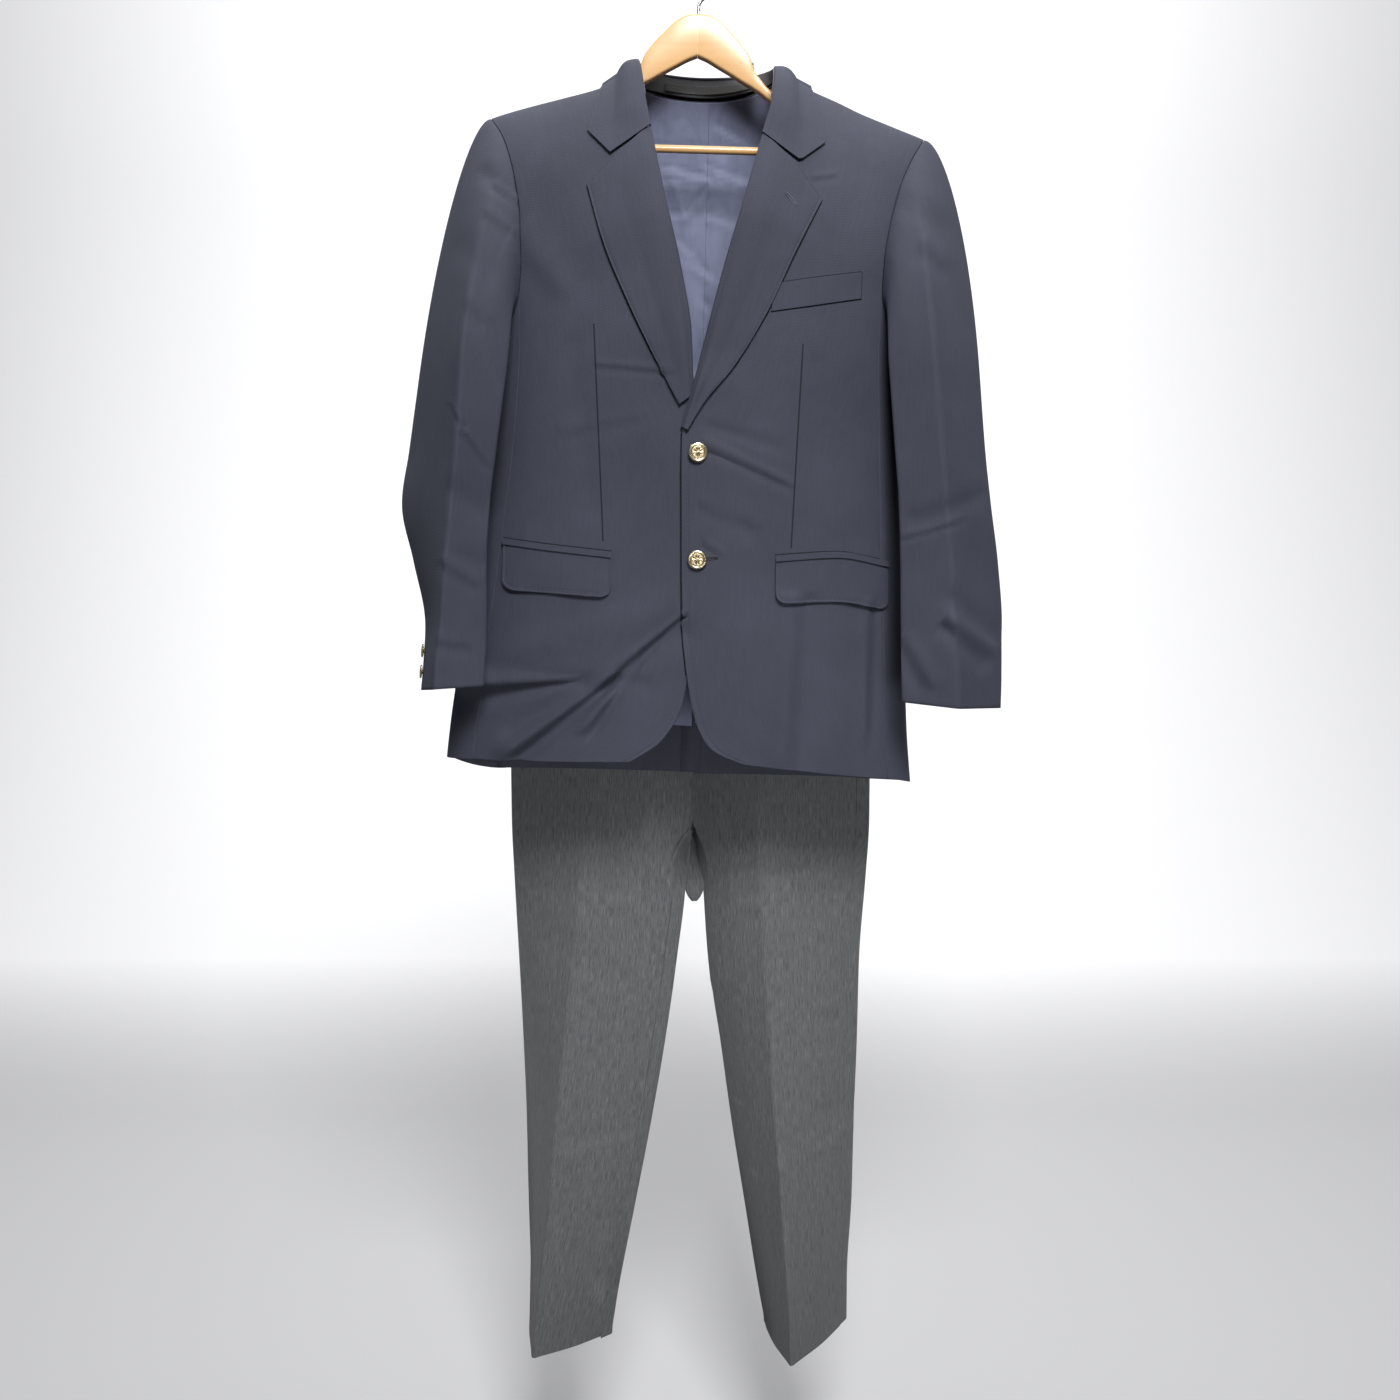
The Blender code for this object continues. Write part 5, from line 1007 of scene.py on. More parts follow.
# The collar: a leaf turned down over a felted stand, and the strip of the hanger loop inside.
COLLAR_LIFT = 0.0048
COLLAR_ROLL = 0.0045
STAND_RISE = 0.0012
LOOP_HEIGHT = (0.42, 0.88)
NECK_CENTRE = (0.008, -0.010, 0)
STAND_CLOTH = 0.0014
LOOP_CLOTH = 0.0011
LOOP_SPAN = (0.39, 0.64)

COLLAR_FOLD = columns(("s", "x", "y", "drop"), [
    (0.00, -0.0515, -0.0645, 0.180), (0.12, -0.057, -0.050, 0.148),
    (0.21, -0.0640, -0.022, 0.106), (0.25, -0.0660, 0.000, 0.0992), (0.30, -0.0595, 0.020, 0.0995),
    (0.40, -0.034, 0.044, 0.1025), (0.50, 0.007, 0.052, 0.104),
    (0.60, 0.050, 0.045, 0.104), (0.70, 0.073, 0.020, 0.105), (0.745, 0.0785, 0.000, 0.106),
    (0.79, 0.0785, -0.022, 0.114), (0.88, 0.0745, -0.050, 0.150),
    (1.00, 0.0645, -0.0665, 0.188)])

COLLAR_EDGE = columns(("s", "x", "drop", "face"), [
    (0.00, -0.115, 0.181, -1), (0.12, -0.108, 0.154, -1), (0.21, -0.1015, 0.1235, -1),
    (0.26, -0.0985, 0.1215, 1), (0.33, -0.088, 0.139, 1), (0.42, -0.048, 0.151, 1),
    (0.50, 0.007, 0.154, 1), (0.58, 0.060, 0.153, 1), (0.67, 0.102, 0.146, 1),
    (0.74, 0.1135, 0.124, 1), (0.79, 0.116, 0.1265, -1), (0.88, 0.122, 0.163, -1),
    (1.00, 0.128, 0.194, -1)])

COLLAR_NOTCH = {"left": (0.60, -0.0895, 0.209), "right": (0.56, 0.100, 0.217)}

NECK_SEAM = columns(("s", "x", "drop", "face"), [
    (0.13, -0.063, 0.149, -1), (0.21, -0.0745, 0.1215, -1), (0.245, -0.0765, 0.1150, 0),
    (0.28, -0.0735, 0.1180, 1), (0.36, -0.050, 0.1235, 1), (0.50, 0.008, 0.1285, 1),
    (0.64, 0.058, 0.1235, 1), (0.73, 0.080, 0.1170, 1), (0.765, 0.0825, 0.1145, 0),
    (0.80, 0.0810, 0.1200, -1), (0.87, 0.0755, 0.152, -1)])


def collar_curves(s):
    """Fold line and outer edge of the collar at shares s of the way round the neck."""
    fold = np.stack([smooth(COLLAR_FOLD, "x", s), smooth(COLLAR_FOLD, "y", s),
                     -smooth(COLLAR_FOLD, "drop", s)], -1)
    x, drop = smooth(COLLAR_EDGE, "x", s), smooth(COLLAR_EDGE, "drop", s)
    face = smooth(COLLAR_EDGE, "face", s)
    front = body_y(x, drop, -1) - COLLAR_LIFT
    back = body_y(x, drop, 1) + COLLAR_LIFT
    y = front + (back - front) * (face + 1) / 2
    return fold, np.stack([x, y, -drop], -1)


def stand_points(s, u):
    """Stand that rises from the neck seam to the fold, inside the leaf."""
    fold, _ = collar_curves(s)
    x, drop = smooth(NECK_SEAM, "x", s), smooth(NECK_SEAM, "drop", s)
    face = smooth(NECK_SEAM, "face", s)
    front, back = body_y(x, drop, -1), body_y(x, drop, 1)
    foot = np.stack([x, front + (back - front) * (face + 1) / 2, STAND_RISE - drop], -1)
    inward = (np.array(NECK_CENTRE) - fold) * (1, 1, 0)
    inward /= np.linalg.norm(inward, axis=-1, keepdims=True)
    head = fold + inward * (CLOTH + SEAM) - np.array([0, 0, CLOTH])
    return head[:, None] + (foot - head)[:, None] * np.asarray(u)[None, :, None]


def collar_leaf_piece():
    """Leaf from the fold line (u 0) to the outer edge (u 1), left notch to right notch."""
    s = graded(*MESH["collar_along"])
    fold, edge = collar_curves(s)
    u = graded(*MESH["collar_across"])[None, :, None]
    points = fold[:, None] + (edge - fold)[:, None] * u
    for end, name in ((0, "left"), (-1, "right")):
        at, notch_x, notch_drop = COLLAR_NOTCH[name]
        notch = body_point(notch_x, notch_drop, -1, COLLAR_LIFT)
        path = cornered(fold[end], notch, edge[end], at, u[0])
        far = s if end == 0 else 1 - s
        fade = np.clip(1 - far / 0.14, 0, 1)[:, None, None] ** 1.5
        points = points + (path - points[end])[None] * fade
    ends = ease(np.minimum(s, 1 - s) / 0.10)[:, None, None]
    bulge = COLLAR_ROLL * np.sin(math.pi * np.clip(u / 0.6, 0, 1)) * ends
    press = trough((1 - u) * 0.055, 0.0020, 0.0006, 0.0004)
    points = points + surface_normal(points, False) * (bulge - press)
    normal = surface_normal(points, False)
    full, facing = rolled_edge(points, normal, 0.0022, 6)
    piece = shell("cloth_collar_leaf", full, facing, 0.0016, NAVY)
    cut_piece(piece, "collar_leaf", full)
    sew("stitches_collar", points[2:-2, -4], normal[2:-2, -4])


def felt(name, colour):
    """Undercollar felt: matted wool with no weave, a soft even grain."""
    material, tree, shader = finish(name, colour, 0.92, Sheen_Weight=0.3)
    place = add(tree, "TexCoord").outputs["Object"]
    mat = add(tree, "TexNoise", {"Vector": place, "Scale": 650.0, "Detail": 4.0})
    bump = add(tree, "Bump", {"Height": mat.outputs["Fac"], "Strength": 0.4, "Distance": 0.0006})
    tone = mixed(tree, mat.outputs["Fac"], linear("#2A2B30"), linear(colour))
    tree.links.new(tone, shader.inputs["Base Color"])
    tree.links.new(bump.outputs["Normal"], shader.inputs["Normal"])
    return material


FELT = felt("Charcoal undercollar felt", "#3F4046")
OLIVE = felt("Olive black twill tape", "#35342F")


def stand_pieces():
    """Stand between the neck seam and the fold, and the loop's strip on its inner side."""
    s = np.linspace(NECK_SEAM["s"][0], NECK_SEAM["s"][-1], 90)
    points = stand_points(s, graded(*MESH["stand_across"]))
    normal = surface_normal(points, False)
    piece = shell("cloth_collar_stand", points, normal, STAND_CLOTH, FELT)
    cut_piece(piece, "collar_stand", points)
    s = np.linspace(*LOOP_SPAN, 36)
    low, high = LOOP_HEIGHT
    strip = stand_points(s, low + (high - low) * graded(*MESH["loop_across"], WELT_NEAR))
    inset = surface_normal(strip, False)
    inner = strip - inset * (STAND_CLOTH + 0.0003)
    piece = shell("cloth_hanger_loop", inner, inset, LOOP_CLOTH, OLIVE)
    cut_piece(piece, "hanger_loop", inner)


collar_leaf_piece()
stand_pieces()


# The sleeves: two-piece sleeves, set into the armhole over a rolled head and pressed flat, so
# that a crease runs down the front. They hang forward, bent a little at the elbow.
SLEEVE_RING_TOP = 0.42
TOP_SLEEVE_SPAN = (-0.32, 2.35)
SLEEVE_NICK = 0.001
SLEEVE_SOFTNESS = 0.09
SLEEVE_WALL = 0.0016

SLEEVE_LEFT = columns((
    "drop", "outer_x", "outer_y", "front_x", "front_y", "inner_x", "inner_y",
    "hollow_x", "hollow_y", "back_x", "back_y"), [
    (0.42, 0.303, -0.004, 0.240, -0.115, 0.194, -0.083, 0.240, -0.036, 0.262, 0.034),
    (0.50, 0.318, 0.003, 0.246, -0.118, 0.206, -0.086, 0.246, -0.040, 0.272, 0.026),
    (0.56, 0.327, 0.002, 0.253, -0.120, 0.214, -0.089, 0.258, -0.040, 0.300, 0.018),
    (0.62, 0.314, -0.006, 0.260, -0.121, 0.218, -0.091, 0.262, -0.042, 0.290, 0.012),
    (0.68, 0.302, -0.009, 0.266, -0.121, 0.219, -0.091, 0.266, -0.043, 0.284, 0.008),
    (0.72, 0.305, -0.011, 0.272, -0.121, 0.221, -0.091, 0.269, -0.044, 0.287, 0.006),
    (0.7465, 0.308, -0.012, 0.274, -0.121, 0.223, -0.092, 0.271, -0.046, 0.290, 0.004)])

SLEEVE_RIGHT = columns((
    "drop", "outer_x", "outer_y", "front_x", "front_y", "inner_x", "inner_y",
    "hollow_x", "hollow_y", "back_x", "back_y"), [
    (0.42, 0.297, -0.030, 0.238, -0.104, 0.190, -0.083, 0.234, -0.030, 0.262, 0.028),
    (0.50, 0.303, -0.040, 0.246, -0.107, 0.197, -0.087, 0.236, -0.034, 0.270, 0.014),
    (0.56, 0.310, -0.045, 0.252, -0.109, 0.202, -0.090, 0.240, -0.040, 0.278, 0.004),
    (0.62, 0.318, -0.050, 0.258, -0.112, 0.204, -0.093, 0.246, -0.046, 0.288, -0.004),
    (0.68, 0.323, -0.055, 0.262, -0.114, 0.205, -0.096, 0.250, -0.052, 0.294, -0.014),
    (0.73, 0.323, -0.060, 0.265, -0.116, 0.206, -0.100, 0.254, -0.060, 0.296, -0.026),
    (0.762, 0.322, -0.065, 0.266, -0.117, 0.207, -0.101, 0.256, -0.064, 0.296, -0.032)])

CUFF_SLANT = {"left": (0.0148, 0.0, 0.0, 0.0040, 0.0150),
              "right": (0.0115, 0.0050, 0.0, 0.0020, 0.0115)}
CUFF_SLANT_FROM = 0.60

SLEEVE_HEAD = columns(("corner", "armhole", "out", "forward", "rise", "reach", "lift"), [
    (0, 0.00, 1.00, 0.00, 0.10, 0.020, 0.150),
    (1, 0.25, 0.85, 0.50, 0.00, 0.022, 0.090),
    (2, 0.70, 0.30, 0.95, -0.10, 0.018, 0.030),
    (3, 1.00, 0.85, 0.15, -0.50, 0.007, 0.010),
    (4, 1.55, 0.85, -0.50, 0.00, 0.022, 0.060),
    (5, 2.00, 1.00, 0.00, 0.10, 0.020, 0.150)])

SLEEVE_FOLDS = columns(("x0", "drop0", "x1", "drop1", "width", "depth"), [
    (-0.222, 0.222, -0.196, 0.242, 0.009, -0.0035),
    (-0.245, 0.300, -0.215, 0.330, 0.014, -0.0025),
    (-0.250, 0.545, -0.215, 0.570, 0.012, -0.0030),
    (-0.245, 0.610, -0.225, 0.620, 0.010, -0.0020),
    (0.215, 0.255, 0.250, 0.275, 0.014, -0.0030),
    (0.220, 0.575, 0.290, 0.552, 0.010, -0.0030),
    (0.260, 0.655, 0.312, 0.700, 0.011, -0.0040)])

SLEEVE_CREASES = columns(("x0", "drop0", "x1", "drop1", "near", "far", "low", "high"), [
    (-0.212, 0.235, -0.182, 0.254, 0.0030, 0.0035, 0.0022, 0.0022),
    (-0.218, 0.267, -0.189, 0.287, 0.0040, 0.0040, 0.0016, 0.0016),
    (-0.237, 0.487, -0.214, 0.524, 0.0030, 0.0030, 0.0022, 0.0018),
    (-0.252, 0.457, -0.239, 0.479, 0.0025, 0.0025, 0.0014, 0.0012),
    (-0.236, 0.358, -0.213, 0.379, 0.0060, 0.0050, 0.0014, 0.0012),
    (-0.264, 0.615, -0.229, 0.643, 0.0060, 0.0050, 0.0016, 0.0014),
    (-0.271, 0.697, -0.236, 0.705, 0.0060, 0.0050, 0.0010, 0.0010),
    (0.209, 0.593, 0.272, 0.573, 0.0026, 0.0022, 0.0016, 0.0016),
    (0.250, 0.678, 0.309, 0.719, 0.0070, 0.0090, 0.0032, 0.0050),
    (0.207, 0.697, 0.237, 0.748, 0.0080, 0.0080, 0.0018, 0.0022),
    (0.222, 0.300, 0.257, 0.321, 0.0080, 0.0080, 0.0018, 0.0018)])


def rounded(corners, t, soft):
    """Closed polygon of corners, each side rounded into the next by a moving mean."""
    count = len(corners)
    total = 0.0
    offsets = np.linspace(-1, 1, 25)
    for offset in offsets:
        at = np.mod(t + offset * soft, count)
        i = np.floor(at).astype(int) % count
        part = (at - np.floor(at))[:, None, None]
        total = total + corners[i] * (1 - part) + corners[(i + 1) % count] * part
    return total / len(offsets)


def sleeve_ring(side, t, drop):
    """Level section of a sleeve below the armhole at corner coordinate t."""
    table = SLEEVE_LEFT if side < 0 else SLEEVE_RIGHT
    keys = ("outer", "front", "inner", "hollow", "back")
    slant = CUFF_SLANT["left" if side < 0 else "right"]
    near_cuff = ease((drop - CUFF_SLANT_FROM) / (table["drop"][-1] - CUFF_SLANT_FROM))
    corners = np.stack([np.stack([side * smooth(table, key + "_x", drop),
                                  smooth(table, key + "_y", drop),
                                  -drop - low * near_cuff], -1) for key, low in zip(keys, slant)])
    return rounded(corners, t, SLEEVE_SOFTNESS)


def sleeve_grid(side, t, cap_rows=40, ring_rows=100):
    """Sleeve points: a cap of cubic arcs from the armhole, then level rings to the cuff."""
    wrapped = np.mod(t, 5)
    head = {key: smooth(SLEEVE_HEAD, key, wrapped) for key in SLEEVE_HEAD}
    seam, _, _ = armhole(side, head["armhole"])
    way = np.stack([side * head["out"], -head["forward"], head["rise"]], -1)
    way /= np.linalg.norm(way, axis=-1, keepdims=True)
    start = seam + way * ARMHOLE_GAP
    table = SLEEVE_LEFT if side < 0 else SLEEVE_RIGHT
    drops = np.linspace(SLEEVE_RING_TOP, table["drop"][-1], ring_rows)
    rings = np.swapaxes(sleeve_ring(side, t, drops), 0, 1)
    ring = rings[0]
    slope = (ring - rings[1]) / (drops[1] - drops[0])
    reach, lift = head["reach"][:, None], head["lift"][:, None]
    v = np.linspace(0, 1, cap_rows, endpoint=False)[:, None, None]
    cap = (start * (1 - v) ** 3 + (start + way * reach) * 3 * v * (1 - v) ** 2
           + (ring + slope * lift) * 3 * v * v * (1 - v) + ring * v ** 3)
    return np.concatenate([cap, rings])


def shaped(grid, side, t, folds):
    """A tube's points with its folds, and its normals, the same on both sides of a seam."""
    tiny = 0.02
    points, before, after = grid(side, t), grid(side, t - tiny), grid(side, t + tiny)
    down = np.gradient(points, axis=0)
    normal = np.cross(down, after - before) * -side
    normal /= np.linalg.norm(normal, axis=-1, keepdims=True)
    x, drop = points[..., 0], -points[..., 2]
    amount = (relief(folds[0], x, drop) + creases(folds[1], x, drop)) * np.clip(-normal[..., 1], 0, 1)
    return points + normal * amount[..., None], normal


def sleeve_pieces(side):
    """Top sleeve and under sleeve: one form, parted at the front and elbow seams."""
    name = "left" if side < 0 else "right"
    start, end = TOP_SLEEVE_SPAN
    for part, first, last, wide in (("top_sleeve_", start, end, 0.20),
                                    ("under_sleeve_", end, start + 5, 0.12)):
        t = first + SLEEVE_NICK + (last - first - 2 * SLEEVE_NICK) * graded(wide, 0.0027)
        points, normal = shaped(sleeve_grid, side, t, (SLEEVE_FOLDS, SLEEVE_CREASES))
        node = part + name
        piece = shell("cloth_" + node, points, normal, SLEEVE_WALL, NAVY)
        cut_piece(piece, node, points)


sleeve_pieces(-1)
sleeve_pieces(1)


# The buttons: stamped brass shells with an antique finish, dark in the recesses and rubbed
# bright on the rim, shanks sewn through the cloth. The stamping is a plain rosette.
FRONT_BUTTON_RADIUS = 0.0100
CUFF_BUTTON_RADIUS = 0.0075
BUTTON_SEAT = 0.0005
FRONT_BUTTON_X = -0.003
FRONT_BUTTON_DROPS = (0.506, 0.615)
CUFF_BUTTON_DROPS = (0.706, 0.727)
CUFF_BUTTON_TURN = {"left": 0.16, "right": -0.46}
BUTTON_DOME = ((0.00, 0.330), (0.55, 0.330), (0.66, 0.345), (0.74, 0.410), (0.82, 0.430), (0.92, 0.400),
               (1.00, 0.300), (0.98, 0.240), (0.86, 0.200), (0.34, 0.170), (0.34, 0.000), (0.00, 0.000))


def antique_brass():
    """Antique brass: a dark patina stays in the recesses, the raised rim is rubbed bright."""
    material, tree, shader = finish("Antique brass, stamped and relieved", "#C9B183", 0.30, 1.0)
    worn = add(tree, "Attribute", attribute_name="raised").outputs["Fac"]
    place = add(tree, "TexCoord").outputs["Object"]
    spots = add(tree, "TexNoise", {"Vector": place, "Scale": 900.0, "Detail": 3.0}).outputs["Fac"]
    share = add(tree, "Math", {0: spots, 1: 0.35, 2: worn}, operation="MULTIPLY_ADD")
    share = add(tree, "MapRange", {"Value": share.outputs[0], "From Min": 0.15, "From Max": 0.95}).outputs[0]
    tree.links.new(mixed(tree, share, linear("#7C6742"), linear("#F3E4BE")), shader.inputs["Base Color"])
    rough = add(tree, "MapRange", {"Value": share, "To Min": 0.5, "To Max": 0.24}).outputs[0]
    tree.links.new(rough, shader.inputs["Roughness"])
    return material


BRASS = antique_brass()


def button(node, radius, seat, facing, slices=96):
    """Turned dome with a stamped face: height = dome(r) + rosette(r, angle), milled at the rim."""
    r, h = np.array(BUTTON_DOME).T
    at = np.concatenate([np.linspace(0, 6, 40), np.linspace(6.25, 11, 18)])
    rows = np.arange(len(r))
    radial, height = np.interp(at, rows, r), np.interp(at, rows, h)
    turn = np.linspace(0, 2 * math.pi, slices, endpoint=False)
    inside = ease((0.64 - radial) / 0.08)[:, None] * (at < 5)[:, None]
    petals = 0.5 + 0.5 * np.cos(8 * turn)[None] * np.sin(math.pi * np.clip(radial / 0.56, 0, 1))[:, None]
    beads = (0.5 + 0.5 * np.cos(36 * turn))[None] * np.exp(-((radial - 0.62) / 0.04) ** 2)[:, None]
    centre = np.exp(-(radial / 0.12) ** 2)[:, None]
    stamp = (0.075 * petals * inside + 0.05 * centre + 0.035 * beads) * (at < 5)[:, None]
    milled = 0.012 * np.cos(48 * turn)[None] * np.exp(-((radial - 0.95) / 0.06) ** 2)[:, None]
    raised = np.clip(stamp / 0.075, 0, 1) * 0.75 + ease((radial - 0.66) / 0.1)[:, None]
    z = (height[:, None] + stamp + milled * (at < 7)[:, None]) * radius
    ring = np.stack([radial[:, None] * np.cos(turn), radial[:, None] * np.sin(turn)], -1) * radius
    verts = np.concatenate([ring, z[..., None]], -1)
    rows_kept = verts[1:-1].reshape(-1, 3)
    poles = np.array([[0, 0, z[0, 0]], [0, 0, z[-1, 0]]])
    spin = np.array(Vector(facing).to_track_quat("Z", "Y").to_matrix())
    place = np.concatenate([rows_kept, poles]) @ spin.T + np.array(seat)
    body = grid_faces(len(at) - 2, slices, True)[:, ::-1]
    j = np.arange(slices)
    top, foot = len(rows_kept), len(rows_kept) + 1
    last = (len(at) - 3) * slices
    caps = [(top, a, (a + 1) % slices) for a in j.tolist()]
    caps += [(foot, last + (a + 1) % slices, last + a) for a in j.tolist()]
    mesh = bpy.data.meshes.new("stamped_" + node)
    mesh.from_pydata(place.tolist(), [], body.tolist() + caps)
    mesh.materials.append(BRASS)
    mesh.shade_smooth()
    mark = mesh.attributes.new("raised", "FLOAT", "POINT")
    share = np.concatenate([np.clip(raised, 0, 1)[1:-1].ravel(), [0.6, 0.3]])
    mark.data.foreach_set("value", share)
    thing = bpy.data.objects.new("stamped_" + node, mesh)
    GARMENT.objects.link(thing)
    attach(thing, "root")
    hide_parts(node)


def all_buttons():
    """Two on the right front, two on each cuff, where the CAD shanks stand."""
    for name, drop in zip(("button_upper", "button_lower"), FRONT_BUTTON_DROPS):
        x = np.array([FRONT_BUTTON_X])
        d = np.array([drop])
        seat = body_point(x, d, -1, front_lift(x, d) + BUTTON_SEAT)[0]
        button(name, FRONT_BUTTON_RADIUS, seat, body_normal(x, d, -1)[0])
    for side, name in ((-1, "left"), (1, "right")):
        t = CUFF_BUTTON_TURN[name]
        for label, drop in zip(("upper", "lower"), CUFF_BUTTON_DROPS):
            t3 = np.array([t - 0.05, t, t + 0.05])
            d3 = np.array([drop - 0.004, drop, drop + 0.004])
            grid = np.swapaxes(sleeve_ring(side, t3, d3), 0, 1)
            facing = surface_normal(grid, side > 0)[1, 1]
            seat = grid[1, 1] + facing * BUTTON_SEAT
            button("cuff_button_" + name + "_" + label, CUFF_BUTTON_RADIUS, seat, facing, 48)


all_buttons()


# Buttonholes: a slit bound all round with dense silk stitches; one also stands in the lapel.
HOLE_SILK, _, _ = finish("Buttonhole silk, closely wound", "#1C1D24", 0.6)
LAPEL_SILK, _, _ = finish("Lapel buttonhole silk, closely wound", "#50535F", 0.6)


def wound_hole(name, centre, along, up, half, silk):
    """Oval cord round a slit: a ring swept round a stadium, its radius rippled by the stitches."""
    along = np.array(along) / np.linalg.norm(along)
    across = np.cross(up, along)
    s = np.linspace(0, 2 * math.pi, 120, endpoint=False)
    ring = np.stack([half * np.sign(np.cos(s)) * np.abs(np.cos(s)) ** 0.7, 0.0011 * np.sin(s)], -1)
    middle = np.array(centre) + ring[:, :1] * along + ring[:, 1:] * across
    outward = ring / np.linalg.norm(ring * (0.1, 1), axis=-1, keepdims=True) * (0.1, 1)
    outward = outward[:, :1] * along + outward[:, 1:] * across
    turn = np.linspace(0, 2 * math.pi, 6, endpoint=False)
    girth = 0.00055 * (1 + 0.25 * np.cos(40 * s))[:, None, None]
    tube = (outward[:, None] * np.cos(turn)[:, None] + np.array(up) * np.sin(turn)[:, None]) * girth
    verts = (middle[:, None] + tube).reshape(-1, 3)
    i, j = np.meshgrid(np.arange(120), np.arange(6), indexing="ij")
    n, m = (i + 1) % 120, (j + 1) % 6
    faces = np.stack([i * 6 + j, n * 6 + j, n * 6 + m, i * 6 + m], -1).reshape(-1, 4)
    piece = mesh_object(name, verts, faces, silk)
    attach(piece, "root")


def front_holes():
    """Two holes beside the front buttons and one in the right lapel, on their surfaces."""
    for label, drop in zip(("upper", "lower"), FRONT_BUTTON_DROPS):
        x = np.array([FRONT_BUTTON_X + 0.0125])
        d = np.array([drop - 0.001])
        seat = body_point(x, d, -1, front_lift(x, d) + 0.0002)[0]
        wound_hole("buttonhole_" + label, seat, (1, 0, 0.05), body_normal(x, d, -1)[0], 0.0085, HOLE_SILK)
    x, d = np.array([0.0905]), np.array([0.2575])
    seat = body_point(x, d, -1, LAPEL_LIFT + 0.0002)[0]
    wound_hole("buttonhole_lapel", seat, (0.66, 0, -0.75), body_normal(x, d, -1)[0], 0.0085, LAPEL_SILK)


front_holes()


# The trousers: grey melange worsted, dyed in the fibre, so light and dark threads show as fine
# upright streaks. Creased front and back, they hang flat at the waist behind the jacket.
TROUSER_WALL = 0.0015
WAIST_TOP = 0.690
WAISTBAND = 0.035
FORK_DROP = 0.930
FORK_TURN = 0.03
FORK_REACH = 0.05
SEAT_START = 0.950
SEAT_REACH = 0.070
SEAT_LAP = 0.013
SEAT_LAP_LENGTH = 0.078
SEAT_ROUND = 0.030
SEAT_BACK = (0.116, 0.146)
SEAT_RISE = 0.10
TROUSER_CENTRE = -0.0085
LEG_FULLNESS = 0.003
LEG_SEAM = 0.15
LEG_SOFTNESS = 0.055
SEAM_NICK = 0.0006

LEG_LEFT = columns((
    "drop", "outer_x", "outer_y", "front_x", "front_y", "inner_x", "inner_y",
    "back_x", "back_y"), [
    (0.725, -0.208, 0.108, -0.110, 0.101, -0.009, 0.100, -0.110, 0.115),
    (0.80, -0.229, 0.107, -0.121, 0.072, -0.009, 0.094, -0.118, 0.148),
    (0.93, -0.229, 0.105, -0.132, 0.060, -0.011, 0.090, -0.118, 0.158),
    (1.00, -0.227, 0.105, -0.139, 0.053, -0.013, 0.084, -0.112, 0.158),
    (1.10, -0.223, 0.105, -0.150, 0.043, -0.025, 0.074, -0.106, 0.152),
    (1.20, -0.219, 0.105, -0.162, 0.030, -0.040, 0.065, -0.102, 0.148),
    (1.30, -0.216, 0.105, -0.172, 0.017, -0.058, 0.056, -0.102, 0.146),
    (1.40, -0.215, 0.105, -0.181, 0.003, -0.078, 0.047, -0.106, 0.143),
    (1.50, -0.213, 0.105, -0.193, -0.012, -0.098, 0.038, -0.113, 0.141),
    (1.55, -0.212, 0.105, -0.198, -0.020, -0.106, 0.035, -0.117, 0.140)])

LEG_RIGHT = columns((
    "drop", "outer_x", "outer_y", "front_x", "front_y", "inner_x", "inner_y",
    "back_x", "back_y"), [
    (0.725, 0.190, 0.108, 0.086, 0.101, -0.008, 0.100, 0.092, 0.115),
    (0.80, 0.206, 0.104, 0.072, 0.072, -0.008, 0.094, 0.100, 0.148),
    (0.93, 0.206, 0.097, 0.068, 0.056, -0.006, 0.091, 0.104, 0.158),
    (1.00, 0.202, 0.094, 0.072, 0.046, 0.000, 0.088, 0.108, 0.158),
    (1.10, 0.195, 0.090, 0.078, 0.032, 0.007, 0.084, 0.112, 0.156),
    (1.20, 0.193, 0.085, 0.084, 0.018, 0.022, 0.080, 0.120, 0.155),
    (1.30, 0.190, 0.081, 0.091, 0.003, 0.036, 0.075, 0.128, 0.154),
    (1.40, 0.188, 0.076, 0.098, -0.011, 0.052, 0.071, 0.136, 0.153),
    (1.50, 0.183, 0.072, 0.104, -0.025, 0.068, 0.067, 0.146, 0.151),
    (1.55, 0.183, 0.070, 0.106, -0.030, 0.077, 0.065, 0.150, 0.150)])

LEG_HEM = {"left": (1.553, 1.556), "right": (1.557, 1.556)}

LEG_FOLDS = columns(("x0", "drop0", "x1", "drop1", "width", "depth"), [
    (-0.165, 1.303, -0.070, 1.300, 0.010, -0.0012),
    (-0.160, 1.325, -0.085, 1.318, 0.010, 0.0020),
    (0.092, 1.305, 0.185, 1.280, 0.010, -0.0012),
    (0.095, 1.330, 0.175, 1.312, 0.010, 0.0020),
    (0.030, 0.990, 0.065, 0.978, 0.008, -0.0025),
    (0.080, 0.985, 0.160, 0.978, 0.009, -0.0025),
    (-0.075, 0.960, -0.050, 0.980, 0.009, -0.0025),
    (-0.200, 1.050, -0.110, 1.110, 0.016, -0.0020)])

LEG_CREASES = columns(("x0", "drop0", "x1", "drop1", "near", "far", "low", "high"), [
    (-0.167, 1.322, -0.066, 1.310, 0.0050, 0.0045, 0.0013, 0.0011),
    (0.100, 1.322, 0.187, 1.290, 0.0050, 0.0050, 0.0013, 0.0012),
    (0.026, 0.990, 0.061, 0.975, 0.0040, 0.0040, 0.0014, 0.0012),
    (0.079, 0.984, 0.149, 0.975, 0.0040, 0.0045, 0.0014, 0.0010),
    (-0.081, 0.943, -0.058, 0.974, 0.0040, 0.0040, 0.0014, 0.0010),
    (-0.112, 0.948, -0.037, 1.017, 0.0100, 0.0140, 0.0012, 0.0012),
    (-0.120, 1.365, -0.087, 1.352, 0.0080, 0.0080, 0.0008, 0.0006),
    (0.000, 1.139, 0.047, 1.121, 0.0080, 0.0080, 0.0010, 0.0010)])


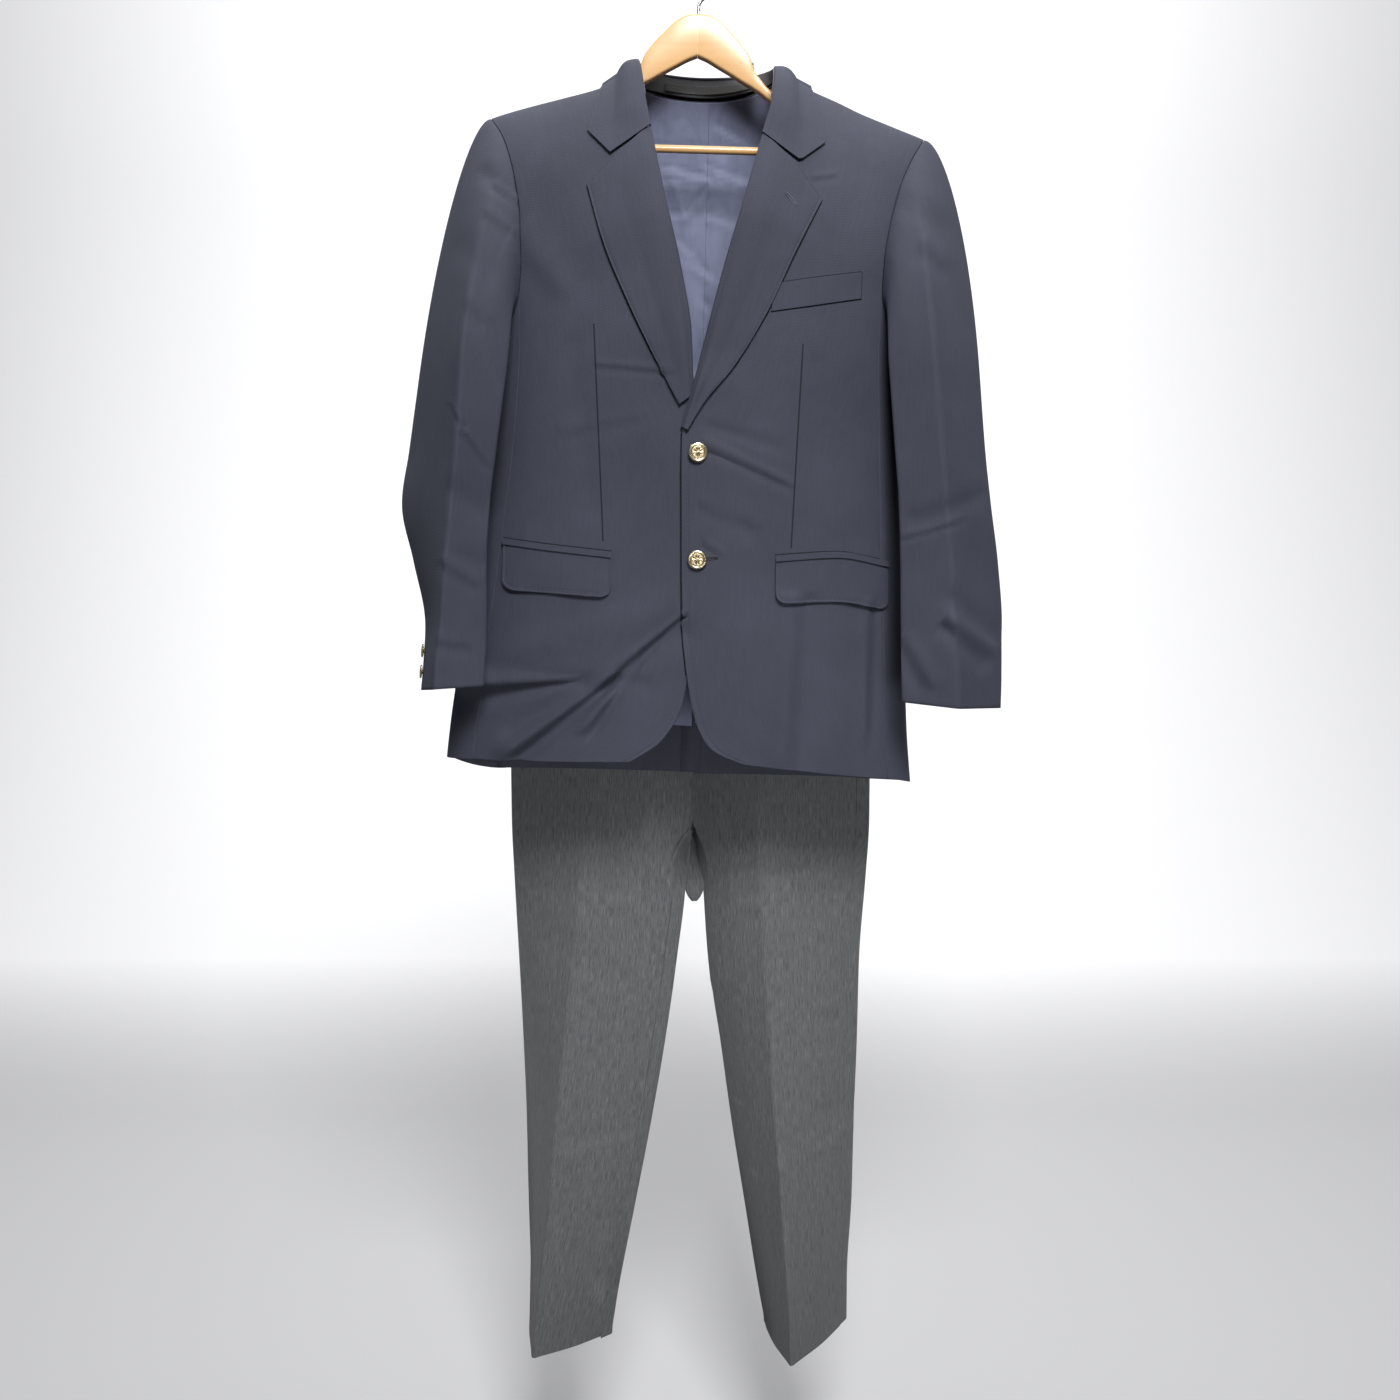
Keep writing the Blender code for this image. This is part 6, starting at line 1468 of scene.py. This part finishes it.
def leg_corners(side, drop):
    """Outer, front crease, inner and back crease of a trouser half at a drop."""
    table = LEG_LEFT if side < 0 else LEG_RIGHT
    drop = np.asarray(drop, float)
    out = {}
    for key in ("outer", "front", "inner", "back"):
        x, y = smooth(table, key + "_x", drop), smooth(table, key + "_y", drop)
        out[key] = np.stack([x, y, -drop], -1)
    joined = ease((drop - SEAT_START) / SEAT_REACH)[:, None]
    gap = side * SEAM / 2
    above = np.stack([np.full_like(drop, TROUSER_CENTRE + gap), out["inner"][:, 1], -drop], -1)
    behind = above.copy()
    low, full = SEAT_BACK
    behind[:, 1] = low + (full - low) * ease((drop - WAIST_TOP - WAISTBAND) / SEAT_RISE)
    fork = ease((drop - FORK_DROP) / FORK_TURN)[:, None]
    front = above * (1 - fork) + out["inner"] * fork
    out["inner_back"] = behind * (1 - joined) + out["inner"] * joined
    out["inner"] = front
    return out


def leg_ring(side, face, t, drop):
    """Section of a trouser half; above the fork its inner end is the centre front or back."""
    corner = leg_corners(side, drop)
    outer, front, back = corner["outer"], corner["front"], corner["back"]
    start, reach = (FORK_DROP, FORK_REACH) if face < 0 else (SEAT_START, SEAT_REACH)
    under = ease((drop - start) / reach)[None, :, None]
    if face < 0:
        inner = corner["inner"]
        loop, line = (outer, front, inner, back), (outer, front, inner, 2 * inner - front, back)
    else:
        inner = corner["inner_back"]
        t = t - 2
        loop, line = (inner, back, outer, front), (inner, back, outer, front, 2 * inner - back)
    ring = rounded(np.stack(loop), t, LEG_SOFTNESS) * under
    ring = ring + rounded(np.stack(line), t, LEG_SOFTNESS) * (1 - under)
    return np.swapaxes(ring, 0, 1)


def fork_strip(side, t, drop):
    """Rows of the back's leading part: straight from the front's inner edge to the fold."""
    edge = 2 - LEG_SEAM * ease((drop - FORK_DROP) / FORK_REACH)
    start = np.stack([leg_ring(side, -1, edge[i:i + 1], drop[i:i + 1])[0, 0] for i in range(len(drop))])
    fold = leg_ring(side, 1, np.array([2.0]), drop)[:, 0]
    share = (t - edge[:, None]) / np.maximum(2 - edge[:, None], 1e-6)
    return start[:, None] + (fold - start)[:, None] * share[..., None]


WORN_SPOTS = ((-0.121, 1.492, 0.010, 0.022), (0.045, 1.268, 0.009, 0.007), (0.064, 1.350, 0.008, 0.010))


def melange(name, light, dark):
    """Melange twill: streaks of light and dark fibre along the warp, 0.6 mm wide and 15 mm long."""
    material, tree, shader = finish(name, light, 0.82, Sheen_Weight=0.15, Sheen_Roughness=0.5)
    shader.inputs["Specular IOR Level"].default_value = 0.25
    weave = add(tree, "UVMap", uv_map="cloth").outputs["UV"]
    place = add(tree, "TexCoord").outputs["Object"]
    warp = add(tree, "Mapping", {"Vector": weave, "Scale": (1500, 65, 1)}).outputs["Vector"]
    fibre = {"Vector": warp, "Scale": 1.0, "Detail": 3.0, "Roughness": 0.7}
    streak = add(tree, "TexNoise", fibre).outputs["Fac"]
    broad = add(tree, "Mapping", {"Vector": weave, "Scale": (400, 12, 1)}).outputs["Vector"]
    band = add(tree, "TexNoise", {"Vector": broad, "Scale": 1.0, "Detail": 2.0}).outputs["Fac"]
    speck = add(tree, "TexNoise", {"Vector": weave, "Scale": 900.0, "Detail": 2.0}).outputs["Fac"]
    tone = add(tree, "Math", {0: streak, 1: 0.6}, operation="MULTIPLY").outputs[0]
    tone = add(tree, "Math", {0: band, 1: 0.12, 2: tone}, operation="MULTIPLY_ADD").outputs[0]
    tone = add(tree, "Math", {0: speck, 1: 0.15, 2: tone}, operation="MULTIPLY_ADD").outputs[0]
    tone = add(tree, "MapRange", {"Value": tone, "From Min": 0.36, "From Max": 0.64}).outputs[0]
    colour = mixed(tree, tone, linear(dark), linear(light))
    for x, drop, wide, tall in WORN_SPOTS:
        spot = add(tree, "Mapping", {"Vector": place, "Location": (-x / wide, 0, drop / tall),
                                     "Scale": (1 / wide, 0, 1 / tall)}).outputs["Vector"]
        gap = add(tree, "VectorMath", {0: spot}, operation="LENGTH").outputs["Value"]
        share = add(tree, "MapRange", {"Value": gap, "From Min": 0.2, "From Max": 1.0,
                                       "To Min": 0.30, "To Max": 0.0}).outputs[0]
        share = add(tree, "Math", {0: share, 1: tone}, operation="MULTIPLY").outputs[0]
        colour = mixed(tree, share, colour, linear("#B9BAB8"))
    bump = add(tree, "Bump", {"Height": streak, "Strength": 0.25, "Distance": 0.0005})
    tree.links.new(colour, shader.inputs["Base Color"])
    tree.links.new(bump.outputs["Normal"], shader.inputs["Normal"])
    return material


GREY = melange("Grey melange worsted twill", "#737577", "#414345")


def leg_piece(side, face):
    """Trouser front or back: the leg's section between its seams, from waistband to hem."""
    name = "left" if side < 0 else "right"
    foot = LEG_HEM[name][0 if face < 0 else 1]
    start = WAIST_TOP + WAISTBAND + SEAM
    drop = start + (foot - start) * graded(*MESH["leg_down"])
    under = ease((drop - FORK_DROP) / FORK_REACH)
    inner_seam = 2 - LEG_SEAM * under[:, None]
    if face < 0:
        first, last = LEG_SEAM + SEAM_NICK, inner_seam - SEAM_NICK
    else:
        first, last = inner_seam + SEAM_NICK, 4 + LEG_SEAM - SEAM_NICK
    share = graded(*MESH["leg_across"])[None, :]
    t = first * (1 - share) + last * share

    def grid(which, at):
        return leg_surface(which, face, at, drop)

    points, normal = shaped(grid, side, t, (LEG_FOLDS, LEG_CREASES))
    points = points + normal * (LEG_FULLNESS * np.sin(math.pi * t) ** 2)[..., None]
    points[0, :, 2] = -start
    node = ("trouser_front_" if face < 0 else "trouser_back_") + name
    piece = shell("cloth_" + node, points, normal, TROUSER_WALL, GREY)
    cut_piece(piece, node, points)
    edge = -1 if face < 0 else 0
    if side < 0:
        joined = drop < FORK_DROP + 0.004 if face < 0 else drop < SEAT_START + 0.03
        away = points[:, edge] - points[:, -4 if face < 0 else 3]
        allowance("allowance_" + node, points[joined, edge], normal[joined, edge], away[joined],
                  TROUSER_WALL, GREY)


def leg_surface(side, face, t, drop):
    """Leg sections row by row; below the fork a back starts at the front's inner edge."""
    made = np.stack([leg_ring(side, face, t[i], drop[i:i + 1])[0] for i in range(len(t))])
    if face > 0:
        under = ease((drop - FORK_DROP) / FORK_REACH)
        leading = (t < 2) & (under[:, None] > 0.02)
        made = np.where(leading[..., None], fork_strip(side, t, drop), made)
    return made


def seat_seam():
    """Allowance of the seat seam: a strip from one back's fold to the other's, below the seat."""
    drop = np.linspace(SEAT_START - SEAT_REACH, SEAT_START + SEAT_LAP_LENGTH, 30)
    middle = sum(leg_ring(side, 1, np.array([2.0]), drop)[:, 0] for side in (-1, 1)) / 2
    back, across = np.tile((0.0, 1.0, 0.0), (30, 1)), np.tile((1.0, 0.0, 0.0), (30, 1))
    near_foot = np.clip(1 - (drop[-1] - drop) / SEAT_ROUND, 0, 0.97)
    reach = SEAT_LAP * np.sqrt(1 - near_foot ** 2)[:, None]
    allowance("allowance_seat", middle, back, across, TROUSER_WALL, GREY, reach)


for side in (-1, 1):
    for face in (-1, 1):
        leg_piece(side, face)
seat_seam()


# The waistband: a doubled band of the same cloth, its ends meeting at the fly.
WAISTBAND_CLOTH = 0.0026
FLY_GAP = 0.0012


def waist_path(run_steps=50, end_steps=16):
    """Plan of the waist, flat while it hangs: straight runs and round ends, fly to fly."""
    left, right = LEG_LEFT["outer_x"][0], LEG_RIGHT["outer_x"][0]
    front, back = LEG_LEFT["front_y"][0], LEG_LEFT["back_y"][0]
    middle, radius = (front + back) / 2, (back - front) / 2
    turn = np.linspace(-math.pi / 2, math.pi / 2, end_steps)
    bend = radius * np.cos(turn), radius * np.sin(turn)
    fly_left, fly_right = TROUSER_CENTRE - FLY_GAP / 2, TROUSER_CENTRE + FLY_GAP / 2
    outward = np.linspace(fly_right, right - radius, run_steps)[:-1]
    across = np.linspace(right - radius, left + radius, 2 * run_steps)[1:-1]
    inward = np.linspace(left + radius, fly_left, run_steps)[1:]
    x = np.concatenate([outward, right - radius + bend[0], across, left + radius - bend[0], inward])
    y = np.concatenate([np.full_like(outward, front), middle + bend[1], np.full_like(across, back),
                        middle - bend[1], np.full_like(inward, front)])
    return x, y


def waistband_piece():
    """Flat loop of the waist carried down by the band's height."""
    x, y = waist_path()
    drop = WAIST_TOP + WAISTBAND * graded(WAISTBAND, 0.003)
    points = np.stack([np.broadcast_to(x, (len(drop), len(x))), np.broadcast_to(y, (len(drop), len(x))),
                       np.broadcast_to(-drop[:, None], (len(drop), len(x)))], -1)
    normal = surface_normal(points, False)
    piece = shell("cloth_waistband", points, normal, WAISTBAND_CLOTH, GREY)
    cut_piece(piece, "waistband", points)


waistband_piece()


# The hanger: two sawn and shaped maple arms glued at the middle, lacquered, with a dowel bar.
HANGER_ROLL = math.radians(1.6)
HANGER_REACH = 0.200
HANGER_FORWARD = 0.006
HANGER_WOOD = 0.013
HANGER_BEVEL = 0.0030
BAR_RADIUS = 0.0041
BAR_DROP = 0.190

HANGER_ARM = columns(("x", "top", "under"), [
    (0.000, 0.0550, 0.0970), (0.010, 0.0560, 0.1010), (0.022, 0.0615, 0.1075),
    (0.036, 0.0745, 0.1150), (0.050, 0.0895, 0.1230), (0.056, 0.0990, 0.1260),
    (0.060, 0.1105, 0.1285), (0.066, 0.1175, 0.1320), (0.074, 0.1265, 0.1380),
    (0.090, 0.1365, 0.1480), (0.110, 0.1465, 0.1600), (0.140, 0.1575, 0.1745),
    (0.165, 0.1670, 0.1880), (0.185, 0.1740, 0.1980), (0.196, 0.1820, 0.1970),
    (0.200, 0.1880, 0.1940)])


def rolled(points):
    """Hanger points turned about the hook by the way it hangs."""
    points = np.asarray(points, float)
    cos, sin = math.cos(HANGER_ROLL), math.sin(HANGER_ROLL)
    x = points[..., 0] * cos + points[..., 2] * sin
    z = points[..., 2] * cos - points[..., 0] * sin
    return np.stack([x, points[..., 1], z], -1)


def maple(name):
    """Lacquered maple: pale, with fine brown pores and slow waves of grain along the arm."""
    material, tree, shader = finish(name, "#DDAE74", 0.34, Coat_Weight=0.35, Coat_Roughness=0.18)
    place = add(tree, "TexCoord").outputs["Object"]
    long = add(tree, "Mapping", {"Vector": place, "Scale": (6, 60, 60)}).outputs["Vector"]
    grain = {"Vector": long, "Scale": 1.0, "Detail": 4.0, "Distortion": 1.2}
    wave = add(tree, "TexNoise", grain).outputs["Fac"]
    pore = add(tree, "Mapping", {"Vector": place, "Scale": (120, 1400, 1400)}).outputs["Vector"]
    pores = add(tree, "TexNoise", {"Vector": pore, "Scale": 1.0, "Detail": 2.0}).outputs["Fac"]
    dots = add(tree, "MapRange", {"Value": pores, "From Min": 0.62, "From Max": 0.72}).outputs[0]
    colour = mixed(tree, wave, linear("#C8985F"), linear("#D9AF7A"))
    dots = add(tree, "Math", {0: dots, 1: 0.35}, operation="MULTIPLY").outputs[0]
    colour = mixed(tree, dots, colour, linear("#B98450"))
    bump = add(tree, "Bump", {"Height": pores, "Strength": 0.08, "Distance": 0.0003})
    tree.links.new(colour, shader.inputs["Base Color"])
    tree.links.new(bump.outputs["Normal"], shader.inputs["Normal"])
    return material


MAPLE = maple("Maple, lacquered")


def capped_rings(name, rings, material, keep_sharp=30):
    """Solid through closed rings: a skin of quads and a flat cap at each end."""
    rows, cols = rings.shape[:2]
    body = grid_faces(rows, cols, True)
    mesh = bpy.data.meshes.new(name)
    caps = [tuple(range(cols))[::-1], tuple(range((rows - 1) * cols, rows * cols))]
    middle = rings.reshape(-1, 3)[body[len(body) // 2]]
    facing = np.cross(middle[2] - middle[0], middle[3] - middle[1])
    away = middle.mean(0) - rings[rows // 2].mean(0)
    if np.dot(facing, away) < 0:
        body = body[:, ::-1]
        caps = [cap[::-1] for cap in caps]
    mesh.from_pydata(rings.reshape(-1, 3).tolist(), [], body.tolist() + caps)
    mesh.materials.append(material)
    mesh.shade_smooth()
    mesh.set_sharp_from_angle(angle=math.radians(keep_sharp))
    thing = bpy.data.objects.new(name, mesh)
    GARMENT.objects.link(thing)
    return thing


def stands_for(piece, node):
    """The piece rides on the part's one body in place of a CAD node."""
    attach(piece, "root")
    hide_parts(node)


def hanger_arm(side, rows=90, corner=5):
    """Rounded rectangle of the arm's height and thickness, carried from the joint to the tip."""
    x = HANGER_REACH * np.linspace(0, 1, rows)
    top, under = smooth(HANGER_ARM, "top", x), smooth(HANGER_ARM, "under", x)
    middle, tall = (top + under) / 2, (under - top) / 2
    thick = HANGER_WOOD / 2
    forward = -HANGER_FORWARD * (x / HANGER_REACH) ** 2
    turn = np.linspace(0, math.pi / 2, corner)
    bend = np.minimum(HANGER_BEVEL, 0.9 * tall)
    ring = []
    for quarter in range(4):
        angle = turn + quarter * math.pi / 2
        a, b = ((1, 1), (-1, 1), (-1, -1), (1, -1))[quarter]
        for way in angle:
            y = forward + a * (thick - HANGER_BEVEL) + HANGER_BEVEL * math.cos(way)
            z = -middle + b * (tall - bend) + bend * math.sin(way)
            ring.append(np.stack([side * np.maximum(x, 0.00012), y, z], -1))
    node = "hanger_arm_" + ("left" if side < 0 else "right")
    stands_for(capped_rings("wooden_" + node, rolled(np.stack(ring, 1)), MAPLE), node)


def swept(path, radius, sides=20):
    """Rings of a round section carried along a path, turned with it."""
    path = np.asarray(path, float)
    along = np.gradient(path, axis=0)
    along /= np.linalg.norm(along, axis=-1, keepdims=True)
    side = np.cross(along, (0, 1, 0))
    weak = np.linalg.norm(side, axis=-1, keepdims=True) < 0.1
    side = np.where(weak, np.cross(along, (1, 0, 0)), side)
    side /= np.linalg.norm(side, axis=-1, keepdims=True)
    up = np.cross(side, along)
    turn = np.linspace(0, 2 * math.pi, sides, endpoint=False)[:, None]
    return path[:, None] + radius * (side[:, None] * np.cos(turn) + up[:, None] * np.sin(turn))


def wooden_hanger():
    """Arms and the bar between them, all rolled by the way the hanger hangs."""
    hanger_arm(-1)
    hanger_arm(1)
    falling = slice(0, np.argmax(HANGER_ARM["under"]) + 1)
    bar_top = BAR_DROP - BAR_RADIUS
    half = np.interp(bar_top, HANGER_ARM["under"][falling], HANGER_ARM["x"][falling])
    bar_y = -HANGER_FORWARD * (half / HANGER_REACH) ** 2
    path = np.stack([np.linspace(-half, half, 40), np.full(40, bar_y), np.full(40, -BAR_DROP)], -1)
    stands_for(capped_rings("dowel_bar", rolled(swept(path, BAR_RADIUS, 28)), MAPLE), "hanger_bar")


wooden_hanger()


# The wire: the hook, and behind the jacket a plain clip rod that carries the trousers. Drawn
# steel, nickel plated, bright and smooth.
HOOK_WIRE = 0.0018
HOOK_BEND = 0.0190
HOOK_SWEEP = (-40, 200)
HOOK_SHANK = ((0, 0.0545), (0, 0.0465), (0.0022, 0.0415), (0.0085, 0.0365))
CLIP_ROD = 0.0025
CLIP_ROD_Y = 0.108
CLIP_ROD_PAST = 0.020
CLIP_X = (-0.125, 0.105)
CLIP_SIZE = (0.030, 0.0180, 0.034)
CLIP_PLATE = 0.0016
DROP_WIRE = 0.0013
DROP_WIRE_X = (-0.044, 0.056)
DROP_WIRE_START = 0.1060
DROP_WIRE_PATH = ((0.012, 0.1055), (0.020, 0.0990), (0.034, 0.0935), (0.050, 0.0930),
                  (0.062, 0.0985), (0.070, 0.1120), (0.0735, 0.140), (0.078, 0.220), (0.090, 0.450))


def plated_steel():
    """Nickel plate on drawn wire: bright, with faint draw marks."""
    material, tree, shader = finish("Nickel plated steel wire, drawn", "#C9CACC", 0.2, 1.0)
    place = add(tree, "TexCoord").outputs["Object"]
    haze = add(tree, "TexNoise", {"Vector": place, "Scale": 260.0, "Detail": 3.0}).outputs["Fac"]
    rough = add(tree, "MapRange", {"Value": haze, "To Min": 0.14, "To Max": 0.32}).outputs[0]
    tree.links.new(rough, shader.inputs["Roughness"])
    tree.links.new(mixed(tree, haze, linear("#B8BABD"), linear("#D8D9DB")), shader.inputs["Base Color"])
    return material


NICKEL = plated_steel()


def softened(points, count):
    """Even points on a smooth curve through given ones: a cubic between them by arc length."""
    points = np.asarray(points, float)
    run = np.insert(np.cumsum(np.linalg.norm(np.diff(points, axis=0), axis=1)), 0, 0)
    at = np.linspace(0, run[-1], count)
    table = {"run": run, "x": points[:, 0], "y": points[:, 1], "z": points[:, 2]}
    return np.stack([smooth(table, key, at) for key in ("x", "y", "z")], -1)


def wire_pieces():
    """Hook, rod and drop wires as round wire along their paths."""
    radius = HOOK_BEND + HOOK_WIRE
    turn = np.radians(np.linspace(*HOOK_SWEEP, 80))
    crook = np.stack([radius * np.cos(turn), 0 * turn, radius * np.sin(turn) - HOOK_BEND], -1)
    shank = softened([(x, 0, -drop) for x, drop in HOOK_SHANK] + [tuple(crook[0])], 30)[:-1]
    hook = capped_rings("wire_hook", rolled(swept(np.concatenate([shank, crook]), HOOK_WIRE)), NICKEL)
    stands_for(hook, "hanger_hook")
    rod_drop = WAIST_TOP - 0.0008 - CLIP_PLATE - CLIP_ROD
    ends = np.linspace(CLIP_X[0] - CLIP_ROD_PAST, CLIP_X[1] + CLIP_ROD_PAST, 12)
    path = [(x, CLIP_ROD_Y, -rod_drop) for x in ends]
    stands_for(capped_rings("plated_rod", swept(path, CLIP_ROD), NICKEL), "clip_rod")
    for name, x in zip(("left", "right"), DROP_WIRE_X):
        wood_back = HANGER_WOOD / 2 - HANGER_FORWARD * (x / HANGER_REACH) ** 2
        route = [(wood_back + 0.0004, DROP_WIRE_START), *DROP_WIRE_PATH,
                 (CLIP_ROD_Y, rod_drop - CLIP_ROD - 0.0004)]
        path = softened([(x, y, -drop) for y, drop in route], 120)
        wire = capped_rings("plated_drop_wire_" + name, swept(path, DROP_WIRE, 12), NICKEL)
        stands_for(wire, "drop_wire_" + name)


def clip_piece(name, x):
    """Strip of sheet steel bent over the band: a U of constant thickness with rounded bends."""
    wide, deep, tall = CLIP_SIZE
    top = WAIST_TOP - 0.0004 - CLIP_PLATE
    turn = np.linspace(0, math.pi / 2, 8)
    bend = 0.004
    half = deep / 2
    outer = [(-half, top + tall)]
    outer += [(-half + bend * (1 - math.cos(t)), top + bend * (1 - math.sin(t))) for t in turn]
    outer += [(half - bend * (1 - math.sin(t)), top + bend * (1 - math.cos(t))) for t in turn]
    outer += [(half, top + tall)]
    outer = np.array(outer)
    step = np.gradient(outer, axis=0)
    step /= np.linalg.norm(step, axis=-1, keepdims=True)
    inner = outer + np.stack([-step[:, 1], step[:, 0]], -1) * CLIP_PLATE
    loop = np.concatenate([outer, inner[::-1]])
    across = np.array([-1, -0.985, -0.95, 0.95, 0.985, 1]) * wide / 2
    shrink = np.array([0.75, 0.93, 1, 1, 0.93, 0.75])
    centre = (np.concatenate([outer, outer[::-1]]) + np.concatenate([inner, inner[::-1]])) / 2
    rings = []
    for dx, share in zip(across, shrink):
        face = centre + (loop - centre) * share
        rings.append(np.stack([np.full(len(loop), x + dx), CLIP_ROD_Y + face[:, 0], -face[:, 1]], -1))
    piece = capped_rings("plated_" + name, np.stack(rings), NICKEL)
    stands_for(piece, name)


wire_pieces()
for name, x in zip(("left", "right"), CLIP_X):
    clip_piece("trouser_clip_" + name, x)
